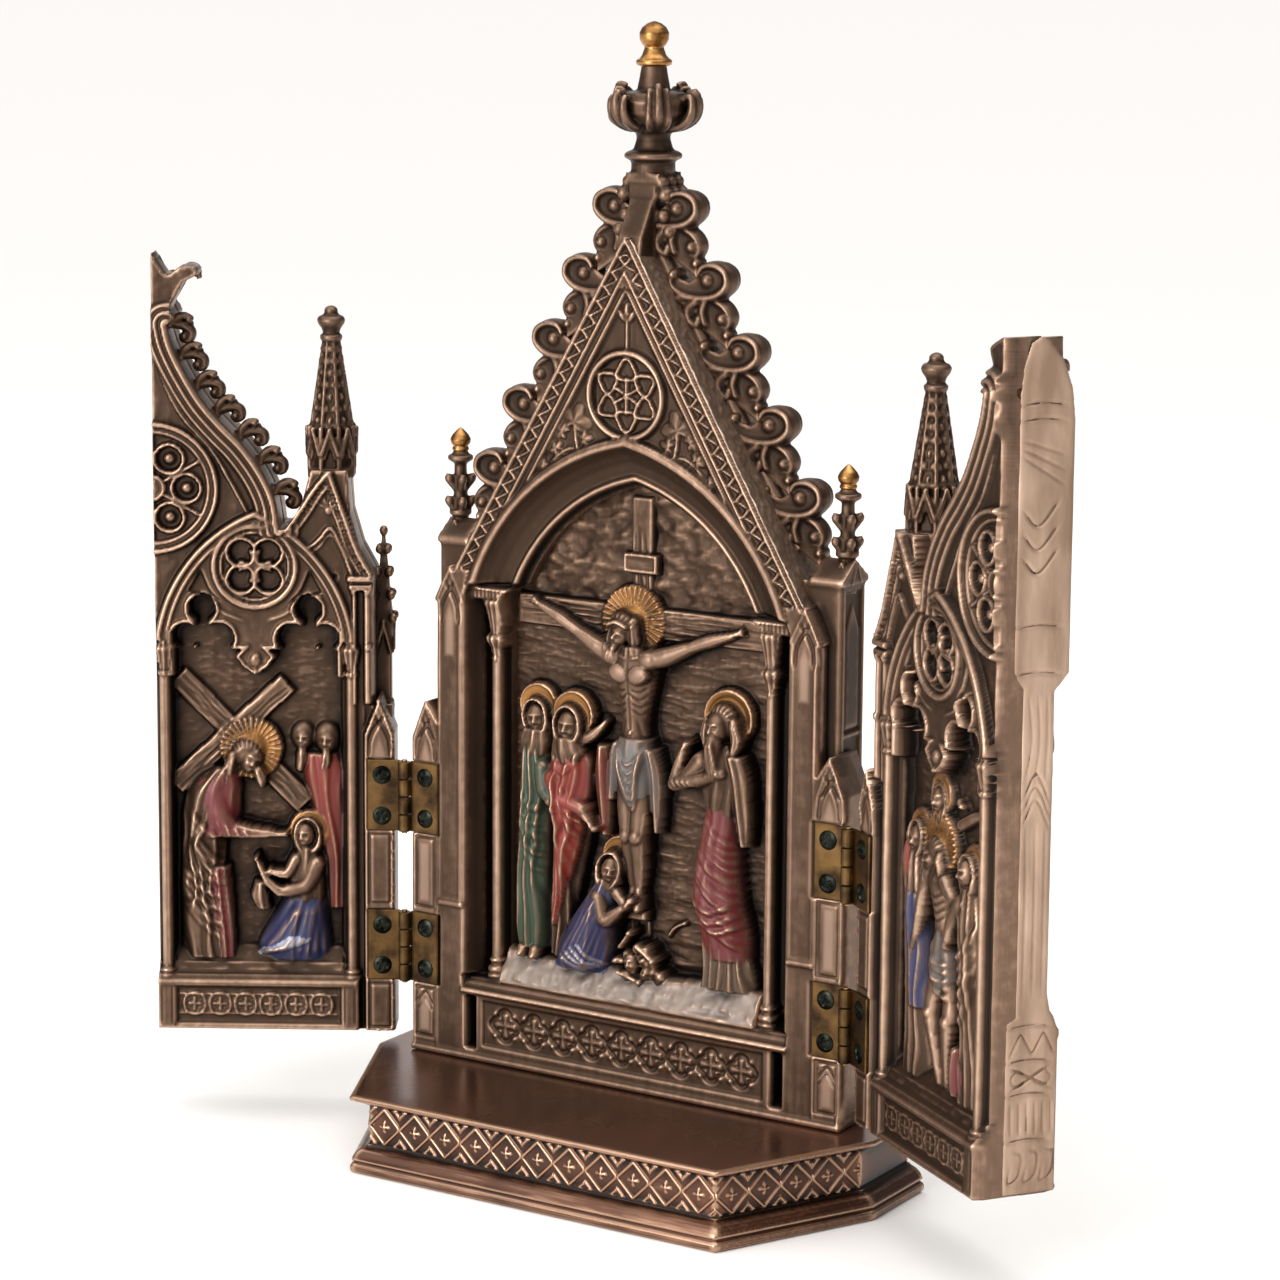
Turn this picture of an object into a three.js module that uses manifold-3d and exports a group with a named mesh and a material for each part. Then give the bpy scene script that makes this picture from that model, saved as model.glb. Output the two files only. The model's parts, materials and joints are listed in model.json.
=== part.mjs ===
// A small Gothic triptych altarpiece in cold-cast bronze: a moulded plinth, a gabled centre panel with the
// Crucifixion in a pointed niche, and two relief wings on brass butt hinges. Millimetres, +Z up, front
// towards -Y.
// The origin is the middle of the plinth's underside. Both wings stand part open.
import * as THREE from "three";
import { mergeVertices } from "three/addons/utils/BufferGeometryUtils.js";
import Module from "manifold-3d";

const wasm = await Module();
wasm.setup();

// ---- driving dimensions ----
const PLINTH = { height: 20.4, frontHalf: 54.1, sideHalf: 74.8, front: -41.8, shoulder: -0.3, back: 25.5 };
const FRIEZE = { inset: 4.8, low: 7.2, high: 17.2, pitch: 9.3, middle: 12.1, halfHeight: 3.7, sunk: 0.6 };
const PANEL_FRONT = -(PLINTH.front + PLINTH.back) / 2; // the panel's front plane, back from the origin
const PANEL = { foot: 20.7, half: 51.3, eaves: 149.5, apex: 238, back: 25 };
const ARCH = { across: 12.1, centre: 126.3, radius: 60.9, spring: 146, steps: 6 };
const NICHE = { jamb: 48.3, inner: 45, back: 38.5, sill: 40, floor: 43, cove: 6, shelf: 8.5, depth: 11.5 };
const TALL = { inside: 48.8, outside: 56, ledge: 62, shoulder: 141.6, apex: 151, depth: 7 };
const LOW = { inside: 56, outside: 64, shoulder: 104.5, apex: 114.6, depth: 13 };
const PIER = { outside: 58.8, front: 6, back: 18, shoulder: 156.5, apex: 161.5 };
const PINNACLE = { x: 57.2, y: 12.3, top: 184.7 };
const CREST = { front: 10, back: 15, step: [9.0, -17.2], first: [8.9, 247.3], count: 5 };
const FINIAL = { y: 13.5, foot: 253, top: 290 };
const AXIS = { x: 65.9, ahead: 0.9 }; // hinge axis: out from the middle, and ahead of both front planes
const HINGE = { height: 18.8, feet: [38.9, 79.1], plateNear: 2.1, plateFar: 9.8, thick: 0.9, barrel: 1.7 };
const PIN_RADIUS = 0.7;
const BORE_RADIUS = 0.9;
const SCREW = { head: 2.5, shank: 0.75, length: 5, inset: 3.95 };
const REST_ANGLE = { left: 31, right: 35 }; // each wing's lean forward from lying flat with the panel
const WING = { foot: 24.4, free: 65.1, side: 8.2, back: 18.5, baseBack: 22, field: 3.6, niche: 8.3 };
const LANCET = { u: 39, across: 15.7, centre: 123.8, radius: 41.1, spring: 131, steps: 4 };
const TURRET = { u: 19.5, v: 10.5, drum: 7.4, top: 214.5 };
const EPS = 0.1; // the gap a piece keeps to the one it lies on
const POCKET_DEPTH = HINGE.thick; // the plate's front stands level with the buttress
const BASE_PANEL = {
  half: 43.6, low: 22.6, high: 38.4, front: 0.3, sunk: 1.7, pitch: 8.87, middle: 31, lozenge: 3.9,
};
const COLUMN = { x: 40.7, y: 5.4, foot: 41, top: 142.1 };
const ROUNDEL = { z: 198.2, radius: 11.6, sunk: 10.2, petals: 6, ring: 6.4 };
const PEDESTAL = { front: 0.3, inside: 12, top: 38.4, pitch: 6.7, first: 22.2, middle: 31.4 };
// how far back each layer of a wing's outer face stands, and where the base and the string course end
const OUTER = { course: 20.4, panel: 19.8, gable: 22.4, baseTop: 64, courseTop: 67 };
const SHAFT = { inside: 8.2, outside: 12.4, front: 0.6, back: 6, top: 143.5 };
const FIGURE_FOLDS = 4;

// ---- helpers ----
const bronze = (name, hex, roughness) =>
  Object.assign(
    new THREE.MeshStandardMaterial({ color: hex, roughness, metalness: 0.8, flatShading: true }),
    { name },
  );
const castBronze = bronze("cast_bronze", 0x6b4a35, 0.42);
const polishedBronze = bronze("plinth_bronze", 0x70452f, 0.28);
const brass = bronze("brass", 0x8a6a2c, 0.35);
const blackSteel = bronze("black_steel", 0x22201f, 0.4);

// A closed geometry as a solid, turned right way out if it was built inside out.
function solid(geometry) {
  const loose = geometry.index ? geometry.toNonIndexed() : geometry.clone();
  loose.deleteAttribute("normal");
  loose.deleteAttribute("uv");
  const merged = mergeVertices(loose, 1e-4);
  const corners = new Uint32Array(merged.index.array);
  const make = () =>
    new wasm.Manifold(
      new wasm.Mesh({ numProp: 3, vertProperties: merged.attributes.position.array, triVerts: corners }),
    );
  const made = make();
  if (made.volume() > 0) return made;
  for (let i = 0; i < corners.length; i += 3) {
    [corners[i + 1], corners[i + 2]] = [corners[i + 2], corners[i + 1]];
  }
  return make();
}

const join = (solids) => solids.reduce((sum, next) => sum.add(next));
const cut = (body, cutters) => cutters.reduce((left, next) => left.subtract(next), body);

function geometryOf(made) {
  const mesh = made.getMesh();
  const points = new Float32Array(mesh.numVert * 3);
  for (let i = 0; i < mesh.numVert; i++) {
    points.set(mesh.vertProperties.subarray(i * mesh.numProp, i * mesh.numProp + 3), i * 3);
  }
  const geometry = new THREE.BufferGeometry();
  geometry.setAttribute("position", new THREE.BufferAttribute(points, 3));
  geometry.setIndex(new THREE.BufferAttribute(new Uint32Array(mesh.triVerts), 1));
  return geometry;
}

// The same geometry on the other side of the plane x = 0, its faces turned back to point out.
function mirrored(geometry) {
  const other = geometry.clone().scale(-1, 1, 1);
  const index = other.index.array;
  for (let i = 0; i < index.length; i += 3) [index[i + 1], index[i + 2]] = [index[i + 2], index[i + 1]];
  return other;
}

function named(name, geometry, material) {
  const mesh = new THREE.Mesh(geometry, material);
  mesh.name = name;
  return mesh;
}

// A front-view outline of [x, z] points, as thick as from front to back along Y.
function slab(outline, front, back, holes = []) {
  const shape = new THREE.Shape(outline.map(([x, z]) => new THREE.Vector2(x, z)));
  for (const hole of holes) shape.holes.push(new THREE.Path(hole.map(([x, z]) => new THREE.Vector2(x, z))));
  const geometry = new THREE.ExtrudeGeometry(shape, { depth: back - front, bevelEnabled: false });
  return solid(geometry.rotateX(Math.PI / 2).translate(0, back, 0));
}

const block = (x0, x1, y0, y1, z0, z1) =>
  solid(new THREE.BoxGeometry(x1 - x0, y1 - y0, z1 - z0).translate(
    (x0 + x1) / 2, (y0 + y1) / 2, (z0 + z1) / 2,
  ));

// A turned piece standing at [x, y], from a profile of [radius, z] points that starts and ends on its axis.
function turned(profile, sides, x, y, turn = 0) {
  const points = profile.map(([r, z]) => new THREE.Vector2(r, z));
  const lathe = new THREE.LatheGeometry(points, sides).rotateX(Math.PI / 2);
  return solid(lathe.rotateZ(turn).translate(x, y, 0));
}

// A body through rings of [x, y, z] points, with flat ends.
function loft(rings) {
  const around = rings[0].length;
  const index = [];
  for (let r = 0; r + 1 < rings.length; r++) {
    for (let i = 0; i < around; i++) {
      const a = r * around + i;
      const b = r * around + ((i + 1) % around);
      index.push(a, b, b + around, a, b + around, a + around);
    }
  }
  const last = (rings.length - 1) * around;
  const cap = THREE.ShapeUtils.triangulateShape(flatten(rings[0]), []);
  const lid = THREE.ShapeUtils.triangulateShape(flatten(rings.at(-1)), []);
  for (const [a, b, c] of cap) index.push(a, c, b);
  for (const [a, b, c] of lid) index.push(last + a, last + b, last + c);
  const geometry = new THREE.BufferGeometry();
  geometry.setAttribute("position", new THREE.BufferAttribute(new Float32Array(rings.flat(2)), 3));
  geometry.setIndex(index);
  return solid(geometry);
}

// A flat ring's points as 2D points, for its lid: seen from above, or from the front for an upright ring.
function flatten(ring) {
  const level = ring.every((p) => Math.abs(p[2] - ring[0][2]) < 1e-6);
  return ring.map(([x, y, z]) => (level ? new THREE.Vector2(x, y) : new THREE.Vector2(x, z)));
}

function circle(x, z, radius, sides, turn = 0) {
  return Array.from({ length: sides }, (_, i) => {
    const a = turn + (2 * Math.PI * i) / sides;
    return [x + radius * Math.cos(a), z + radius * Math.sin(a)];
  });
}

const mirrorX = ([x, ...rest]) => [-x, ...rest];

// An outline that is the same left and right, from its right half listed from the bottom up.
const bothSides = (right) => [...right, ...right.filter(([x]) => x > 0.01).reverse().map(mirrorX)];

// ---- plinth ----
// The slab's plan, moved in by an inset on every side but the flat back.
function plinthPlan(inset) {
  const run = new THREE.Vector2(PLINTH.sideHalf - PLINTH.frontHalf, PLINTH.shoulder - PLINTH.front);
  const slant = run.angle();
  const front = PLINTH.front + inset;
  const cornerX = PLINTH.frontHalf - inset * Math.tan(slant / 2);
  const side = PLINTH.sideHalf - inset;
  const shoulder = PLINTH.shoulder + inset * Math.tan((Math.PI / 2 - slant) / 2);
  return bothSides([[cornerX, front], [side, shoulder], [side, PLINTH.back]]);
}

function plinth() {
  const profile = [
    [0, 1], [0.8, 0.2], [2.2, 0], [2.6, 0.9], [3.3, 0.5], [5.2, 1.1], [6.6, 3.3],
    [FRIEZE.low, FRIEZE.inset],
    [FRIEZE.high, FRIEZE.inset], [18, 3.2], [19, 0.9], [20, 0], [PLINTH.height, 0.5],
  ];
  const body = loft(profile.map(([z, inset]) => plinthPlan(inset).map(([x, y]) => [x, y, z])));
  return cut(body, friezeLozenges());
}

// The sunk lozenges that run round the frieze: one row along each straight stretch.
function friezeLozenges() {
  const [corner, shoulder] = plinthPlan(FRIEZE.inset).map(([x, y]) => new THREE.Vector2(x, y));
  const rows = [
    {
      from: new THREE.Vector2(-corner.x, corner.y), to: corner, count: 11,
      lead: corner.x - 5.5 * FRIEZE.pitch,
    },
    { from: corner, to: shoulder, count: 4, lead: FRIEZE.pitch / 4 },
  ];
  const lozenge = [
    [FRIEZE.pitch * 0.4, 0], [0, FRIEZE.halfHeight], [-FRIEZE.pitch * 0.4, 0], [0, -FRIEZE.halfHeight],
  ];
  const made = [];
  rows.forEach(({ from, to, count, lead }, row) => {
    const along = to.clone().sub(from).normalize();
    for (let i = 0; i < count; i++) {
      const spot = from.clone().addScaledVector(along, lead + (i + 0.5) * FRIEZE.pitch);
      const shape = new THREE.Shape(lozenge.map(([x, z]) => new THREE.Vector2(x, z)));
      const pit = new THREE.ExtrudeGeometry(shape, { depth: 4, bevelEnabled: false });
      pit.rotateX(Math.PI / 2).translate(0, FRIEZE.sunk, 0).rotateZ(along.angle());
      pit.translate(spot.x, spot.y, FRIEZE.middle);
      made.push(solid(pit));
      if (row > 0) made.push(solid(pit.clone().scale(-1, 1, 1)));
    }
  });
  return made;
}

// ---- pointed arches ----
// Points of a pointed arch's curve from its right springing up to the apex, about the arch's own middle
// line.
function archCurve({ across, centre, spring, steps }, radius) {
  const from = Math.asin((spring - centre) / radius);
  const to = Math.acos(across / radius);
  return Array.from({ length: steps + 1 }, (_, i) => {
    const a = from + ((to - from) * i) / steps;
    return [i === steps ? 0 : radius * Math.cos(a) - across, centre + radius * Math.sin(a)];
  });
}

// A niche's outline: sill, upright jambs and a pointed head.
const nicheOutline = (radius, jamb, sill) =>
  bothSides([[jamb, sill], [jamb, ARCH.spring - 2], ...archCurve(ARCH, radius)]);

// ---- centre panel ----
function niche() {
  const ring = (y, radius, jamb, sill) => nicheOutline(radius, jamb, sill).map(([x, z]) => [x, y, z]);
  const cove = loft([
    ring(-1, ARCH.radius, NICHE.jamb, NICHE.sill),
    ring(2.6, ARCH.radius - 5.2, NICHE.inner + 1, NICHE.sill + 1),
    ring(NICHE.cove, ARCH.radius - 9.6, NICHE.inner, NICHE.sill + 1.6),
    ring(NICHE.shelf, ARCH.radius - 9.6, NICHE.inner, NICHE.sill + 1.6),
  ]);
  const deep = slab(nicheOutline(ARCH.radius - 11, NICHE.back, NICHE.floor), NICHE.shelf - 1, NICHE.depth);
  return [cove, deep];
}

const gableHalf = (z) => ((PANEL.apex - z) * PANEL.half) / (PANEL.apex - PANEL.eaves);

// The gable's triangular field, moved in from its edges and stopped by the arch.
function gableField(inset, front, back) {
  const slope = PANEL.half / (PANEL.apex - PANEL.eaves);
  const apex = PANEL.apex - inset * 2;
  const low = 152;
  const half = (apex - low) * slope;
  const arch = nicheOutline(ARCH.radius + 2.2, NICHE.jamb, 100);
  return slab(
    [[-half, low], [half, low], [0, apex]], front, back,
  ).subtract(slab(arch, front - 1, back + 1));
}

function roundel() {
  const centre = [0, ROUNDEL.z];
  const disc = slab(circle(...centre, ROUNDEL.radius, 12), 0.2, 3);
  const pits = [slab(circle(...centre, ROUNDEL.sunk, 10), -1, 0.9)];
  const rosette = [slab(circle(...centre, 2.2, 5), 0.3, 1.2)];
  for (let i = 0; i < ROUNDEL.petals; i++) {
    const a = Math.PI / 6 + (2 * Math.PI * i) / ROUNDEL.petals;
    const ring = [centre[0] + ROUNDEL.ring * Math.cos(a), centre[1] + ROUNDEL.ring * Math.sin(a)];
    rosette.push(slab(circle(...ring, 2.9, 4, a), 0.3, 1.2));
  }
  return join([cut(disc, pits), ...rosette]);
}

// A leaf spray beside the roundel: a star of blunt lobes.
function spray(x, z) {
  const lobes = Array.from({ length: 8 }, (_, i) => {
    const a = (i * Math.PI) / 4;
    const r = i % 2 ? 2 : 4.4;
    return [x + r * Math.cos(a), z + r * Math.sin(a)];
  });
  return slab(lobes, 1, 2.6);
}

// A buttress with a gabled head, its ridge running back.
function buttress(inside, outside, foot, shoulder, apex, front, back, overhang = 0) {
  const middle = (inside + outside) / 2;
  const outline = [
    [inside, foot], [outside, foot], [outside, shoulder - overhang], [outside + overhang, shoulder],
    [middle, apex], [inside - overhang, shoulder], [inside, shoulder - overhang],
  ];
  return slab(outline.filter((p, i) => overhang || (i !== 2 && i !== 6)), front, back);
}

function column(x, y) {
  const profile = [
    [0, COLUMN.foot], [2.8, COLUMN.foot], [1.5, 48.5], [1.5, 127], [3.2, 132.8], [2.3, 134.4],
    [3.6, COLUMN.top], [0, COLUMN.top],
  ];
  return turned(profile, 6, x, y);
}

function sideFurniture(side) {
  const x = (value) => side * value;
  const strip = (a, b, y0, y1, z0, z1) => block(Math.min(x(a), x(b)), Math.max(x(a), x(b)), y0, y1, z0, z1);
  const made = [column(x(COLUMN.x), COLUMN.y), strip(34.2, 47.2, 2.4, NICHE.shelf + 1, 142, 145.6)];
  // tall buttress over its paired colonnettes
  const tall = buttress(
    TALL.inside, TALL.outside, TALL.ledge, TALL.shoulder, TALL.apex, 0, TALL.depth, 0.9,
  );
  made.push(flip(tall, side));
  made.push(strip(TALL.inside, TALL.outside, 2.6, TALL.depth, PANEL.foot, TALL.ledge + 1));
  for (const shaft of [50.6, 54]) made.push(turned(
    [[0, 21], [1.5, 21], [1.5, 61.5], [0, 61.5]], 6, x(shaft), 2.2,
  ));
  made.push(strip(TALL.inside - 0.4, TALL.outside, -0.3, 3, TALL.ledge - 1, TALL.ledge + 1));
  // low buttress with pockets for the hinge plates
  const low = flip(
    buttress(LOW.inside, LOW.outside, PANEL.foot, LOW.shoulder, LOW.apex, 0, LOW.depth), side,
  );
  const pockets = HINGE.feet.map((z) => strip(
    LOW.inside - 1, LOW.outside + 1, -1, POCKET_DEPTH, z - EPS, z + HINGE.height + EPS,
  ));
  made.push(cut(low, pockets));
  // side pier and its pinnacle
  made.push(strip(48, PIER.outside, PIER.front, PIER.back, PANEL.foot, PIER.shoulder));
  const gablet = [
    [PIER.front, PIER.shoulder - 1], [PIER.back, PIER.shoulder - 1], [PIER.back, PIER.shoulder + 0.4],
  ];
  gablet.push([(PIER.front + PIER.back) / 2, PIER.apex], [PIER.front, PIER.shoulder + 0.4]);
  const cap = new THREE.Shape(gablet.map(([y, z]) => new THREE.Vector2(y, z)));
  const head = new THREE.ExtrudeGeometry(cap, { depth: 9, bevelEnabled: false });
  head.rotateX(Math.PI / 2).rotateZ(Math.PI / 2).translate(side > 0 ? 51 : -60, 0, 0);
  made.push(solid(head), pinnacle(x(PINNACLE.x), PINNACLE.y));
  return made;
}

// A solid as it is on the right, or mirrored for the left.
const flip = (made, side) => (side > 0 ? made : solid(geometryOf(made).scale(-1, 1, 1)));

// A little spire with two knopped tiers, a capital and an acorn tip.
function pinnacle(x, y) {
  const profile = [
    [0, 154], [2.2, 154], [1.9, 161], [3.9, 162.6], [1.8, 164.6], [1.8, 167], [3.8, 169],
    [1.7, 171], [3.4, 175],
    [1.6, 177.6], [2.9, 180.2], [0, PINNACLE.top],
  ];
  return turned(profile, 6, x, y);
}

const ball = (x, y, z, rx, ry = rx, rz = rx, sides = 5, rings = 3) =>
  solid(new THREE.SphereGeometry(1, sides, rings).rotateX(Math.PI / 2).scale(rx, ry, rz).translate(x, y, z));

// The crest of curled crockets that climbs one slope of the gable, as one outline.
function crest(side) {
  const curl = [[8.8, -1.5], [4.6, -5.8], [6.8, -8.4], [4.4, -12.3]];
  const outer = [[0, 257], [5.5, 254], [5.5, 252], [9.4, 250.4], [14, 250.8]];
  const eyes = [];
  for (let i = 0; i < CREST.count; i++) {
    const x = CREST.first[0] + CREST.step[0] * i;
    const z = CREST.first[1] + CREST.step[1] * i;
    const last = i === CREST.count - 1;
    outer.push(
      [x + 6.6, z + 2], ...curl.slice(0, last ? 3 : curl.length).map(([dx, dz]) => [x + dx, z + dz]),
    );
    eyes.push([x, z]);
  }
  const end = outer.at(-1);
  outer.push([end[0] + 3, end[1] - 12], [gableHalf(154) - 3, 154], [0, 240]);
  const plate = slab(outer.map(([x, z]) => [side * x, z]), CREST.front, CREST.back);
  const middle = (CREST.front + CREST.back) / 2;
  return [plate, ...eyes.map(([x, z]) => ball(side * (x + 0.5), middle, z - 0.2, 2.8, 4, 2.8, 4, 2))];
}

function finial() {
  const y = FINIAL.y;
  const stem = [
    [0, 240], [5.8, 240], [5.8, 252], [7.3, 256.4], [4.4, 260], [3.8, 280], [5.1, 281.2],
    [3, 283.4], [3.8, 286.4],
    [0, FINIAL.top],
  ];
  const leaves = [];
  const sections = [[264, 4.4], [271.4, 11.8], [275.6, 6]];
  for (const [z, radius] of sections) {
    leaves.push(circle(0, y, radius, 12).map(([px, py], i) => {
      const lobe = 1 + 0.12 * Math.cos(Math.PI * i);
      return [px * lobe, y + (py - y) * lobe, z];
    }));
  }
  return join([turned(stem, 6, 0, y), loft(leaves)]);
}

// The base panel under the sill, with its row of raised lozenges and a dark slot at each end.
function basePanel() {
  const { half, low, high, front, pitch, middle, lozenge } = BASE_PANEL;
  const frame = slab(
    [[-half, low - 0.6], [half, low - 0.6], [half, high + 0.2], [-half, high + 0.2]], front, 4,
    [[[1.6 - half, 25], [1.6 - half, 37], [half - 1.6, 37], [half - 1.6, 25]]],
  );
  const made = [frame];
  for (let i = -4; i <= 4; i++) made.push(slab(circle(i * pitch, middle, lozenge, 4), 0.9, 3));
  return made;
}

// ---- relief figures ----
// A standing or kneeling body through sections of [z, x, half width, depth centre, half depth], fluted
// with folds.
function robed(sections, folds = FIGURE_FOLDS, sides = folds * 2) {
  return loft(sections.map(([z, x, half, y, deep], row) =>
    Array.from({ length: sides }, (_, i) => {
      const a = (2 * Math.PI * i) / sides;
      const flute = 1 + (row === sections.length - 1 ? 0 : 0.12) * Math.cos(folds * a);
      return [x + half * flute * Math.cos(a), y + deep * flute * Math.sin(a), z];
    }),
  ));
}

// A limb or fold from one point to another, round and tapering.
function limb(from, to, r0, r1 = r0, sides = 4) {
  const a = new THREE.Vector3(...from);
  const b = new THREE.Vector3(...to);
  const along = b.clone().sub(a);
  const geometry = new THREE.CylinderGeometry(r1, r0, along.length(), sides);
  geometry.applyQuaternion(new THREE.Quaternion().setFromUnitVectors(
    new THREE.Vector3(0, 1, 0), along.normalize(),
  ));
  return solid(geometry.translate(...a.add(b).multiplyScalar(0.5)));
}

const halo = (x, z, radius, y, sides = 8) => slab(circle(x, z, radius, sides), y, NICHE.depth + 1);
const head = (x, y, z, radius) => ball(x, y, z, radius * 0.86, radius * 0.95, radius * 1.1, 6, 3);

function crucifix() {
  const beam = (outline) => slab(outline, 9.4, NICHE.depth + 1);
  return [
    beam([[-3.3, 50], [3.3, 50], [3.3, 171.5], [-3.3, 171.5]]),
    beam([[-35, 136], [35, 136], [35, 143.5], [-35, 143.5]]),
    slab([[-4.6, 152.5], [4.6, 152.5], [4.6, 157.5], [-4.6, 157.5]], 8.6, 10),
    halo(-2.4, 139, 9.2, 8.2, 12),
    head(-4, 5.6, 137.6, 4),
    robed(
      [[109, 0, 4.6, 6.6, 3], [115, 0, 3.6, 6.6, 2.6], [128, -0.2, 6.2, 6.4, 3.4], [134, -1, 2, 6.6, 2]],
      3,
    ),
    robed([[96.5, 0.6, 4.6, 6.2, 3], [103, 0.4, 5.2, 6, 3.6], [110, 0, 4.8, 6.4, 3.4]], 4),
    limb([1, 6.6, 98], [0.4, 4.6, 86], 3.6, 2.6),
    limb([0.4, 4.6, 86], [1.4, 7.2, 70], 2.6, 1.7),
    limb([3.6, 7, 130.4], [30.6, 8, 138.8], 2.3, 1.5),
    limb([-4, 7, 130.4], [-29.6, 8, 142.2], 2.3, 1.5),
  ];
}

function mourners() {
  return [
    // woman in green, far left
    halo(-29.6, 115.6, 5.3, 7.4), head(-29.4, 5, 113.6, 4),
    robed([
      [50, -30, 6.4, 6.6, 4.6], [86, -29.4, 4.8, 6.4, 4], [101, -29.6, 4.8, 6, 3.8],
      [109, -29.4, 3, 6, 3],
    ]),
    // woman in red beside her, hand held out
    halo(-19, 114.6, 5.8, 7), head(-19.4, 4.2, 112, 4.3),
    robed([
      [50, -22, 4, 7.4, 3.6], [80, -18.4, 5.6, 6.6, 4.2], [99, -17.6, 7.2, 6, 4.4],
      [108, -18.6, 4, 5.6, 3.2],
    ]),
    limb([-22, 3.6, 92], [-13, 3.2, 91.4], 2.6, 1.9), limb([-13, 3.2, 91.4], [-8.6, 3.8, 86.6], 1.9, 1.2),
    // woman in blue, kneeling at the foot of the cross
    halo(-4.8, 79, 5.4, 8), head(-5.8, 3.6, 76, 3.9),
    robed([
      [48, -15, 9, 6, 5.4], [56, -13, 7.6, 5.6, 5.2], [65, -9.6, 5.6, 5, 4.6], [72.6, -7.4, 3, 4.6, 3],
    ]),
    limb([-6, 2.6, 66], [1.6, 3, 67.6], 2, 1.5),
    // bearded man in red, right
    halo(26.4, 118.4, 7.2, 8), head(25, 5, 117, 4.4), ball(25.4, 4, 111, 2.8, 2.4, 4.4),
    robed([
      [48, 28, 7.6, 6.4, 4.6], [76, 25, 7.4, 5.8, 4.6], [92, 24.8, 5.6, 5.8, 4.2], [106, 25, 6.4, 6, 4],
      [111.5, 25.4, 3, 6, 2.6],
    ]),
    limb([20, 4.6, 104.6], [13, 3, 101.6], 2.4, 1.9), limb([13, 3, 101.6], [16.8, 3.6, 110], 1.9, 1.3),
    // broken ground, with the skull heap under the cross
    slab(
      [[-38, 43], [38, 43], [38, 47], [24, 50.2], [10, 47.4], [-4, 50], [-18, 48.6], [-38, 50.6]], 1.4, 9,
    ),
    ball(0.6, 7, 51.6, 4.4, 6, 4.4, 6, 2), ball(4.6, 7.4, 56, 4, 5, 4, 4, 2),
  ];
}

function centrePanel() {
  const body = slab(
    [
      [-PANEL.half, PANEL.foot], [PANEL.half, PANEL.foot], [PANEL.half, PANEL.eaves], [0, PANEL.apex],
      [-PANEL.half, PANEL.eaves],
    ],
    0, PANEL.back,
  );
  const slots = [-1, 1].map((s) => flip(block(44.2, 47.6, -1, 6, 23.4, 38), s));
  const { half, low, high, sunk } = BASE_PANEL;
  const baseCut = slab([[-half, low], [half, low], [half, high], [-half, high]], -1, sunk);
  const hollow = cut(
    body, [...niche(), gableField(4.6, -1, 1.1), gableField(7.6, -1, 2.2), baseCut, ...slots],
  );
  const trim = [
    slab([[-64.2, PANEL.foot], [64.2, PANEL.foot], [64.2, 22.4], [-64.2, 22.4]], -0.5, 3),
    slab([[-48.8, 38.4], [48.8, 38.4], [48.8, 39.6], [-48.8, 39.6]], -0.4, 3),
    roundel(), spray(-14.8, 190.6), spray(14.8, 190.6),
  ];
  const screwHoles = [-1, 1].flatMap((side) =>
    HINGE.feet.flatMap((foot) => screwHeights(foot).map((z) => [side, z])),
  );
  const bores = screwHoles.map(([s, z]) => bore(s * (AXIS.x - screwOut), z, 0));
  const whole = join([
    hollow, ...trim, ...basePanel(), ...sideFurniture(-1), ...sideFurniture(1), ...crest(-1),
    ...crest(1), finial(),
    ...crucifix(), ...mourners(),
  ]);
  return geometryOf(cut(whole, bores));
}

// ---- hinges and screws, placed from the hinge axis: local +X runs out over the wing ----
const screwOut = (HINGE.plateNear + HINGE.plateFar) / 2;
const screwHeights = (foot) => [foot + SCREW.inset, foot + HINGE.height - SCREW.inset];
const plateFront = AXIS.ahead - EPS; // local y of a plate's front face

function rod(radius, x, z, front, back, sides = 6) {
  const geometry = new THREE.CylinderGeometry(radius, radius, back - front, sides);
  return solid(geometry.translate(x, (front + back) / 2, z));
}

const bore = (x, z, face) => rod(SCREW.shank + 0.15, x, z, face - 1, face + SCREW.length + 0.4);

// One half of a butt hinge: the plate, and the two barrels that it owns. Turn 0 owns the lower ones.
function leaf(foot, turn, direction) {
  const pitch = HINGE.height / 4;
  const back = plateFront + HINGE.thick;
  const edge = direction * (HINGE.plateNear + 0.2);
  const start = Math.asin(plateFront / HINGE.barrel);
  const plan = [[edge, plateFront]];
  for (let i = 0; i <= 6; i++) { // round the barrel, from the plate's front face to its back face
    const a = start - ((Math.PI * 1.5 + start) * i) / 6;
    plan.push([direction * HINGE.barrel * Math.cos(a), Math.min(back, HINGE.barrel * Math.sin(a))]);
  }
  plan.push([edge, back]);
  const eye = circle(0, 0, BORE_RADIUS, 6);
  const ends = [direction * HINGE.plateNear, direction * HINGE.plateFar].sort((p, q) => p - q);
  const made = [block(...ends, plateFront, back, foot, foot + HINGE.height)];
  for (const step of [0, 2]) {
    const low = foot + (step + turn) * pitch + 0.15;
    const shape = new THREE.Shape(plan.map(([x, y]) => new THREE.Vector2(x, y)));
    shape.holes.push(new THREE.Path(eye.map(([x, y]) => new THREE.Vector2(x, y))));
    made.push(solid(new THREE.ExtrudeGeometry(
      shape, { depth: pitch - 0.3, bevelEnabled: false },
    ).translate(0, 0, low)));
  }
  const holes = screwHeights(foot).map((z) => rod(SCREW.shank + 0.15, direction * screwOut, z, 0, 3));
  return geometryOf(cut(join(made), holes));
}

function hingePin(foot) {
  const top = foot + HINGE.height;
  return geometryOf(turned(
    [[0, foot - 0.4], [PIN_RADIUS, foot - 0.4], [PIN_RADIUS, top + 0.4], [0, top + 0.4]], 6, 0, 0,
  ));
}

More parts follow.
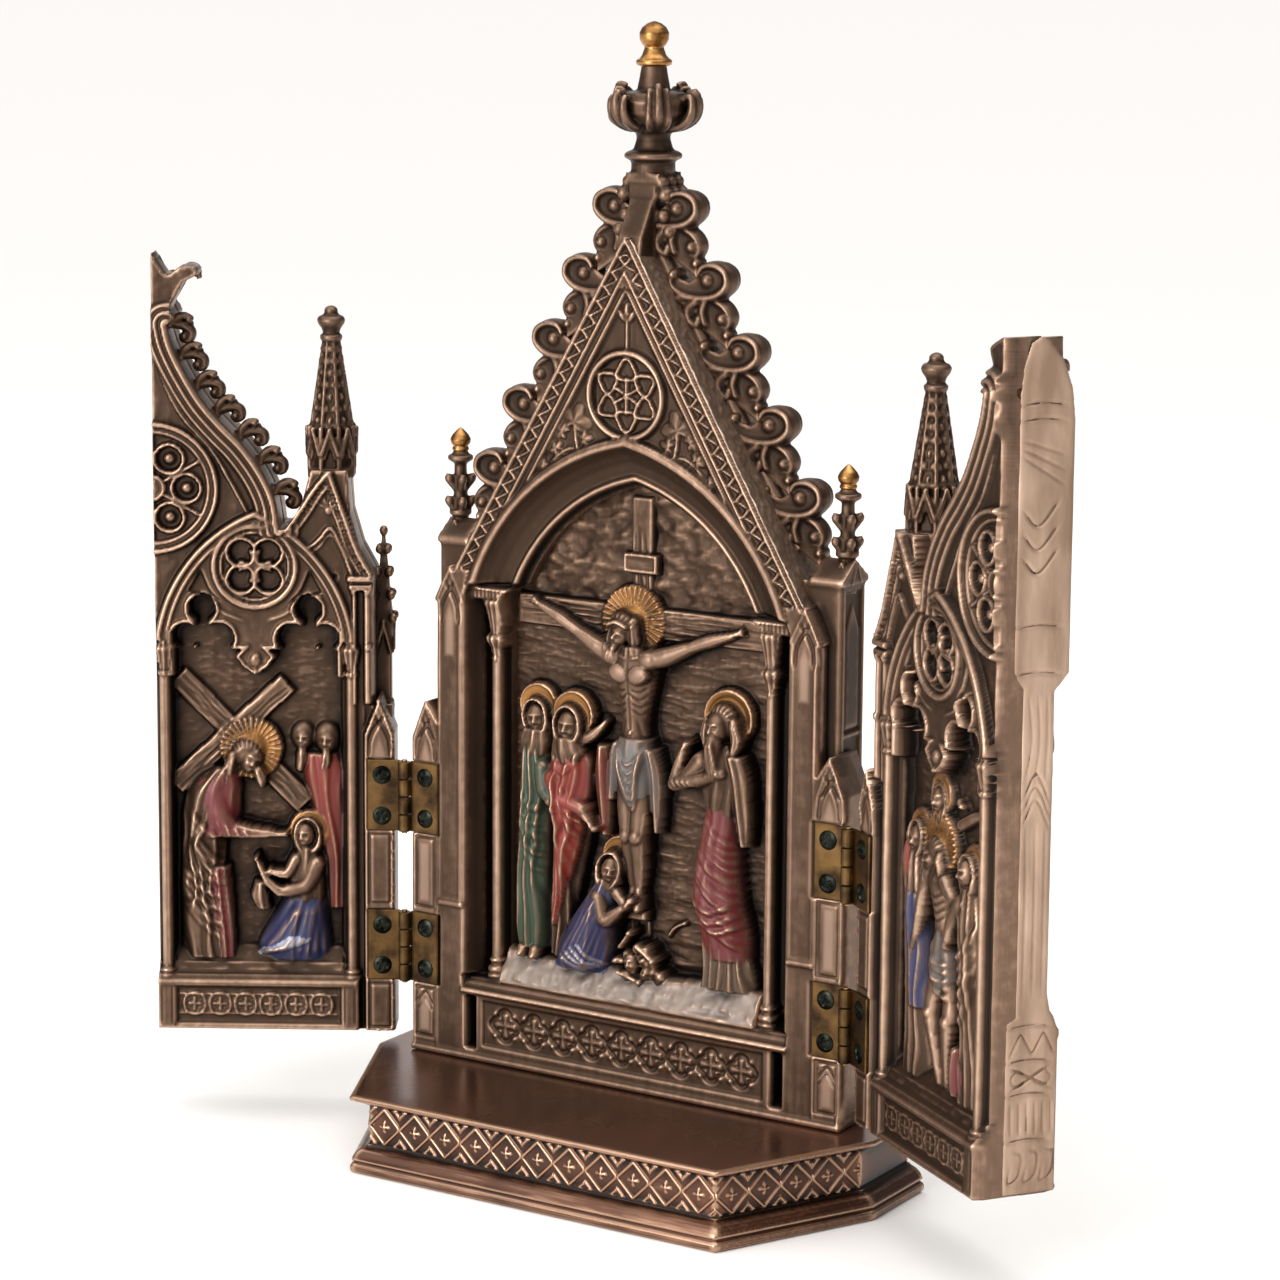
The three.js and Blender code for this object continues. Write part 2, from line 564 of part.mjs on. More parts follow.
// A screw with a low domed head that sits on the plate.
function screw(x, z) {
  const face = plateFront - 0.03;
  const profile = [[0, face + SCREW.length], [SCREW.shank, face]];
  profile.push([SCREW.head, face], [SCREW.head * 0.7, face - 0.5], [0, face - 0.5]);
  const points = profile.map(([r, y]) => new THREE.Vector2(r, y));
  return geometryOf(solid(new THREE.LatheGeometry(points, 6).translate(x, 0, z)));
}

// ---- wings: local x runs out from the hinge, local y from the inner face to the outer, about the hinge
// axis ----
const wingSlab = (outline, v0, v1, holes) => slab(outline, v0 + AXIS.ahead, v1 + AXIS.ahead, holes);
const wingBlock = (u0, u1, v0, v1, z0, z1) => block(u0, u1, v0 + AXIS.ahead, v1 + AXIS.ahead, z0, z1);
const wingBall = (u, v, z, ...radii) => ball(u, v + AXIS.ahead, z, ...radii);
const lancet = (radius, shift = 0) => archCurve(LANCET, radius).map(([x, z]) => [x, z + shift]);
const aboutLancet = (points) => bothSides(points).map(([x, z]) => [x + LANCET.u, z]);

// The ogee that bounds the wing's half gable, from its foot to the free edge.
function ogee(inset, steps = 6) {
  const start = new THREE.Vector2(32.5 + inset, 158);
  const end = new THREE.Vector2(61 + inset * 0.5, 211);
  const curve = new THREE.CubicBezierCurve(
    start, new THREE.Vector2(35 + inset, 177 - inset * 0.6),
    new THREE.Vector2(56 + inset, 187 - inset * 0.6), end,
  );
  return curve.getPoints(steps).map((p) => [Math.min(p.x, WING.free - 0.2), p.y]);
}

function wingColumn(u, v, foot, top) {
  const profile = [
    [0, foot], [2.2, foot], [1.5, foot + 2.4], [1.5, top - 8], [2.4, top - 2], [2.4, top], [0, top],
  ];
  return turned(profile, 6, u, v + AXIS.ahead);
}

// The pierced head of the wing's niche: a circle over two trefoiled bays and a pendant.
function tracery() {
  const foil = (u, from, to) => Array.from({ length: 4 }, (_, i) => {
    const a = from + ((to - from) * i) / 3;
    return [u + 3.4 * Math.cos(a), 137.2 + 3.4 * Math.sin(a)];
  });
  const right = [
    [0, 120], [3.6, 122], [5.2, 124.8], [2.6, 127], [4.6, 131], [8, 132.8], [11.6, 132.8],
    ...foil(13.8, Math.PI * 1.25, -Math.PI * 0.25), [16.6, 132.8], [20, 132.8], [22.6, 131],
    ...lancet(LANCET.radius - 1).slice(1),
  ];
  const outline = [
    ...right, ...right.slice(1, -1).reverse().map(mirrorX),
  ].map(([x, z]) => [x + LANCET.u, z]);
  const plate = wingSlab(outline, 2.2, 5);
  const eyes = [0, 1, 2, 3].map((i) => {
    const a = (i * Math.PI) / 2;
    return wingSlab(circle(LANCET.u + 5.9 * Math.cos(a), 148.3 + 5.9 * Math.sin(a), 3.2, 5), 1, 3.6);
  });
  return cut(plate, eyes);
}

function wingTurret() {
  const { u, v, drum } = TURRET;
  const y = v + AXIS.ahead;
  const base = [
    [8.2, 143], [8, 146.5], [11.4, 152], [14, 161], [15, 173], [24, 173], [26.5, 163], [31, 157],
    [31, 143],
  ];
  const spire = [
    [0, 172], [drum, 173], [drum, 184], [5.4, 185], [2.3, 207], [3.9, 211.4], [1.7, 213.4],
    [0, TURRET.top + 1],
  ];
  const made = [wingSlab(base, 2, 19), turned(spire, 6, u, y)];
  return made;
}

// The free edge's half finial: a leaf that leans out, and the tall middle leaf, cut flat where the wings
// meet.
function wingFinial() {
  const leafLine = [
    [61, 210], [59, 213], [60.5, 215], [58, 219], [57, 222], [53.2, 224.2], [54.5, 225.8], [58.5, 225],
    [61, 223.2], [63, 225], [WING.free, 228], [WING.free, 210],
  ];
  const bodyLine = [
    [59.4, 209], [58.8, 212], [61, 214], [59.4, 218], [62, 221.5], [WING.free, 223], [WING.free, 209],
  ];
  return [wingSlab(leafLine, 9, 16), wingSlab(bodyLine, 6, 19.5)];
}

function wingCrockets() {
  const spots = [[54, 208.6], [49.6, 199.4], [44, 190.4], [37.6, 183], [32.6, 174], [29.4, 166]];
  const curl = [[6, -7], [6, -1], [1.4, 2.2], [-1.6, 2.2], [-2.8, 0], [-1.6, -2.4], [0.4, -2.6]];
  return spots.map(([u, z]) => wingSlab(curl.map(([du, dz]) => [u + du, z + dz]), 6.5, 12.5));
}

// The half rose window in the half gable.
function halfRose() {
  const centre = [WING.free + 0.3, 168.5];
  const halfDisc = (radius, sides) => circle(...centre, radius, sides).filter(([u]) => u < WING.free - 0.05);
  const edge = (points) => [...points, [WING.free, points.at(-1)[1]], [WING.free, points[0][1]]];
  const ring = wingSlab(edge(halfDisc(17.2, 16)), 2.6, 6);
  const pits = [120, 180, 240].map((deg) => {
    const a = (deg * Math.PI) / 180;
    return wingSlab(circle(centre[0] + 8.7 * Math.cos(a), centre[1] + 8.7 * Math.sin(a), 3.6, 5), 0, 4.2);
  });
  const sunk = wingSlab(edge(halfDisc(14.8, 12)), 0, 3.2);
  return cut(ring, [sunk, ...pits]);
}

function wingFrame() {
  const head = [...ogee(0)].reverse();
  const outline = [
    [WING.side, WING.foot], [WING.free, WING.foot], [WING.free, 211], ...head, [31, 158], [31, 146],
    [WING.side, 146],
  ];
  const slabBody = wingSlab(outline, WING.field, WING.back);
  const nicheLine = aboutLancet([[21.6, 40], [21.6, 128], ...lancet(LANCET.radius - 3)]);
  const band = wingSlab([...ogee(0), ...ogee(5).reverse()], 1.4, 5);
  const rim = wingSlab(
    aboutLancet([[24.8, 128], ...lancet(LANCET.radius)]), 1.4, 5,
    [aboutLancet([[22.6, 128.5], ...lancet(LANCET.radius - 2.2)]).reverse()],
  );
  const pedestal = wingBlock(
    PEDESTAL.inside, WING.free, PEDESTAL.front, WING.baseBack, WING.foot, PEDESTAL.top,
  );
  const panelCut = wingBlock(17, 60.4, -1, 1.6, 26.2, 36.2);
  const roundels = Array.from(
    { length: 6 },
    (_, i) => wingSlab(circle(PEDESTAL.first + i * PEDESTAL.pitch, PEDESTAL.middle, 2.8, 5), 1, 2.2),
  );
  const ledge = slab([[14, 38], [63.5, 38], [60.4, 42], [17, 42]], 1 + AXIS.ahead, 9 + AXIS.ahead);
  return join([
    cut(slabBody, [wingSlab(nicheLine, -1, WING.niche)]),
    band, rim, cut(pedestal, [panelCut, ...roundels]), ledge,
    tracery(), halfRose(), wingColumn(14, 3.2, 38, 128), wingColumn(62.8, 3.2, 38, 128),
    wingBlock(SHAFT.inside, SHAFT.outside, SHAFT.front, SHAFT.back, WING.foot, SHAFT.top),
    ...wingTurret(), ...wingFinial(), ...wingCrockets(), ...outerFace(),
  ]);
}

// The face that shows when the wings are shut: a heavy base, a blind lancet, a string course and the
// gable's rim.
function outerFace() {
  const panel = aboutLancet([[19, 72], [19, 128], ...lancet(LANCET.radius - 6)]);
  return [
    wingBlock(PEDESTAL.inside, WING.free, 14, WING.baseBack, WING.foot, OUTER.baseTop),
    wingBlock(PEDESTAL.inside + 1, WING.free, 14, OUTER.course, OUTER.baseTop, OUTER.courseTop),
    wingSlab(panel, 17, OUTER.panel),
    wingSlab(
      [[31, 157.5], [31, 160], ...ogee(0).slice(1), [WING.free, 211], [WING.free, 157.5]],
      15, OUTER.gable,
    ),
    wingBlock(3.6, 8.4, 8, 15, 24.5, 112),
    turned([[0, 108], [2.9, 108], [2.9, 128], [3.6, 130], [0, 157]], 4, 6.4, 14 + AXIS.ahead, Math.PI / 4),
    ...[134, 141, 148].map((z, i) => wingBall(5.4 + i * 0.5, 14, z, 2 - i * 0.2, 2, 1.6, 4, 2)),
  ];
}

function wing(figures) {
  const low = wingSlab(
    [[2.8, WING.foot], [10.6, WING.foot], [10.6, LOW.shoulder], [6.7, LOW.apex], [2.8, LOW.shoulder]], 0,
    11,
  );
  const pockets = HINGE.feet.map((z) => wingBlock(
    1, HINGE.plateFar + 0.3, -1, POCKET_DEPTH, z - EPS, z + HINGE.height + EPS,
  ));
  const bores = HINGE.feet.flatMap((foot) => screwHeights(foot).map((z) => bore(screwOut, z, AXIS.ahead)));
  return geometryOf(cut(join([wingFrame(), low, ...figures]), [...pockets, ...bores]));
}

// Figures on a wing lie in its niche; v is how far back from the inner face.
const shift = (sections) => sections.map(([z, u, half, v, deep]) => [z, u, half, v + AXIS.ahead, deep]);
const wingRobed = (sections, ...rest) => robed(shift(sections), ...rest);
const wingLimb = ([u0, v0, z0], [u1, v1, z1], ...radii) => limb(
  [u0, v0 + AXIS.ahead, z0], [u1, v1 + AXIS.ahead, z1], ...radii,
);
const wingHalo = (u, z, radius, v) => wingSlab(circle(u, z, radius, 8), v, WING.niche + 0.5);
const wingHead = (u, v, z, radius) => head(u, v + AXIS.ahead, z, radius);

// The way to Calvary: he stoops under the cross towards a kneeling woman, two men behind.
function meetingScene() {
  const beam = (a, b, half) => {
    const way = new THREE.Vector2(b[0] - a[0], b[1] - a[1]).normalize();
    const [nx, nz] = [-way.y * half, way.x * half];
    return wingSlab(
      [[a[0] + nx, a[1] + nz], [a[0] - nx, a[1] - nz], [b[0] - nx, b[1] - nz], [b[0] + nx, b[1] + nz]],
      6.4, 9,
    );
  };
  return [
    beam([32.5, 115.6], [60.4, 90], 3.2), beam([28.6, 86.6], [60, 116.6], 3),
    wingHalo(40.6, 99.4, 8.2, 5.4), wingHead(41.4, 3.6, 97.6, 4.4), wingBall(40, 3.2, 93.6, 2.6, 2, 2.8),
    wingRobed([
      [41, 52, 8, 5.6, 4], [72, 52, 5.4, 5, 3.6], [84, 51.6, 6.6, 4.4, 3.6], [92, 49, 4.4, 4.4, 3],
    ]),
    wingLimb([50, 3.4, 86], [46, 2.6, 79], 3.2, 2.6), wingLimb([46, 2.6, 79], [34.6, 2.8, 77.2], 2.6, 1.3),
    wingHalo(25.4, 77.4, 5.2, 6), wingHead(26.2, 3.4, 77, 4),
    wingRobed([
      [41, 28, 10.6, 5, 4], [48, 29.4, 9, 4.8, 4], [58, 26.6, 5.6, 4.6, 3.6], [68, 27, 5, 4.4, 3.4],
      [73, 26.4, 2.6, 4.4, 2.4],
    ]),
    wingLimb([27, 2.8, 67], [33, 2.4, 62.6], 2.2, 1.8),
    wingLimb([33, 2.4, 62.6], [38.6, 2.8, 67.6], 1.8, 1.1),
    wingHead(20.8, 5.8, 102, 4), wingHead(27.6, 6.2, 102.4, 3.4),
    wingRobed(
      [[41, 19.4, 2.6, 6.6, 2.2], [70, 19.6, 3.4, 6.4, 2.6], [90, 21.4, 5.4, 6, 3], [98, 22, 3, 6, 2]], 4,
    ),
  ];
}

// The descent: his body held upright between a woman in blue and one who bends beside him.
function descentScene() {
  return [
    wingHalo(34, 113.6, 4.8, 6), wingHead(33.6, 4.6, 112.6, 3.6),
    wingHalo(35.4, 101.6, 7.8, 5.4), wingHead(34.4, 3.6, 99.4, 4.2), wingBall(33.4, 3.2, 95.6, 2.4, 2, 2.6),
    wingRobed(
      [
        [79, 39.6, 4.4, 4.6, 3.2], [86, 38.6, 3.6, 4.6, 2.8], [93, 37.4, 5, 4.4, 3.2],
        [97.4, 36.4, 3.4, 4.6, 2.4],
      ],
      2,
    ),
    wingRobed([[68, 40.6, 5, 4.8, 3], [75, 40.2, 5.2, 4.4, 3.4], [82, 39.6, 4.4, 4.6, 3]], 5),
    wingLimb([38.6, 4, 72], [36.4, 2.8, 62], 2.6, 2), wingLimb([36.4, 2.8, 62], [38.4, 5, 45], 2, 1.3),
    wingLimb([42.6, 4.4, 72], [44.4, 3, 61], 2.6, 2), wingLimb([44.4, 3, 61], [41.8, 5, 45], 2, 1.3),
    wingLimb([33, 3.6, 93], [30.6, 2.8, 84], 1.9, 1.5), wingLimb([30.6, 2.8, 84], [28, 3, 75.6], 1.5, 1.2),
    wingHead(24.6, 4.2, 101, 3.9), wingHalo(24, 102, 5, 6.4),
    wingRobed(
      [[41, 24, 7.4, 5.6, 4], [58, 25, 5.8, 5.4, 3.8], [90, 25.6, 5, 4.8, 3.4], [97, 25, 2.6, 4.8, 2.4]],
      5,
    ),
    wingHalo(51.6, 99.6, 5.2, 6), wingHead(50.6, 4, 98.4, 3.8),
    wingRobed(
      [
        [41, 53, 7, 5.4, 4], [56, 53.6, 5.6, 5.2, 3.8], [88, 52.4, 5.4, 4.8, 3.4],
        [95, 51.4, 2.8, 4.8, 2.4],
      ],
      5,
    ),
    wingLimb([49.6, 3.4, 90], [46, 2.6, 81], 2.4, 1.8), wingLimb([46, 2.6, 81], [42, 2.8, 78], 1.8, 1.2),
  ];
}

// ---- assembly ----
function hingeSide(side, group, fixed, prefix) {
  const turnedWay = (geometry) => (side > 0 ? geometry : mirrored(geometry));
  HINGE.feet.forEach((foot, i) => {
    const which = i ? "upper" : "lower";
    const label = `${prefix}_${which}_hinge`;
    group.add(named(`${label}_wing_leaf`, turnedWay(leaf(foot, 1, 1)), brass));
    fixed.add(named(`${label}_panel_leaf`, turnedWay(leaf(foot, 0, -1)), brass));
    fixed.add(named(`${label}_pin`, turnedWay(hingePin(foot)), brass));
    screwHeights(foot).forEach((z, n) => {
      const place = n ? "top" : "bottom";
      group.add(named(`${label}_wing_screw_${place}`, turnedWay(screw(screwOut, z)), blackSteel));
      fixed.add(named(`${label}_panel_screw_${place}`, turnedWay(screw(-screwOut, z)), blackSteel));
    });
  });
}

const altarpiece = new THREE.Group();
altarpiece.add(named("plinth", geometryOf(plinth()).translate(0, PANEL_FRONT, 0), polishedBronze));
const panel = new THREE.Group();
panel.position.y = PANEL_FRONT;
panel.add(named("centre_panel", centrePanel(), castBronze));
for (const side of [-1, 1]) {
  const prefix = side < 0 ? "left" : "right";
  const fixed = new THREE.Group();
  const swinging = new THREE.Group();
  fixed.position.set(side * AXIS.x, -AXIS.ahead, 0);
  swinging.position.copy(fixed.position);
  swinging.rotation.z = -side * THREE.MathUtils.degToRad(REST_ANGLE[prefix]);
  const shape = wing(side < 0 ? meetingScene() : descentScene());
  swinging.add(named(`${prefix}_wing`, side < 0 ? mirrored(shape) : shape, castBronze));
  hingeSide(side, swinging, fixed, prefix);
  panel.add(fixed, swinging);
}
altarpiece.add(panel);

export default altarpiece;
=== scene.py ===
import json
import math

import bmesh
import bpy
import numpy as np
from mathutils import Matrix, Vector

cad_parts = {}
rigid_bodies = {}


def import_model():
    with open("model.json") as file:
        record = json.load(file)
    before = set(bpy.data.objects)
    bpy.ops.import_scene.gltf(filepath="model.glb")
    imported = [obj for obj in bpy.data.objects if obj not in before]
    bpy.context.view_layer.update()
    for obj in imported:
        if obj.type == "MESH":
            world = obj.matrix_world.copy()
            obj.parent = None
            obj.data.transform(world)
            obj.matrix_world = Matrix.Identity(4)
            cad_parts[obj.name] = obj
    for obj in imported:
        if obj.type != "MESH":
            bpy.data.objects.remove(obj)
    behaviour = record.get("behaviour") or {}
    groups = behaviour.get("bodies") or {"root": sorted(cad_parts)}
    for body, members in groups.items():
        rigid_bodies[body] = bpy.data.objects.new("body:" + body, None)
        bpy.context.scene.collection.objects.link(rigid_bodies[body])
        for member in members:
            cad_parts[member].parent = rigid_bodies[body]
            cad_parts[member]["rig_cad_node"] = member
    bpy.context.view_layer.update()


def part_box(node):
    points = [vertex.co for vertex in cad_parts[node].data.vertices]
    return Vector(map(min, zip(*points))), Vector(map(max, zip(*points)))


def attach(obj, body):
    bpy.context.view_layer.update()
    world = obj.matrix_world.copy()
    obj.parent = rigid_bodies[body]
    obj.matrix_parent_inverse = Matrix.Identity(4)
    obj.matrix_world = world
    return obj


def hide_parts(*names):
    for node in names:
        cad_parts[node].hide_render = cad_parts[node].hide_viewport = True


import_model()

pinLow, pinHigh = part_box("right_lower_hinge_pin")
axisX = (pinLow.x + pinHigh.x) * 500  # hinge axis, out from the middle, mm
axisY = (pinLow.y + pinHigh.y) * 500
axisAhead = 0.9  # the axis stands this far ahead of both front planes
frontY = axisY + axisAhead  # where the panel's front plane lies in the frame
wingLean = {"left": math.radians(31), "right": math.radians(35)}
mm = 0.001
far = 1e3
print("frame loaded, hinge axis", round(axisX, 2), round(axisY, 2))


def toLinear(hexColour):
    parts = [int(hexColour[i:i + 2], 16) / 255 for i in (1, 3, 5)]
    return tuple(c / 12.92 if c <= 0.04045 else ((c + 0.055) / 1.055) ** 2.4 for c in parts)


def ease(low, high, value):
    t = np.clip((value - low) / (high - low), 0, 1)
    return t * t * (3 - 2 * t)


def profile(value, points):
    return np.interp(value, [p[0] for p in points], [p[1] for p in points])


def around(x, z, r, angle):  # a point on a circle
    return x + r * math.cos(angle), z + r * math.sin(angle)


def spokes(count, first=0.0):  # angles spaced evenly round a circle
    return [first + k * 2 * math.pi / count for k in range(count)]


def roundOff(q):  # how far a round form falls back: 0 in its middle, 1 at its rim, where q reaches 0
    return 1 - np.sqrt(np.clip(q, 0, 1))


def curve(points, step):  # a smooth line through a few given points
    p = np.array(points, float)
    p = np.vstack([2 * p[0] - p[1], p, 2 * p[-1] - p[-2]])
    out = []
    for a, b, c, d in zip(p, p[1:], p[2:], p[3:]):
        n = max(2, int(np.linalg.norm(c - b) / step))
        t = np.linspace(0, 1, n, endpoint=False)[:, None]
        out.append(0.5 * (2 * b + (c - a) * t + (2 * a - 5 * b + 4 * c - d) * t ** 2
                          + (3 * b - a - 3 * c + d) * t ** 3))
    return np.vstack([*out, p[-2:-1]])


def along(value, stations, column):  # a smooth run of one column of a table against its first
    s = np.array(stations, float)
    s = s[np.argsort(s[:, 0])]
    line = curve(s[:, [0, column]], 0.4)
    order = np.argsort(line[:, 0])
    return np.interp(value, line[order, 0], line[order, 1])


def lumps(x, y, size, seed):
    table = np.random.RandomState(seed).uniform(-1, 1, (128, 128))
    u, v = np.asarray(x) / size + 37.3, np.asarray(y) / size + 11.7
    i, j = np.floor(u).astype(int), np.floor(v).astype(int)
    fu, fv = u - i, v - j
    fu, fv = fu * fu * (3 - 2 * fu), fv * fv * (3 - 2 * fv)
    a, b = table[i % 128, j % 128], table[(i + 1) % 128, j % 128]
    c, d = table[i % 128, (j + 1) % 128], table[(i + 1) % 128, (j + 1) % 128]
    return (a * (1 - fu) + b * fu) * (1 - fv) + (c * (1 - fu) + d * fu) * fv


def noise(x, y, size, seed):  # smooth lumps about one size across, -1 to 1: two turned layers, so no rows show
    p, q = x * 0.83 + y * 0.56, y * 0.83 - x * 0.56
    r, s = x * 0.31 - y * 0.95, y * 0.31 + x * 0.95
    return 0.7 * (lumps(p, q, size, seed) + lumps(r, s, size * 0.87, seed + 500))


def blurred(grid, reach, step):  # a soft average over about the given reach, by repeated box filters
    out = grid
    n = max(1, int(reach / step))
    for axis in (0, 1):
        for _ in range(3):
            wide = np.pad(out, [(n, n) if k == axis else (0, 0) for k in (0, 1)], mode="edge")
            total = np.cumsum(wide, axis=axis)
            zero = np.zeros_like(np.take(total, [0], axis=axis))
            total = np.concatenate([zero, total], axis=axis)
            size = grid.shape[axis]
            high = np.take(total, range(2 * n + 1, 2 * n + 1 + size), axis=axis)
            low = np.take(total, range(0, size), axis=axis)
            out = (high - low) / (2 * n + 1)
    return out


def circleGap(x, z, cx, cz, radius):
    return np.hypot(x - cx, z - cz) - radius


def boxGap(x, z, x0, x1, z0, z1):
    dx = np.maximum(x0 - x, x - x1)
    dz = np.maximum(z0 - z, z - z1)
    return np.maximum(dx, dz)


def polygonGap(x, z, points):
    p = np.array(points, float)
    best = np.full(x.shape, far)
    inside = np.zeros(x.shape, bool)
    for (ax, az), (bx, bz) in zip(p, np.roll(p, -1, axis=0)):
        ex, ez = bx - ax, bz - az
        t = np.clip(((x - ax) * ex + (z - az) * ez) / max(ex * ex + ez * ez, 1e-9), 0, 1)
        best = np.minimum(best, np.hypot(x - ax - ex * t, z - az - ez * t))
        crosses = ((az > z) != (bz > z)) & (x < ex * (z - az) / (ez if ez else 1e-9) + ax)
        inside ^= crosses
    return np.where(inside, -best, best)


def archGap(x, z, arch):  # a pointed arch on straight jambs
    head = np.hypot(np.abs(x) + arch["across"], z - arch["centre"]) - arch["radius"]
    sides = np.abs(x) - arch["jamb"]
    blend = ease(arch["spring"] - 3, arch["spring"] + 1, z)
    return sides * (1 - blend) + head * blend


class Relief:  # depths on an upright grid in mm: x across, z up, a larger depth lies further back
    def __init__(self, xs, zs, step, ground):
        across = np.arange(xs[0], xs[1] + step / 2, step)
        up = np.arange(zs[0], zs[1] + step / 2, step)
        self.step = step
        self.x, self.z = np.meshgrid(across, up)
        self.depth = np.full(self.x.shape, float(ground))
        self.paint = np.zeros((*self.x.shape, 4))

    def window(self, x0, x1, z0, z1):
        i0 = max(0, int((z0 - self.z[0, 0]) / self.step))
        i1 = max(0, int((z1 - self.z[0, 0]) / self.step) + 2)
        j0 = max(0, int((x0 - self.x[0, 0]) / self.step))
        j1 = max(0, int((x1 - self.x[0, 0]) / self.step) + 2)
        return slice(i0, i1), slice(j0, j1)

    def put(self, depth, colour=None, amount=1.0, part=(slice(None), slice(None))):
        target, tint = self.depth[part], self.paint[part]
        ahead = depth < target
        target[ahead] = depth[ahead] if np.ndim(depth) else depth
        tint[ahead] = (*toLinear(colour), amount) if colour else 0

    def plate(self, gap, front, edge):  # a flat raised shape with eased edges
        inner = np.clip(-gap / edge, 0, 1)
        drop = edge * roundOff(1 - (1 - inner) ** 2)
        self.put(np.where(gap < 0, front + drop, far))

    def cut(self, gap, depth, edge):  # a sunk shape with a short sloped wall
        level = np.where(gap < 0, np.minimum(depth, self.depth + (depth - self.depth) * np.clip(-gap / edge, 0, 1)),
                         -far)
        self.depth = np.maximum(self.depth, level)

    def fill(self, on, level):
        self.depth = np.where(on, level, self.depth)

    def build(self, on, level):  # fills only where that comes forward
        self.fill(on, np.minimum(self.depth, level))

    def dome(self, cx, cz, rx, rz, front, rise=None, turn=0.0, colour=None, amount=1.0):
        rise = min(rx, rz) if rise is None else rise
        reach = max(rx, rz)
        part = self.window(cx - reach, cx + reach, cz - reach, cz + reach)
        x, z = self.x[part] - cx, self.z[part] - cz
        c, s = math.cos(turn), math.sin(turn)
        q = 1 - ((x * c + z * s) / rx) ** 2 - ((z * c - x * s) / rz) ** 2
        self.put(np.where(q > 0, front + rise * roundOff(q), far), colour, amount, part)

    def spine(self, line, reach):  # distance to a line of points, and how far along it
        lo, hi = line.min(axis=0) - reach, line.max(axis=0) + reach
        part = self.window(lo[0], hi[0], lo[1], hi[1])
        x, z = self.x[part], self.z[part]
        best, where = np.full(x.shape, far), np.zeros(x.shape)
        count = len(line) - 1
        for k in range(count):
            (ax, az), (bx, bz) = line[k, :2], line[k + 1, :2]
            ex, ez = bx - ax, bz - az
            t = np.clip(((x - ax) * ex + (z - az) * ez) / max(ex * ex + ez * ez, 1e-9), 0, 1)
            gap = np.hypot(x - ax - ex * t, z - az - ez * t)
            near = gap < best
            best[near] = gap[near]
            where[near] = ((k + t) / count)[near]
        return part, best, where

    def limb(self, points, radii, fronts, colour=None, amount=1.0):  # a round tapering form along a line
        line = curve(points, 1.0)
        part, gap, t = self.spine(line, max(radii))
        stops = np.linspace(0, 1, len(points))
        r = np.interp(t, stops, radii)
        front = np.interp(t, stops, fronts)
        q = 1 - (gap / r) ** 2
        self.put(np.where(q > 0, front + r * roundOff(q), far), colour, amount, part)

    def stroke(self, points, width, height, colour=None, amount=1.0):
        # lifts (or with a negative height presses) what is there along a smooth line, fading at both ends
        line = curve(points, 0.8) if len(points) > 2 else np.array(points, float)
        part, gap, t = self.spine(line, width)
        fade = np.clip(6 * np.minimum(t, 1 - t) + 0.25, 0, 1)
        lift = height * np.clip(1 - (gap / width) ** 2, 0, 1) ** 1.3 * fade
        self.depth[part] -= lift
        if colour:
            self.paint[part][lift > abs(height) * 0.35] = (*toLinear(colour), amount)

    def line(self, points, width, front, smooth=True):  # a raised bead at its own level
        path = curve(points, 0.8) if smooth and len(points) > 2 else np.array(points, float)
        part, gap, _ = self.spine(path, width)
        q = 1 - (gap / width) ** 2
        self.put(np.where(q > 0, front + width * 0.8 * roundOff(q), far), part=part)

    def soften(self):
        d = np.pad(self.depth, 1, mode="edge")
        self.depth = (4 * d[1:-1, 1:-1] + d[:-2, 1:-1] + d[2:, 1:-1] + d[1:-1, :-2] + d[1:-1, 2:]) / 8


def panelPlace(x, y, z):  # from the panel's own measures to the frame, in metres
    return np.stack([x, y + frontY, z], -1) * mm


def wingPlace(side):
    sign = -1 if side == "left" else 1
    c, s = math.cos(wingLean[side]), math.sin(wingLean[side])

    def place(u, v, z):
        y = v + axisAhead
        return np.stack([sign * (axisX + u * c + y * s), axisY - u * s + y * c, z + 0 * u], -1) * mm
    return place


def newObject(name, data):
    thing = bpy.data.objects.new(name, data)
    bpy.context.scene.collection.objects.link(thing)
    return thing


def facesOut(mesh, strays=False):  # every face turned outwards; strays also takes away points that no face uses
    bm = bmesh.new()
    bm.from_mesh(mesh)
    if strays:
        bmesh.ops.delete(bm, geom=[v for v in bm.verts if not v.link_faces], context="VERTS")
    bmesh.ops.recalc_face_normals(bm, faces=bm.faces)
    bm.to_mesh(mesh)
    bm.free()


def takeParts(mesh):  # the mesh's points and faces; the mesh itself goes
    points = np.empty(len(mesh.vertices) * 3)
    mesh.vertices.foreach_get("co", points)
    faces = [tuple(p.vertices) for p in mesh.polygons]
    bpy.data.meshes.remove(mesh)
    return points.reshape(-1, 3), faces


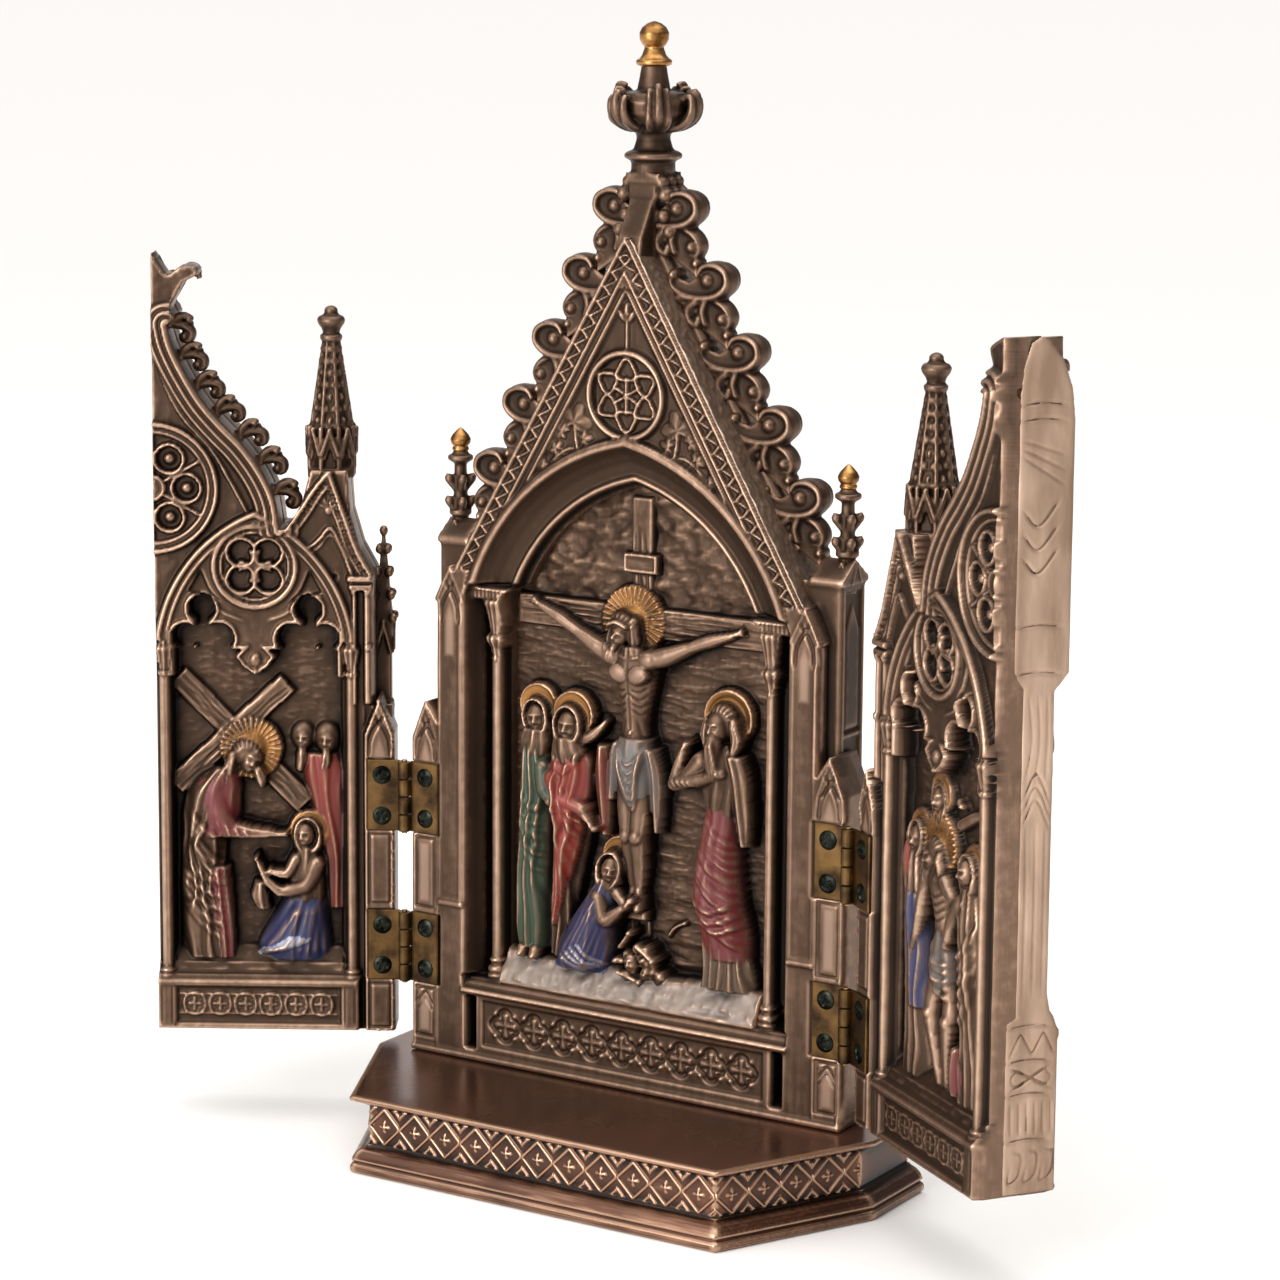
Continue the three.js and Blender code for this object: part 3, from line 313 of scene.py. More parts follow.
def addWear(mesh, hollowAndShade):
    # two measures on every point: how sharp it stands out, and how deep it lies in a hollow; a relief brings its
    # own second measure, which also darkens steep sides as painted shade
    count = len(mesh.vertices)
    co = np.empty(count * 3)
    mesh.vertices.foreach_get("co", co)
    co = co.reshape(-1, 3) / mm
    normal = np.empty(count * 3)
    mesh.vertices.foreach_get("normal", normal)
    normal = normal.reshape(-1, 3)
    edges = np.empty(len(mesh.edges) * 2, np.int64)
    mesh.edges.foreach_get("vertices", edges)
    a, b = edges[0::2], edges[1::2]
    degree = np.maximum(np.bincount(np.concatenate([a, b]), minlength=count), 1)
    p, gaps = co.copy(), {}
    sharp, broad = 3, 36  # rounds of smoothing that leave out small and large forms
    for step in range(1, broad + 1):
        total = np.stack([np.bincount(a, p[b, k], count) + np.bincount(b, p[a, k], count) for k in range(3)], -1)
        p = 0.25 * p + 0.75 * total / degree[:, None]
        if step in (sharp, broad):
            gaps[step] = ((co - p) * normal).sum(1)
    if hollowAndShade is None:
        hollowAndShade = 0.6 + gaps[broad] * 0.55
    for name, value in (("edgeWear", 0.5 + gaps[sharp] * 3.2), ("hollowAndShade", hollowAndShade)):
        attribute = mesh.attributes.new(name, "FLOAT", "POINT")
        attribute.data.foreach_set("value", np.clip(value, 0, 1).astype(np.float32))


def makeObject(name, points, faces, body, material, paint=None, smooth=True, hollowAndShade=None):
    mesh = bpy.data.meshes.new(name)
    mesh.from_pydata(np.asarray(points).tolist(), [], [tuple(f) for f in faces])
    mesh.validate()
    paint = np.zeros((len(mesh.vertices), 4)) if paint is None else paint
    attribute = mesh.attributes.new("paint", "FLOAT_COLOR", "POINT")
    attribute.data.foreach_set("color", np.asarray(paint, np.float32).ravel())
    if smooth:
        mesh.shade_smooth()
    mesh.update()
    addWear(mesh, hollowAndShade)
    mesh.materials.append(material)
    thing = newObject(name, mesh)
    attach(thing, body)
    return thing


# patina in the hollows, and painted shade on steep sides
patinaAndSideShade = {"wide": 3.2, "wideShare": 0.11, "near": 0.8, "nearShare": 0.22, "slope": 2.2, "flat": 0.66,
          "steepShadeShare": 0.3}


def castPiece(name, relief, gap, back, place, body, material, flip=False):
    # a closed casting: the relief in front, walls round its outline, and a plain back
    inside = gap < relief.step * 0.45
    cell = inside[:-1, :-1] & inside[1:, :-1] & inside[:-1, 1:] & inside[1:, 1:]
    padded = np.pad(cell, 1)
    corners = [padded[1:, 1:], padded[1:, :-1], padded[:-1, 1:], padded[:-1, :-1]]
    used = np.logical_or.reduce(corners)
    rim = used & ~np.logical_and.reduce(corners)
    gz, gx = np.gradient(gap, relief.step)
    size = np.maximum(gx * gx + gz * gz, 0.25)
    pull = np.where(rim, np.clip(gap, -1.5 * relief.step, 1.5 * relief.step) / size, 0)
    x, z = relief.x - pull * gx, relief.z - pull * gz
    index = -np.ones(gap.shape, int)
    index[used] = np.arange(used.sum())
    front = place(x[used], relief.depth[used], z[used])
    q = np.stack([index[:-1, :-1][cell], index[:-1, 1:][cell], index[1:, 1:][cell], index[1:, :-1][cell]], -1)
    sides = np.concatenate([q[:, [0, 1]], q[:, [1, 2]], q[:, [2, 3]], q[:, [3, 0]]])
    key = np.sort(sides, axis=1)
    _, first, counts = np.unique(key[:, 0] * (used.sum() + 1) + key[:, 1], return_index=True, return_counts=True)
    border = sides[first[counts == 1]]
    lip = np.unique(border)
    steps = 3  # rows of points down the walls
    rows = [front]
    level = {0: {v: v for v in lip}}
    base = total = len(front)
    lipX, lipZ, lipY = x[used][lip], z[used][lip], relief.depth[used][lip]
    for k in range(1, steps + 1):
        y = lipY + (back - lipY) * k / steps
        rows.append(place(lipX, y, lipZ))
        level[k] = {v: base + i for i, v in enumerate(lip)}
        base += len(lip)
    walls = [(level[k][b], level[k][a], level[k + 1][a], level[k + 1][b]) for a, b in border for k in range(steps)]
    faces = q.tolist() + [list(w) for w in walls]
    points = np.concatenate(rows)
    paint = np.zeros((len(points), 4))
    paint[:total] = relief.paint[used]
    # patina gathers where the surface lies behind what is round it; steep sides get painted shade
    d = relief.depth
    slopeZ, slopeX = np.gradient(d, relief.step)
    steep = np.clip(np.hypot(slopeX, slopeZ) / patinaAndSideShade["slope"] - 0.35, 0, 1)
    sunk = (d - blurred(d, patinaAndSideShade["wide"], relief.step)) * patinaAndSideShade["wideShare"]
    sunk = sunk + (d - blurred(d, patinaAndSideShade["near"], relief.step)) * patinaAndSideShade["nearShare"]
    hollowAndShade = np.full(len(points), 0.5)
    hollowAndShade[:total] = np.clip(patinaAndSideShade["flat"] - sunk - patinaAndSideShade["steepShadeShare"] * steep, 0, 1)[used]
    mesh = bpy.data.meshes.new("backing")
    mesh.from_pydata(points.tolist(), [], faces)
    bm = bmesh.new()
    bm.from_mesh(mesh)
    bm.verts.ensure_lookup_table()
    openEdges = [e for e in bm.edges if e.is_boundary]
    bmesh.ops.triangle_fill(bm, edges=openEdges, use_beauty=False, use_dissolve=False)
    bm.normal_update()
    bm.verts.index_update()
    faces = [[v.index for v in f.verts] for f in bm.faces]
    bm.free()
    bpy.data.meshes.remove(mesh)
    # the lid's faces turn to point away from the front
    lid = len(q) + len(walls)
    zero = np.zeros(1)
    seen = np.cross(place(zero + 1, zero, zero) - place(zero, zero, zero), [[0, 0, 1]])[0]
    fixed = []
    for f in faces[lid:]:
        a, b, c = (points[v] for v in f[:3])
        away = np.dot(np.cross(b - a, c - a), seen) < 0
        fixed.append(f[::-1] if away == flip else f)
    front = [f[::-1] for f in faces[:lid]] if flip else faces[:lid]
    return makeObject(name, points, front + fixed, body, material, paint, hollowAndShade=hollowAndShade)


def addNode(tree, kind, inputs=None, **settings):
    node = tree.nodes.new(kind)
    for key, value in settings.items():
        setattr(node, key, value)
    for key, value in (inputs or {}).items():
        if isinstance(value, bpy.types.NodeSocket):
            tree.links.new(value, node.inputs[key])
        else:
            node.inputs[key].default_value = value
    return node


def newFinish(name):
    material = bpy.data.materials.new(name)
    material.use_nodes = True
    material.node_tree.nodes.clear()
    return material, material.node_tree


def mix(tree, factor, first, second):
    asColour = [toLinear(c) + (1,) if isinstance(c, str) else c for c in (first, second)]
    node = addNode(tree, "ShaderNodeMix", {0: factor, 6: asColour[0], 7: asColour[1]}, data_type="RGBA")
    return node.outputs[2]


def ramp(tree, value, low, high, start=0.0, end=1.0):
    inputs = {"Value": value, "From Min": low, "From Max": high, "To Min": start, "To Max": end}
    return addNode(tree, "ShaderNodeMapRange", inputs).outputs[0]


def add(tree, first, second, scale):
    inputs = {0: second, 1: scale, 2: first}
    return addNode(tree, "ShaderNodeMath", inputs, operation="MULTIPLY_ADD").outputs[0]


def grain(tree, sizeMm, stretch=(1, 1, 1), detail=3.0):  # noise with lumps about sizeMm across
    place = addNode(tree, "ShaderNodeTexCoord").outputs["Object"]
    scale = [1000 / sizeMm / s for s in stretch]
    moved = addNode(tree, "ShaderNodeMapping", {"Vector": place, "Scale": scale}).outputs[0]
    return addNode(tree, "ShaderNodeTexNoise", {"Vector": moved, "Scale": 1.0, "Detail": detail}).outputs[0]


def surface(material, tree, colour, metallic, roughness, bump=None, bumpMm=0.05, coat=0.0):
    inputs = {"Base Color": colour, "Metallic": metallic, "Roughness": roughness, "Coat Weight": coat,
              "Coat Roughness": 0.25}
    if bump is not None:
        raised = addNode(tree, "ShaderNodeBump", {"Height": bump, "Distance": bumpMm * mm, "Strength": 1.0})
        inputs["Normal"] = raised.outputs[0]
    shader = addNode(tree, "ShaderNodeBsdfPrincipled", inputs)
    addNode(tree, "ShaderNodeOutputMaterial", {"Surface": shader.outputs[0]})
    return material


castTones = {"deep": "#150e0a", "body": "#473528", "rubbed": "#8c705d", "bright": "#bd9e86", "brushMm": 0.5,
             "lumpMm": 16.0, "patchMm": 3.0}


def patinatedBronze(name, tones):
    # cold-cast bronze: near black where patina fills the hollows and as painted shade on steep sides, warm brown on
    # the flats, copper where hands have rubbed it and as painted sheen
    material, tree = newFinish(name)
    lump = grain(tree, tones["lumpMm"])
    fine = grain(tree, tones["brushMm"], (1, 1, 9))
    edge = addNode(tree, "ShaderNodeAttribute", attribute_name="edgeWear").outputs["Fac"]
    hollowAndShade = addNode(tree, "ShaderNodeAttribute", attribute_name="hollowAndShade").outputs["Fac"]
    patch = grain(tree, tones["patchMm"])
    wear = add(tree, add(tree, add(tree, add(tree, edge, fine, 0.14), lump, 0.16), patch, 0.3), hollowAndShade, 0.5)
    rub = ramp(tree, wear, 1.12, 1.78)
    shade = ramp(tree, add(tree, hollowAndShade, lump, 0.2), 0.3, 0.86)
    colour = mix(tree, shade, tones["deep"], tones["body"])
    colour = mix(tree, rub, colour, tones["rubbed"])
    colour = mix(tree, ramp(tree, wear, 1.56, 2.0), colour, tones["bright"])
    paint = addNode(tree, "ShaderNodeAttribute", attribute_name="paint")
    gilt = ramp(tree, paint.outputs["Alpha"], 0.93, 0.99)
    cover = ramp(tree, wear, 1.15, 1.75, 0.96, 0.2)
    amount = addNode(tree, "ShaderNodeMath", {0: paint.outputs["Alpha"], 1: cover}, operation="MULTIPLY").outputs[0]
    tint = mix(tree, ramp(tree, shade, 0.1, 1, 0.9, 0.22), paint.outputs["Color"], tones["deep"])
    colour = mix(tree, amount, colour, tint)
    metal = add(tree, ramp(tree, amount, 0.1, 0.8, 0.85, 0.15), gilt, 0.7)
    rough = ramp(tree, add(tree, rub, lump, 0.2), 0, 1.2, 0.5, 0.34)
    return surface(material, tree, colour, metal, rough, bump=fine, bumpMm=0.03)


def polishedBronze(name):  # the plinth: the same metal under a smooth brown lacquer
    material, tree = newFinish(name)
    cloud = grain(tree, 30.0, detail=4.0)
    fine = grain(tree, 0.7, (14, 1, 1))
    edge = addNode(tree, "ShaderNodeAttribute", attribute_name="edgeWear").outputs["Fac"]
    hollowAndShade = addNode(tree, "ShaderNodeAttribute", attribute_name="hollowAndShade").outputs["Fac"]
    wear = add(tree, add(tree, edge, fine, 0.25), cloud, 0.2)
    base = mix(tree, ramp(tree, cloud, 0.3, 0.7), "#4b2f22", "#6b4532")
    base = mix(tree, ramp(tree, hollowAndShade, 0.5, 0.28), base, "#1c110b")
    base = mix(tree, ramp(tree, wear, 0.78, 0.98), base, "#ab886e")
    return surface(material, tree, base, 0.8, ramp(tree, cloud, 0.3, 0.7, 0.2, 0.34), coat=0.25)


def plainMetal(name, dark, light, sizeMm, rough, metallic=1.0, stretch=(1, 1, 1)):
    material, tree = newFinish(name)
    stain = grain(tree, sizeMm, stretch, 5.0)
    colour = mix(tree, ramp(tree, stain, 0.36, 0.66), dark, light)
    roughness = ramp(tree, stain, 0.3, 0.7, rough + 0.12, rough - 0.06)
    return surface(material, tree, colour, metallic, roughness, bump=stain, bumpMm=0.02)


castFinish = patinatedBronze("patinated cast bronze", castTones)
# the roof slopes are painted pale as a painted highlight on their upturned faces
roofHighlightTones = {"deep": "#4e3b2d", "body": "#9a8371", "rubbed": "#c4ad98", "bright": "#e2ceb8", "brushMm": 0.5,
              "lumpMm": 9.0, "patchMm": 2.0}
roofHighlightFinish = patinatedBronze("rough-cast bronze, rubbed pale", roofHighlightTones)
plinthFinish = polishedBronze("lacquered brown bronze")
cutFinish = plainMetal("bright sawn edge, pale copper", "#8f7560", "#bb9f89", 7.0, 0.5, 0.55, (1, 1, 4))
giltFinish = plainMetal("rubbed gilding", "#664322", "#bd8d55", 4.0, 0.33)
brassFinish = plainMetal("aged brass sheet", "#30241a", "#6a5030", 6.0, 0.38)
bareBrassFinish = plainMetal("handled brass knuckle", "#5a452a", "#b08d58", 3.0, 0.28)
screwFinish = plainMetal("blackened steel", "#0c0d0b", "#2c2f28", 2.5, 0.34)
print("finishes made")


# copper is painted sheen on flats and painted highlight on bare skin
paints = {"green": "#0d3a22", "red": "#861a08", "blue": "#11275a", "crimson": "#6a0d17", "pale": "#5f5a57",
          "gilt": "#a06f3c", "stone": "#a09084", "linen": "#7a6452", "copper": "#b08d75"}


def turnedForm(relief, cx, cy, rows, flutes=0, bite=0.0):
    # a round form standing on the relief, from rows of height and radius
    z0, z1 = rows[0][0], rows[-1][0]
    reach = max(r for _, r in rows)
    part = relief.window(cx - reach, cx + reach, z0, z1)
    x, z = relief.x[part] - cx, relief.z[part]
    radius = profile(z, rows)
    if flutes:
        angle = np.arcsin(np.clip(x / radius, -1, 1))
        radius = radius - bite * (0.5 - 0.5 * np.cos(flutes * angle))
    q = radius ** 2 - x ** 2
    on = (q > 0) & (z >= z0) & (z <= z1)
    relief.put(np.where(on, cy - np.sqrt(np.maximum(q, 0)), far), part=part)


def robe(relief, rows, folds, rise, deep, lean=0.0, seed=1, colour=None, amount=0.9, wave=0.5):
    # a draped body: rows of height, middle, half width and front, with pleats that sway as they fall
    rows = sorted(rows)
    z0, z1 = rows[0][0], rows[-1][0]
    x0, x1 = min(r[1] - r[2] for r in rows), max(r[1] + r[2] for r in rows)
    part = relief.window(x0 - 1, x1 + 1, z0, z1)
    x, z = relief.x[part], relief.z[part]
    half = np.maximum(along(z, rows, 2), 0.2)
    across = (x - along(z, rows, 1)) / half
    down = (z1 - z) / (z1 - z0)
    sway = noise(x, z * 0.45, 5.0, seed) * wave + lean * down
    pleat = np.abs(np.sin((across + sway * 0.35) * folds * math.pi / 2))
    ridge = 1 - pleat ** 1.25
    fine = 1 - np.abs(np.sin((across + sway * 0.5) * folds * math.pi * 1.1 + 1))
    q = 1 - across ** 2
    body = along(z, rows, 3) + rise * 1.35 * roundOff(q)
    body = body - deep * (ridge - 0.45) * ease(0, 0.25, q) - deep * 0.25 * fine * ease(0, 0.3, q)
    on = (q > 0) & (z >= z0) & (z <= z1)
    relief.put(np.where(on, body, far), colour, amount, part)


def sweep(relief, starts, ends, count, sag, width, height, colour=None, amount=0.9, seed=3):
    # a fan of folds, from one given line to another, each hanging a little
    random = np.random.RandomState(seed)
    for k in range(count):
        t = (k + 0.5) / count
        a = np.array(starts[0]) * (1 - t) + np.array(starts[1]) * t
        b = np.array(ends[0]) * (1 - t) + np.array(ends[1]) * t
        middle = (a + b) / 2 + np.array([0, -sag]) * random.uniform(0.6, 1.4)
        relief.stroke([a, middle, b], width * random.uniform(1.2, 1.9), height * random.uniform(0.8, 1.5),
                      colour=colour, amount=amount)


def halo(relief, cx, cz, radius, front, rays=0):
    part = relief.window(cx - radius, cx + radius, cz - radius, cz + radius)
    x, z = relief.x[part] - cx, relief.z[part] - cz
    r = np.hypot(x, z)
    level = front + profile(r / radius, [(0, 0.5), (0.8, 0.35), (0.87, 0), (0.96, 0), (1, 0.5)])
    if rays:
        beams = np.abs(np.sin(np.arctan2(z, x) * rays / 2))
        level = front + 1.1 * ease(0.35, 0.9, beams) * ease(0.3, 0.5, r / radius)
    relief.put(np.where(r < radius, level, far), paints["gilt"], 1.0, part)


def face(relief, x, z, r, front, tilt, look):
    # an egg with a calm brow, eyes, nose and mouth; look turns the features to one side
    part = relief.window(x - 1.4 * r, x + 1.4 * r, z - 1.4 * r, z + 1.4 * r)
    dx, dz = relief.x[part] - x, relief.z[part] - z
    c, s = math.cos(tilt), math.sin(tilt)
    a, b = (dx * c + dz * s) / r, (dz * c - dx * s) / r
    q = 1 - (a / 0.76) ** 2 - (b / 1.0) ** 2
    skin = front + r * 0.95 * roundOff(q)

    def spot(ca, cb, wa, wb, height):
        return -height * r * np.exp(-((a - ca) / wa) ** 2 - ((b - cb) / wb) ** 2)
    for side in (-1, 1):
        eye, cheek = look + side * 0.3, look * 0.8 + side * 0.36
        skin += spot(eye, 0.1, 0.17, 0.12, -0.2) + spot(eye, 0.09, 0.1, 0.06, 0.15)
        skin += spot(eye, 0.27, 0.22, 0.07, 0.1) + spot(cheek, -0.25, 0.16, 0.16, 0.06)
    slope = np.clip((0.2 - b) / 0.42, 0, 1)
    nose = np.exp(-((a - look * 1.15) / 0.11) ** 2) * slope * (b > -0.24) * (b < 0.22)
    skin -= 0.3 * r * nose
    skin += spot(look, -0.42, 0.24, 0.05, -0.12) + spot(look, -0.35, 0.18, 0.05, 0.06)
    skin += spot(look, -0.52, 0.16, 0.06, 0.09) + spot(look, -0.8, 0.2, 0.14, 0.1)
    relief.put(np.where(q > 0, skin, far), part=part)


def veil(relief, x, z, r, front, tilt):
    # a hood that frames the face closely, peaks a little over the brow and runs down on to the shoulders
    part = relief.window(x - 1.7 * r, x + 1.7 * r, z - 2.2 * r, z + 1.6 * r)
    dx, dz = relief.x[part] - x, relief.z[part] - z
    c, s = math.cos(tilt), math.sin(tilt)
    a, b = (dx * c + dz * s) / r, (dz * c - dx * s) / r
    below = np.clip(-b - 0.2, 0, 2)
    inner = np.hypot(a / (0.7 - 0.12 * below), (b + 0.02) / 0.94)
    outer = np.hypot(a / (1.0 + 0.26 * below), b / np.where(b > 0, 1.2, 1.75))
    t = np.clip((inner - 1) / np.maximum(inner - 1 + np.maximum(1 - outer, 0) * 1.6, 1e-6), 0, 1)
    roll = front + 0.28 * r - 0.3 * r * np.sin(np.clip(t * 1.2, 0, 1) * math.pi / 2) + 1.0 * r * t ** 2.6
    swing = a + 0.25 * np.sin(b * 2)
    roll -= 0.1 * r * np.abs(np.sin(np.arctan2(b, swing) * 3 + t * 4)) * ease(0, 0.4, t)
    relief.put(np.where((inner > 1) & (outer < 1), roll, far), part=part)


def locks(relief, points, width, front, count, spread, seed, height=0.35):
    # hair or beard: a soft mass with strands along it
    relief.limb(points, [width * 0.8, width, width * 0.55], [front] * 3)
    random = np.random.RandomState(seed)
    for k in range(count):
        off = (k / max(count - 1, 1) - 0.5) * 2 * spread
        bend = random.uniform(-0.4, 0.4)
        moved = [(px + off * (0.6 + 0.4 * i) + bend, pz) for i, (px, pz) in enumerate(points)]
        relief.stroke(moved, 0.45, height)


def strands(relief, inner, outer, first, step, count, height=0.4):
    # short strokes that fan out between two ovals, each given by its middle and its reach across and up
    for k in range(count):
        a = first + k * step
        ends = [(x + across * math.cos(a), z + up * math.sin(a)) for x, z, across, up in (inner, outer)]
        relief.stroke(ends, 0.5, height)


def rubbed(relief, gap, amount=0.6):  # a flat given a painted copper sheen, strongest in its middle
    on = gap < 0
    relief.paint[on] = (*toLinear(paints["copper"]), 0)
    relief.paint[on, 3] = amount * ease(0, 1.6, -gap[on])


def hand(relief, x, z, turn, r, front):
    relief.dome(x, z, r, r * 0.75, front, r * 0.8, turn)
    for finger in (-1.5, -0.5, 0.5, 1.5):
        a = turn + finger * 0.3
        relief.limb([around(x, z, r * 0.6, a), around(x, z, r * 2.0, a)], [r * 0.34, r * 0.24],
                    [front + r * 0.2, front + r * 0.45])


def leaf(relief, x, z, size, turn, front):
    # a leaf of five lobes that fans out from its stalk
    part = relief.window(x - size, x + size, z - size, z + size)
    dx, dz = relief.x[part] - x, relief.z[part] - z
    r = np.hypot(dx, dz) / size
    a = np.arctan2(dz, dx) - turn
    a = np.arctan2(np.sin(a), np.cos(a))
    lobe = np.abs(np.cos(a * 5 / 2))
    edge = (0.62 + 0.38 * lobe) * np.clip(1.25 - (np.abs(a) / 2.7) ** 3, 0, 1)
    level = front + 0.7 * r ** 2 + 0.3 * (1 - lobe)
    relief.put(np.where(r < edge, level - 0.25 * np.clip((edge - r) * 6, 0, 1) * (1 - r), far), part=part)


def grainStrokes(relief, a, b, half, seed, height=0.22):
    # long plank grain between two ends
    random = np.random.RandomState(seed)
    a, b = np.array(a, float), np.array(b, float)
    way = (b - a) / np.linalg.norm(b - a)
    side = np.array([-way[1], way[0]])
    length = np.linalg.norm(b - a)
    for _ in range(int(length * half * 0.32)):
        start = random.uniform(0, 0.85) * length
        run = random.uniform(5, 14)
        off = random.uniform(-0.9, 0.9) * half
        p = a + way * start + side * off
        q = a + way * min(start + run, length * 0.99) + side * (off + random.uniform(-0.5, 0.5))
        relief.stroke([p, (p + q) / 2 + side * random.uniform(-0.3, 0.3), q], 0.4, -height)


def beam(relief, a, b, half, front, seed):
    a, b = np.array(a, float), np.array(b, float)
    way = (b - a) / np.linalg.norm(b - a)
    side = np.array([-way[1], way[0]]) * half
    relief.plate(polygonGap(relief.x, relief.z, [a + side, a - side, b - side, b + side]), front, 0.7)
    grainStrokes(relief, a, b, half, seed)


panel = {"half": 51.3, "foot": 20.7, "eaves": 149.5, "apex": 238.0, "back": 25.0, "front": 0.2, "rim": 0.865,
         "hollowBack": 13.2, "step": 0.4}
mainArch = {"across": 12.1, "centre": 126.3, "radius": 60.9, "spring": 146.0, "jamb": 48.3}
innerArch = {"across": 12.1, "centre": 126.3, "radius": 49.9, "spring": 146.0, "jamb": 38.5}
buttressSizes = {"tall": (48.8, 56.0, 62.0, 141.6, 151.0), "low": (56.0, 64.0, 20.7, 104.5, 114.6)}
jambColumns = {"out": 40.7, "back": 5.4}
hingeFeet, hingeTall = (38.9, 79.1), 18.8
handMark = 0.05  # the unevenness that the sculptor's hand leaves, mm


def gabledHead(relief, inside, outside, foot, shoulder, apex, front, overhang=0.0):
    # a buttress face with a steep head: fine raised edges, a lozenge and a pointed arch sunk into it
    x, z = np.abs(relief.x), relief.z
    middle, width = (inside + outside) / 2, (outside - inside) / 2
    outline = [(inside, foot), (outside, foot), (outside, shoulder - overhang), (outside + overhang, shoulder),
               (middle, apex), (inside - overhang, shoulder), (inside, shoulder - overhang)]
    gap = polygonGap(x, z, outline)
    relief.put(np.where(gap < 0, front + profile(-gap, [(0, 0.35), (0.25, 0), (0.7, 0), (0.95, 0.45)]), far))
    tall = apex - shoulder
    for side in (-1, 1):
        for sign in (-1, 1):
            arc = [(side * (middle + sign * width * 0.78), shoulder - tall * 0.62),
                   (side * (middle + sign * width * 0.62), shoulder - tall * 0.1),
                   (side * middle, shoulder + tall * 0.34), (side * (middle - sign * width * 0.3),
                                                             shoulder + tall * 0.5)]
            relief.stroke(arc, 0.62, -0.75)
        drop = [(side * middle, shoulder + tall * 0.36), (side * (middle + width * 0.28), shoulder + tall * 0.58),
                (side * middle, shoulder + tall * 0.84), (side * (middle - width * 0.28), shoulder + tall * 0.58)]
        relief.dome(side * middle, shoulder + tall * 0.58, width * 0.2, tall * 0.2, front + 0.1, 0.3)
        arch = polygonGap(side * relief.x, z, [(middle - width * 0.55, foot), (middle + width * 0.55, foot),
                                               (middle + width * 0.55, shoulder - tall * 0.45),
                                               (middle, shoulder + tall * 0.2), (middle - width * 0.55,
                                                                                 shoulder - tall * 0.45)])
        # painted copper sheen on the sunk arch and on the lozenge
        rubbed(relief, np.maximum(arch, shoulder - tall * 1.6 - z))
        rubbed(relief, np.hypot((side * relief.x - middle) / width, (z - shoulder - tall * 0.58) / tall) - 0.2)
        relief.line([drop[1], drop[2]], 0.3, front, False)
        relief.line([drop[3], drop[2]], 0.3, front, False)


def strip(relief, x0, x1, z0, z1, front):  # a flat band, the same on both sides of the middle
    relief.plate(boxGap(np.abs(relief.x), relief.z, x0, x1, z0, z1), front, 0.35)


def hingePockets(relief, x0, x1):
    for low in hingeFeet:
        relief.fill(boxGap(np.abs(relief.x), relief.z, x0, x1, low - 0.1, low + hingeTall + 0.1) < 0, 0.95)


def basePanelRow(relief, level):
    # nine linked crosses, each in a sunk lozenge with rounded sides
    pitch, middle = 8.87, 31.0
    near = np.round(relief.x / pitch).clip(-4, 4) * pitch
    dx, dz = np.abs(relief.x - near), np.abs(relief.z - middle)
    lozenge = dx + dz - 3.9
    lobes = np.minimum(np.hypot(dx - 2.3, dz), np.hypot(dx, dz - 2.3)) - 1.75
    shape = np.minimum(lozenge, lobes)
    inside = boxGap(relief.x, relief.z, -42, 42, 25, 37) < 0
    groove = np.exp(-((shape - 0.25) / 0.32) ** 2) * 0.85
    cross = np.minimum(np.maximum(dx - 0.45 - dz * 0.12, dz - 3.2), np.maximum(dz - 0.45 - dx * 0.12, dx - 3.2))
    moat = np.exp(-((cross - 0.3) / 0.3) ** 2) * 0.6 * (shape < 0)
    tie = np.abs(np.abs(np.abs(relief.x - near - pitch / 2 * np.sign(relief.x - near)) - dz) - 0.1)
    link = np.exp(-(tie / 0.35) ** 2) * 0.5 * (shape > 0.5) * (dz < 2.6) * (np.abs(relief.x) < 40.5)
    knob = np.exp(-((dx - 2.9) ** 2 + (dz - 2.9) ** 2) / 0.35) * 0.5
    relief.fill(inside, level + groove + moat + link - knob)


def gableFieldOrnament(relief, level):
    # a ring with six trefoils, and sprays of leaves in the corners below it
    centre = (0.0, 198.2)
    x, z = relief.x - centre[0], relief.z - centre[1]
    r = np.hypot(x, z)
    disc = level + profile(r, [(0, 0.2), (9.6, 0.2), (9.9, -1.2), (10.2, -2.0), (11.2, -2.0), (11.6, -0.4),
                               (12, 0)])
    relief.fill(r < 11.9, disc)
    for a in spokes(6, math.pi / 6):
        fx, fz = x - 6.2 * math.cos(a), z - 6.2 * math.sin(a)
        fr, fa = np.hypot(fx, fz), np.arctan2(fz, fx) - a
        ring = np.abs(fr - 2.55 - 0.36 * np.cos(3 * fa))
        relief.put(np.where(ring < 0.5, level - 1.3 + ring ** 2 * 1.6, far))
        relief.line([around(*centre, out, a) for out in (0.2, 4.4)], 0.4, level - 1.2, False)
    for side in (-1, 1):
        relief.line([(side * 8, 180.6), (side * 14, 183.5), (side * 18, 183.2), (side * 22.5, 179.5),
                     (side * 25.5, 175.6)], 0.55, level - 0.8)
        for cx, cz, size, turn in ((15, 190.6, 5.0, 1.9), (12.5, 186.4, 2.8, 2.9), (18.6, 188, 3.3, 0.6),
                                   (20.6, 183.4, 2.6, 0.9), (24.4, 178.6, 2.4, 0.2), (17.4, 181.4, 2.2, -1.9),
                                   (11.4, 181.2, 1.9, -2.2)):
            way = turn if side > 0 else math.pi - turn
            leaf(relief, side * cx, cz, size, way, level - 1.1)
        relief.line([(side * 14.2, 184), (side * 14.8, 187), (side * 15, 190)], 0.5, level - 1.3)
    relief.line([(0, 210), (0, 214), (0, 218)], 0.45, level - 1.0)
    for dx, dz, rx, rz, turn in ((0, 219.5, 1.0, 2.2, 0), (-1.5, 218.2, 0.8, 1.9, 0.5),
                                 (1.5, 218.2, 0.8, 1.9, -0.5)):
        relief.dome(dx, dz, rx, rz, level - 1.3, 0.9, turn)


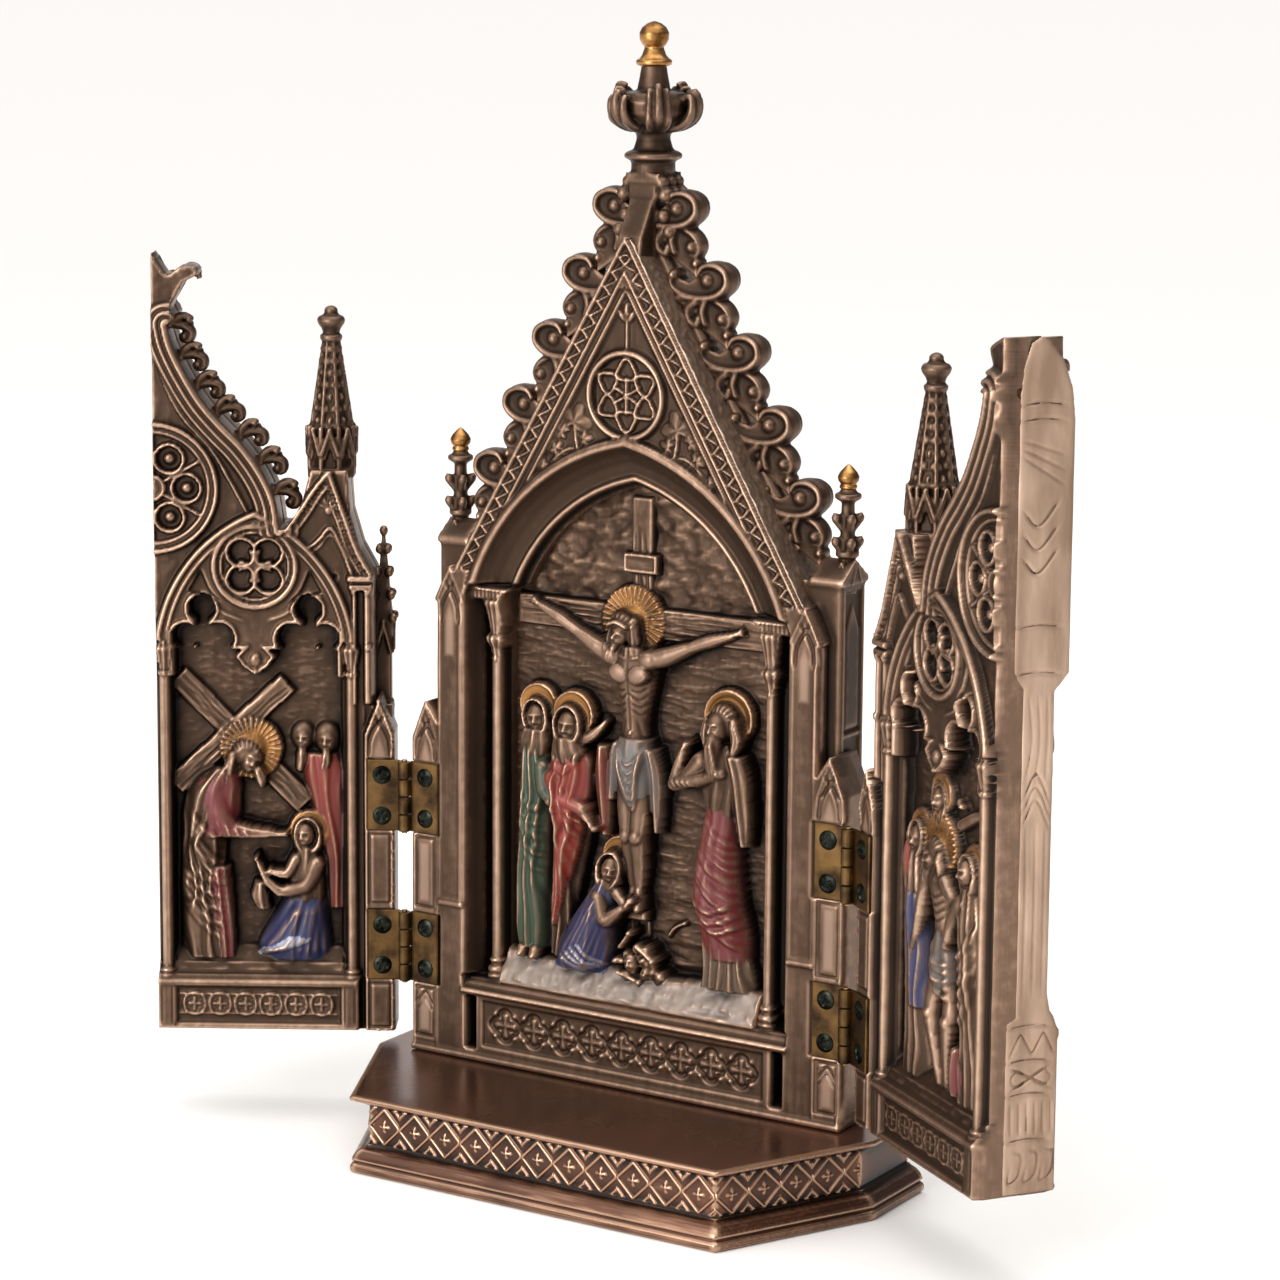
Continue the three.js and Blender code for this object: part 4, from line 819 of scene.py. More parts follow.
def middleFrame():
    s = panel
    relief = Relief((-65, 65), (20.3, 238.6), s["step"], s["front"])
    x, z = relief.x, relief.z
    ax = np.abs(x)
    slope = s["half"] / (s["apex"] - s["eaves"])
    gable = ((s["apex"] - z) * slope - ax) * s["rim"]  # distance in from the gable's edge
    walls = np.maximum(ax - s["half"], np.maximum(s["foot"] - z, -gable))
    outer = walls
    for name, reach in (("tall", 0.9), ("low", 0.0)):
        inside, outside, foot, shoulder, apex = buttressSizes[name]
        middle = (inside + outside) / 2
        shape = [(inside - 3, s["foot"]), (outside, s["foot"]), (outside, shoulder - reach),
                 (outside + reach, shoulder), (middle, apex), (inside - 3, shoulder)]
        outer = np.minimum(outer, polygonGap(ax, z, shape))
    outer = np.minimum(outer, boxGap(ax, z, -1, 64.2, s["foot"], 22.4))

    # mouldings of the gable, read inward from its edge
    steps = [(0, 0.5), (0.3, 0.05), (0.9, 0), (1.15, 0.95), (4.0, 0.95), (4.25, 0.1), (4.7, -0.05), (5.05, 0.2),
             (5.3, 1.2), (6.2, 1.25), (6.45, 0.75), (6.95, 0.7), (7.2, 1.5), (7.6, 1.65), (7.9, 2.3), (9, 2.3)]
    band = profile(gable, steps)
    tooth = np.abs(((z / 0.865) / 4.3) % 1 * 2 - 1)
    spot = np.abs(gable - (1.35 + 2.35 * tooth))
    band = np.where((gable > 1.1) & (gable < 4.1), band + 0.35 - 1.25 * np.clip(1.2 - spot / 0.62, 0, 1), band)
    relief.fill((z > 150) & (gable < 30), band)
    gableFieldOrnament(relief, 2.3)
    tip = polygonGap(x, z, [(-4.4, 224.6), (4.4, 224.6), (0, 232.2)])
    relief.plate(tip, 0.7, 0.4)
    leaf(relief, 0, 226, 3.4, math.pi / 2, 0.3)

    # the arch: bright rim, wide cavetto, inner roll
    arch = -archGap(x, z, mainArch)
    cove = profile(arch, [(-2.2, 2.3), (-2, 0.6), (-1.2, 0), (-0.4, -0.2), (0.3, 0.1), (0.7, 1.2), (2.2, 3.0),
                          (4.5, 4.9), (7.0, 6.0), (7.8, 6.1), (8.1, 5.5), (8.7, 5.1), (9.4, 5.5), (9.8, 7.2),
                          (10.4, 8.5)])
    jambs = profile(ax, [(38.5, 8.5), (44.4, 8.5), (45.0, 6.2), (46.2, 4.4), (47.6, 1.6), (48.1, 0.5), (48.5, 0.1)])
    blend = ease(144.5, 147, z)
    opening = cove * blend + jambs * (1 - blend)
    relief.fill((arch > -2.1 * blend) & (z > 43), opening)
    sill = profile(z, [(39.4, 0.2), (39.8, 0.5), (40.2, 1.4), (41.0, 1.5), (41.4, 2.6), (42.1, 2.7), (42.5, 6),
                       (43, 8.5)])
    relief.fill((z > 39.4) & (z <= 43) & (ax < 48.4), sill)

    # columns in the jambs, each with base, leafy capital, fluted bell and abacus
    base = [(42.6, 2.7), (43.6, 2.7), (43.8, 2.2), (44.4, 2.6), (45.4, 2.6), (45.9, 1.9), (46.6, 1.7), (46.9, 2.2),
            (47.6, 2.2), (48, 1.6), (48.6, 1.5)]
    neck = [(126.4, 1.5), (126.8, 2.0), (127.3, 2.0), (127.6, 1.7), (130, 2.2), (131.6, 3.1), (132.2, 3.3),
            (132.9, 3.3), (133.4, 2.4)]
    bell = [(133.4, 2.4), (134.2, 2.2), (137, 2.7), (140, 3.4), (141.4, 3.9), (142.3, 3.9)]
    for side in (-1, 1):
        cx, cy = side * jambColumns["out"], jambColumns["back"]
        turnedForm(relief, cx, cy, base)
        turnedForm(relief, cx, cy, [(48.4, 1.5), (126.6, 1.5)])
        turnedForm(relief, cx, cy, neck, flutes=9, bite=0.55)
        turnedForm(relief, cx, cy, bell, flutes=14, bite=0.4)
    dentil = 0.45 * (np.abs((ax / 1.15) % 1 - 0.5) < 0.17)
    slab = boxGap(ax, z, 34.2, 47.2, 142, 145.6)
    relief.put(np.where(slab < 0, profile(z, [(142, 3.4), (142.6, 2.9), (143, 2.4), (145, 2.3), (145.2, 2.0),
                                              (145.6, 2.1)]) + dentil * (z > 142.9) * (z < 145), far))

    # base panel and slots
    strip(relief, -1, 43.7, 22.6, 38.4, 0.3)
    relief.cut(boxGap(ax, z, -1, 42.2, 24.8, 37.2), 0.95, 0.5)
    basePanelRow(relief, 0.95)
    relief.cut(boxGap(ax, z, 44.3, 47.5, 23.5, 37.9), 5.5, 0.5)

    # buttresses
    inside, outside, ledge, shoulder, apex = buttressSizes["tall"]
    strip(relief, inside, outside, s["foot"], ledge, 2.6)
    for shaft in (50.6, 54.0):
        for side in (-1, 1):
            turnedForm(relief, side * shaft, 2.2, [(23, 2.0), (24.6, 2.0), (25, 1.4), (59.6, 1.35), (60, 1.9),
                                                   (61, 1.9)])
    gabledHead(relief, inside, outside, ledge, shoulder, apex, 0.0, 0.9)
    strip(relief, inside - 0.4, outside, 60.9, 62.2, -0.3)
    strip(relief, inside - 0.2, outside, 62.2, 63.2, 0.0)
    inside, outside, foot, shoulder, apex = buttressSizes["low"]
    gabledHead(relief, inside, outside, foot, shoulder, apex, 0.0)
    for low, high in ((59.2, 78.4), (24.4, 38.0)):
        relief.cut(boxGap(ax, z, inside + 0.6, outside - 0.6, low, high), 0.9, 0.3)
        strip(relief, inside + 1.7, outside - 1.0, low + 0.6, high - 0.6, 0.15)
        # painted copper sheen on each sunk panel
        rubbed(relief, boxGap(ax, z, inside + 2.1, outside - 1.4, low + 1.0, high - 1.0), 0.7)
    for side in (-1, 1):
        for sign in (-1, 1):
            relief.stroke([(side * 60.3, 37.0), (side * (60.3 + sign * 2.7), 33.2)], 0.45, -0.6)
            relief.stroke([(side * 60.3, 35.2), (side * (60.3 + sign * 2.4), 31.9)], 0.4, -0.5)
    hingePockets(relief, inside - 0.6, outside + 2)

    # foot and sill mouldings
    foot = profile(z, [(20.7, -0.2), (21, -0.5), (22.1, -0.5), (22.4, 0.1), (23.0, 0.2)])
    relief.build(z < 22.7, foot)
    strip(relief, -1, 48.8, 38.4, 39.6, -0.4)
    relief.depth += handMark * noise(x, z * 0.2, 1.6, 5)
    relief.soften()
    hole = archGap(x, z, innerArch)
    hole = np.maximum(hole, 43.0 - z)
    gap = np.maximum(outer, -hole)
    piece = castPiece("panel_face", relief, gap, s["hollowBack"], panelPlace, "shrine", castFinish)
    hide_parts("centre_panel")
    print("panel face", len(piece.data.polygons))


middleSizes = {"half": 39.6, "low": 41.8, "high": 177.5, "sill": 42.1, "step": 0.34, "ground": 11.3, "back": 14.0}


def cross(relief):
    x, z = relief.x, relief.z
    beam(relief, (0, 50), (0, 172), 3.1, 9.5, 21)
    beam(relief, (-37, 140), (37, 140), 3.9, 9.0, 22)
    relief.plate(boxGap(x, z, -5, 5, 152.6, 157.6), 8.3, 0.5)
    relief.cut(boxGap(x, z, -4.3, 4.3, 153.3, 156.9), 8.7, 0.3)
    grainStrokes(relief, (-4, 155), (4, 155), 1.4, 23, 0.12)


def hisBody(relief):  # legs, trunk, loincloth, arms and head
    x, z = relief.x, relief.z
    relief.limb([(-1.8, 101), (-1.5, 92), (-0.9, 85.5), (-0.4, 78), (0.2, 71)], [3.2, 2.9, 2.3, 2.2, 1.4],
                [4.4, 3.7, 3.4, 4.8, 6.0])
    relief.limb([(2.6, 101), (2.5, 92), (2.1, 85.5), (1.9, 78), (1.6, 71)], [3.2, 2.9, 2.4, 2.2, 1.4],
                [4.2, 3.4, 3.0, 4.5, 5.8])
    relief.dome(-1.0, 85.8, 1.7, 2.0, 2.9, 1.2)
    relief.dome(2.1, 85.8, 1.8, 2.0, 2.5, 1.2)
    relief.limb([(0.2, 71.5), (0, 67.2)], [1.4, 1.3], [5.4, 4.2])
    relief.limb([(1.8, 71.5), (2.1, 67)], [1.4, 1.3], [5.2, 4.0])
    relief.plate(boxGap(x, z, -2.4, 3.6, 63.4, 66.2), 6.4, 0.8)
    trunk = [(104, 0.3, 4.4, 4.4), (109, 0, 4.5, 4.2), (114, -0.2, 3.9, 4.4), (118, -0.2, 4.3, 4.2),
             (124, -0.2, 5.6, 3.5), (128.5, -0.3, 6.7, 3.2), (132, -0.4, 6.6, 3.6), (134.5, -0.6, 3.4, 4.2)]
    robe(relief, trunk, 1, rise=3.6, deep=0.0)
    for side in (-1, 1):
        # copper painted on the chest as painted highlight
        relief.dome(side * 2.9 - 0.3, 127.6, 2.9, 2.3, 2.6, 1.1, side * 0.25, paints["copper"], 0.5)
        for k in range(4):
            relief.stroke([(side * 0.9 - 0.2, 123.6 - k * 1.7), (side * 3.0 - 0.2, 123.2 - k * 2.0),
                           (side * 4.6 - 0.2, 124.4 - k * 2.0)], 0.42, -0.3)
        relief.stroke([(side * 1.6, 115.8), (side * 2.6, 112), (side * 4, 109.6)], 0.5, -0.25)
        relief.stroke([(side * 0.8 - 0.2, 131.6), (side * 3.4, 132.3), (side * 6, 132.6)], 0.5, 0.3)
    relief.stroke([(-0.3, 131), (-0.2, 122), (0, 110)], 0.4, -0.28)
    relief.stroke([(-3.4, 120), (-0.2, 122.6), (3, 120)], 0.4, -0.25)
    relief.dome(0, 112.6, 0.45, 0.5, 4.1, -0.3)
    cloth = [(92, 1.4, 3.0, 4.2), (97, 1.0, 4.8, 3.0), (103, 0.5, 5.6, 2.6), (108, 0.1, 5.2, 2.9),
             (111, 0, 4.6, 3.6)]
    robe(relief, cloth, 3, rise=3.2, deep=0.3, colour=paints["pale"], amount=0.82)
    for k in range(6):
        relief.stroke([(-4.6 + k * 0.35, 109.4 - k * 0.9), (0.3 + k * 0.2, 104.6 - k * 2.3),
                       (5.0 - k * 0.3, 109.4 - k * 0.9)], 0.7, 0.55)
    for drape in ([(94, -6.6, 1.2, 5.2), (100, -5.8, 1.8, 4.8), (106, -5.2, 1.9, 4.4), (109.6, -4.4, 1.4, 4.2)],
                  [(87, 6.9, 0.9, 5.6), (94, 7.0, 1.6, 5.0), (102, 6.6, 1.9, 4.6), (108.6, 5.2, 1.5, 4.2)]):
        robe(relief, drape, 2, rise=1.6, deep=0.4, colour=paints["pale"], amount=0.82, seed=4)
    for side, elbow, wrist in ((-1, (-16.5, 136.2), (-28.6, 141.8)), (1, (16.5, 135.8), (27.8, 139.8))):
        # copper painted on shoulders and arms as painted highlight
        relief.limb([(side * 4.6 - 0.4, 131.4), (side * 8.6, 132.4), elbow,
                     ((elbow[0] + wrist[0]) / 2, (elbow[1] + wrist[1]) / 2 + 0.2), wrist],
                    [2.6, 2.3, 1.5, 1.7, 1.0], [3.7, 4.0, 5.0, 5.2, 6.2], paints["copper"], 0.45)
        relief.dome(side * 5.6 - 0.4, 131.6, 2.4, 2.1, 3.1, 1.4, 0.0, paints["copper"], 0.5)
        hand(relief, wrist[0] + side * 1.1, wrist[1] + 0.5, 0.35 if side > 0 else math.pi - 0.35, 1.15, 6.4)
    halo(relief, -2.0, 140.2, 9.2, 8.0, rays=34)
    locks(relief, [(-0.4, 140.4), (-0.2, 136), (0.6, 131.8)], 1.9, 5.2, 4, 1.0, 31)
    locks(relief, [(-6.6, 139), (-7.6, 135.4), (-7.2, 132.4)], 1.4, 6.0, 3, 0.6, 32)
    relief.dome(-3.6, 139.2, 4.1, 3.6, 4.4, 3.0, -0.4)
    face(relief, -4.1, 136.8, 3.7, 3.4, tilt=-0.42, look=-0.12)
    strands(relief, (-3.6, 138.4, 2.2, 1.8), (-3.5, 139.2, 4.1, 3.4), 0.2, 0.42, 7)
    relief.line([(-7.0, 139.6), (-4.4, 140.4), (-1.4, 139.4)], 0.55, 3.4)
    locks(relief, [(-4.9, 134.2), (-5.4, 132.6), (-5.6, 130.8)], 1.5, 3.6, 3, 0.7, 33)


def standingWomen(relief):  # two women at the left
    halo(relief, -30.0, 115.6, 6.0, 7.6)
    green = [(52, -30.8, 5.0, 4.4), (60, -31, 5.6, 3.6), (74, -30.8, 5.3, 3.4), (88, -29.8, 5.0, 3.0),
             (98, -29.6, 5.0, 2.8), (104, -29.8, 4.4, 3.2), (108, -29.8, 3.0, 4.0)]
    relief.limb([(-32.6, 51.6), (-32.9, 50.4)], [1.5, 1.2], [3.6, 3.0])
    relief.limb([(-28.8, 51.6), (-28.9, 50.2)], [1.5, 1.2], [3.4, 2.8])
    robe(relief, green, 4, rise=4.6, deep=0.85, seed=41, colour=paints["green"], amount=0.85, wave=0.6)
    sweep(relief, [(-34, 96), (-32, 82)], [(-25.5, 92), (-26, 70)], 5, 2.4, 0.8, 0.6, seed=42)
    relief.limb([(-26.6, 100), (-25.2, 94.4), (-21.6, 91.2)], [2.4, 2.1, 1.5], [2.6, 2.0, 2.6], paints["green"],
                0.85)
    relief.limb([(-23.4, 92), (-20.6, 90.4)], [1.3, 1.0], [2.0, 2.4])
    hand(relief, -20.0, 90.2, -0.3, 0.95, 2.4)
    robe(relief, [(103, -29.8, 4.0, 3.4), (107, -29.6, 4.6, 3.2), (110, -29.4, 4.2, 3.6)], 3, rise=3, deep=0.4,
         seed=43)
    face(relief, -29.2, 112.6, 3.9, 3.6, tilt=0.1, look=0.14)
    veil(relief, -29.5, 113.0, 4.3, 4.2, 0.1)

    halo(relief, -19.0, 114.6, 6.3, 7.0)
    gown = [(50.5, -22.8, 3.8, 6.2), (66, -21.5, 4.2, 5.4), (84, -18.8, 5.4, 4.6), (100, -17.8, 6.2, 4.2)]
    robe(relief, gown, 4, rise=4, deep=0.8, seed=44)
    red = [(59, -23.4, 1.2, 4.6), (68, -21.8, 2.6, 3.8), (78, -20.0, 4.0, 3.2), (88, -18.8, 5.0, 2.6),
           (97, -18.6, 6.4, 2.4), (103, -18.6, 6.2, 3.0), (106, -18.8, 4.2, 3.8)]
    robe(relief, red, 4, rise=3.8, deep=0.75, lean=0.5, seed=45, colour=paints["red"], amount=0.88, wave=0.7)
    sweep(relief, [(-24, 102), (-20.6, 92)], [(-11.5, 92.4), (-21.5, 64)], 7, 1.6, 0.75, 0.7, seed=46,
          colour=paints["red"])
    panelRows = [(84, -8.8, 1.4, 6.2), (92, -9.0, 2.2, 5.4), (100, -9.4, 2.6, 5.0), (108, -9.8, 1.8, 5.6)]
    robe(relief, panelRows, 2, rise=2.4, deep=0.5, seed=47, colour=paints["red"], amount=0.5)
    relief.limb([(-23, 98), (-20, 93.6), (-13.6, 91.2)], [2.3, 2.3, 1.8], [2.0, 1.4, 1.6], paints["red"], 0.88)
    relief.limb([(-14.4, 91.6), (-11.6, 88.6)], [1.5, 1.0], [1.7, 2.2])
    hand(relief, -10.8, 87.4, -0.9, 1.05, 2.2)
    robe(relief, [(102, -19, 5.2, 3.0), (105.5, -19.2, 5.0, 2.6), (109, -19.4, 4.4, 3.0)], 3, rise=3, deep=0.5,
         seed=48)
    for k in range(3):
        relief.stroke([(-24, 105 - k), (-19.2, 101.4 - k * 0.8), (-14.6, 106 - k)], 0.6, 0.5)
    relief.limb([(-15.6, 108.4), (-12.4, 110.2), (-9.4, 113.6)], [1.7, 1.4, 0.7], [5.2, 6.0, 7.4])
    face(relief, -19.0, 111.8, 4.2, 2.6, tilt=-0.05, look=0.06)
    veil(relief, -19.2, 112.2, 4.6, 3.2, -0.05)


def kneelingWoman(relief):
    halo(relief, -4.8, 79.2, 5.6, 7.6)
    blue = [(48.4, -15.4, 8.6, 3.0), (53, -14.4, 8.6, 2.2), (60, -12.2, 7.2, 1.8), (66, -9.8, 5.6, 1.8),
            (70.5, -8, 4.4, 2.2), (73, -7.4, 3.0, 3.0)]
    robe(relief, blue, 3, rise=5, deep=0.5, lean=-0.8, seed=51, colour=paints["blue"], amount=0.88)
    sweep(relief, [(-9.4, 70), (-5.0, 62)], [(-22.6, 49.6), (-8, 49.2)], 9, 0.6, 0.7, 0.75, seed=52)
    # pale blue painted on the fold crests of the hem as painted highlight
    sweep(relief, [(-21, 52), (-13, 57)], [(-12, 49.5), (-6, 51)], 4, 0.8, 0.5, 0.5, seed=53, colour="#8d98b4",
          amount=0.5)
    relief.limb([(-8.4, 69), (-6.2, 63.6), (-1.2, 67.0)], [2.3, 2.1, 1.2], [1.4, 0.8, 1.6])
    relief.limb([(-3.6, 70.4), (-1.4, 68.8), (0.2, 67.8)], [1.6, 1.3, 1.0], [2.8, 2.2, 1.8])
    hand(relief, 0.6, 68.2, 1.0, 1.1, 1.5)
    face(relief, -5.4, 76.2, 3.7, 2.0, tilt=-0.2, look=0.22)
    veil(relief, -5.9, 76.4, 4.1, 2.7, -0.25)
    robe(relief, [(67, -8.4, 2.2, 3.2), (71, -7.2, 3.2, 2.8), (74, -7.4, 3.4, 3.2)], 3, rise=2, deep=0.4, seed=54)


def beardedMan(relief):  # he stands at the right
    x, z = relief.x, relief.z
    halo(relief, 26.4, 118.8, 7.4, 8.0)
    relief.cut(circleGap(x, z, 26.4, 118.8, 5.6), 8.9, 0.3)
    hem = [(49.6, 27.6, 8.4, 4.2), (55, 27.4, 7.6, 4.0), (62, 26.4, 6.8, 3.8)]
    robe(relief, hem, 6, rise=4, deep=1.0, seed=61, colour=paints["linen"], amount=0.45)
    gown = [(57.5, 27.8, 6.4, 3.4), (64, 26.8, 7.4, 2.8), (72, 25.2, 7.2, 2.4), (80, 24.6, 6.6, 2.6),
            (90, 25.6, 5.4, 3.0), (97, 26, 4.8, 3.4)]
    robe(relief, gown, 3, rise=4.6, deep=0.35, lean=0.4, seed=62, colour=paints["crimson"], amount=0.9)
    sweep(relief, [(21.6, 95), (18.2, 72)], [(31.4, 88), (33.4, 59.6)], 12, 1.2, 0.85, 0.85, seed=63,
          colour=paints["crimson"])
    sweep(relief, [(18.4, 74), (20, 66)], [(31, 74), (34, 66)], 3, 2.6, 0.7, 0.7, seed=64, colour=paints["crimson"])
    tunic = [(94, 26, 4.8, 3.6), (100, 26, 5.8, 3.0), (106, 25.8, 6.6, 2.8), (110.4, 25.6, 5.4, 3.6),
             (112.6, 25.6, 3, 4.6)]
    robe(relief, tunic, 3, rise=4.0, deep=0.6, seed=65)
    robe(relief, [(87, 32.6, 1.4, 5.0), (94, 32.4, 2.2, 4.0), (104, 31.4, 2.7, 3.4), (110, 29.6, 2.6, 3.6)], 2,
         rise=2.4, deep=0.6, seed=66)
    relief.limb([(20.6, 107.4), (17.6, 103.6), (13.8, 101.4)], [2.9, 2.5, 2.1], [3.0, 2.4, 2.4])
    relief.limb([(13.6, 101.2), (14.4, 105.6), (15.6, 109.4)], [2.0, 1.5, 1.1], [2.4, 2.8, 3.2])
    relief.limb([(15.0, 102.2), (22, 103.6), (27.4, 105.6)], [2.0, 2.0, 1.6], [2.2, 1.9, 2.0])
    hand(relief, 16.0, 110.4, 1.2, 1.1, 3.0)
    for k in range(4):
        relief.stroke([(13.2 + k * 1.6, 102.8), (14.8 + k * 1.7, 100.6)], 0.45, 0.4)
    relief.dome(25.8, 117.8, 4.7, 4.9, 4.6, 3.4)
    locks(relief, [(29.6, 118), (30.4, 114), (29.6, 110.4)], 1.7, 4.4, 3, 0.8, 71)
    locks(relief, [(21.8, 118), (21.2, 114.6), (21.6, 111.6)], 1.4, 4.8, 3, 0.6, 72)
    face(relief, 25.0, 116.6, 4.1, 2.7, tilt=0.08, look=-0.2)
    locks(relief, [(24.6, 113.6), (24.6, 109.6), (25.4, 104.4)], 2.7, 2.0, 6, 1.5, 73, height=0.5)
    strands(relief, (25.4, 118, 2.8, 2.6), (25.8, 117.8, 4.8, 4.8), 0.35, 0.36, 8)


def stonyGround(relief):  # bones lie in it, under the cross
    x, z = relief.x, relief.z
    random = np.random.RandomState(9)
    crest = 50.2 + 0.9 * noise(x, 0 * x, 9, 81)
    ground = 2.2 + np.clip((z - 43) / 7.4, 0, 1) ** 1.3 * 4.6
    ground = ground + 0.55 * noise(x, z * 1.6, 3.2, 82) + 0.35 * noise(x, z, 1.5, 83)
    ground = np.where(z < 43.2, 2.0 + 0.3 * noise(x, z, 3, 84), ground)
    keep = relief.depth.copy()
    tint = relief.paint.copy()
    relief.put(np.where((z < crest) & (np.abs(x) < 38.4), ground, far), paints["stone"], 0.8)
    feet = (z > 48.2) & (keep < relief.depth + 1.2) & (keep < 7)
    relief.depth[feet] = np.minimum(keep, relief.depth)[feet]
    relief.paint[feet] = tint[feet]
    for _ in range(26):
        cx, cz = random.uniform(-4, 9), random.uniform(48.6, 57)
        if cz > 61 - abs(cx - 1.5) * 1.4:
            continue
        size = random.uniform(0.9, 2.0)
        relief.dome(cx, cz, size, size * random.uniform(0.6, 1), random.uniform(3.2, 5.0), size * 0.8,
                    random.uniform(0, 3))
    face(relief, 0.8, 52.8, 2.9, 2.8, tilt=0.2, look=-0.1)
    face(relief, 5.2, 50.8, 2.2, 3.2, tilt=-0.5, look=0.1)
    for a, b in (((-3, 50), (3.4, 48.2)), ((2.6, 57.6), (7.4, 54.2)), ((-2.4, 56.6), (0.4, 60.6))):
        relief.limb([a, b], [0.7, 0.7], [3.2, 3.4])
        relief.dome(*b, 1.0, 1.0, 3.0)
    relief.limb([(8.6, 60), (10.6, 62.4), (13.4, 63.8)], [0.6, 0.5, 0.6], [9.6, 9.4, 9.4])


def crucifixion():
    s = middleSizes
    relief = Relief((-s["half"], s["half"]), (s["low"], s["high"]), s["step"], s["ground"])
    x, z = relief.x, relief.z
    low = z < 144
    relief.depth += np.where(low, 0.28 * noise(x, z * 3.4, 7, 11) + 0.16 * noise(x, z * 4, 3, 12),
                             0.75 * noise(x, z * 1.3, 6, 13) + 0.4 * noise(x, z * 1.5, 2.8, 14))
    relief.depth += 0.05 * noise(x, z * 2.2, 1.2, 15)
    for group in (cross, hisBody, standingWomen, kneelingWoman, beardedMan, stonyGround):
        group(relief)
    relief.depth += 0.03 * noise(x, z * 0.4, 0.9, 86)
    relief.soften()
    wide = {**innerArch, "radius": innerArch["radius"] + 1, "jamb": innerArch["jamb"] + 0.9}
    gap = np.maximum(archGap(x, z, wide), s["sill"] - z)
    piece = castPiece("crucifixion_relief", relief, gap, s["back"], panelPlace, "shrine", castFinish)
    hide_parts("centre_panel")
    print("crucifixion", len(piece.data.polygons))


middleFrame()
crucifixion()


wingSizes = {"foot": 24.4, "free": 65.1, "niche": 8.3, "field": 3.6, "step": 0.4, "hollowBack": 13.0}
lancetArch = {"across": 15.7, "centre": 123.8, "radius": 41.1, "spring": 131.0, "jamb": 24.8}
lancetMiddle = 39.0
roseMiddle = (65.4, 168.5)
nicheColumns = (14.0, 62.8)
ogeeLine = [(32.5, 158.0), (33.6, 165.4), (36.6, 172.4), (41.6, 179.6), (47.2, 185.4), (52.4, 191.6), (57.0, 199.4),
            (60.0, 206.0), (61.2, 211.2)]
halfLeafLine = [(61.2, 211.0), (59.2, 212.6), (60.4, 215), (58.8, 218.4), (57, 221.8), (53.4, 223.6), (54, 225.8),
                (58, 225.6), (60.8, 223.4), (62.6, 225.2), (65.1, 229.4)]
plainLeafLine = [(61.2, 211.0), (59.4, 212.8), (60.6, 216), (59.4, 219), (58.6, 221), (61, 222.6), (65.1, 224.2)]
turretBase = [(31, 158), (29, 160.5), (26.6, 165), (24.4, 173.4), (15, 173.4), (14.2, 162), (11.6, 153), (8, 146.4),
              (8.2, 143)]


def bead(relief, gap, width, front):
    relief.put(np.where(np.abs(gap) < width, front + width * roundOff(1 - (gap / width) ** 2), far))


def wingOutline(side):  # only the left wing carries the middle leaf that covers the joint
    foot, free = wingSizes["foot"], wingSizes["free"]
    ogeePoints = [tuple(p) for p in curve(ogeeLine, 2.0)]
    leafPoints = [tuple(p) for p in curve(halfLeafLine if side == "left" else plainLeafLine, 2.5)]
    low = [(8.2, 109.4), (6.7, 114.6), (2.8, 104.5), (2.8, foot)]
    return [(free, foot), leafPoints[-1]] + leafPoints[::-1][1:] + ogeePoints[::-1] + turretBase + low


def wingPedestal(relief):
    u, z = relief.x, relief.z
    strip(relief, 12.2, 66, 24.4, 38.4, 0.3)
    relief.cut(boxGap(u, z, 16.9, 60.5, 26.1, 36.3), 1.5, 0.5)
    pitch = 6.7
    near = np.round((u - 22.2) / pitch).clip(0, 5) * pitch + 22.2
    du, dz = u - near, z - 31.4
    r, angle = np.hypot(du, dz), np.arctan2(dz, du)
    inside = boxGap(u, z, 17.6, 59.8, 26.8, 35.6) < 0
    bump = 0.75 * np.exp(-((r - 2.95) / 0.38) ** 2) + 0.6 * (np.minimum(np.abs(du), np.abs(dz)) < 0.42) * (r < 1.9)
    bump = bump + 0.5 * np.exp(-((r - 2.2 - 0.5 * np.cos(4 * angle)) / 0.3) ** 2) * (r < 2.9)
    between = np.abs(du) > pitch / 2 - 1.4
    bump = bump + 0.5 * between * np.exp(-((np.abs(dz) - 2.6) / 0.4) ** 2)
    relief.fill(inside, 1.5 - bump)
    for left in (12.6, 60.8):
        strip(relief, left, left + 4.2, 25.2, 37.4, 0.0)
        relief.stroke([(left + 0.7, 26), (left + 0.7, 36.6)], 0.35, -0.4)
        relief.stroke([(left + 3.5, 26), (left + 3.5, 36.6)], 0.35, -0.4)
    steps = profile(z, [(36.6, 0.3), (36.8, -0.1), (37.7, -0.3), (38.2, 0), (38.5, 0.8), (39.2, 1.2), (39.5, 2.0),
                        (42.2, 5.4), (42.6, 8)])
    on = (z > 36.7) & (z < 42.4) & (u > 12.2)
    relief.build(on, steps)
    strip(relief, 12, 66, 24.4, 25.3, -0.1)


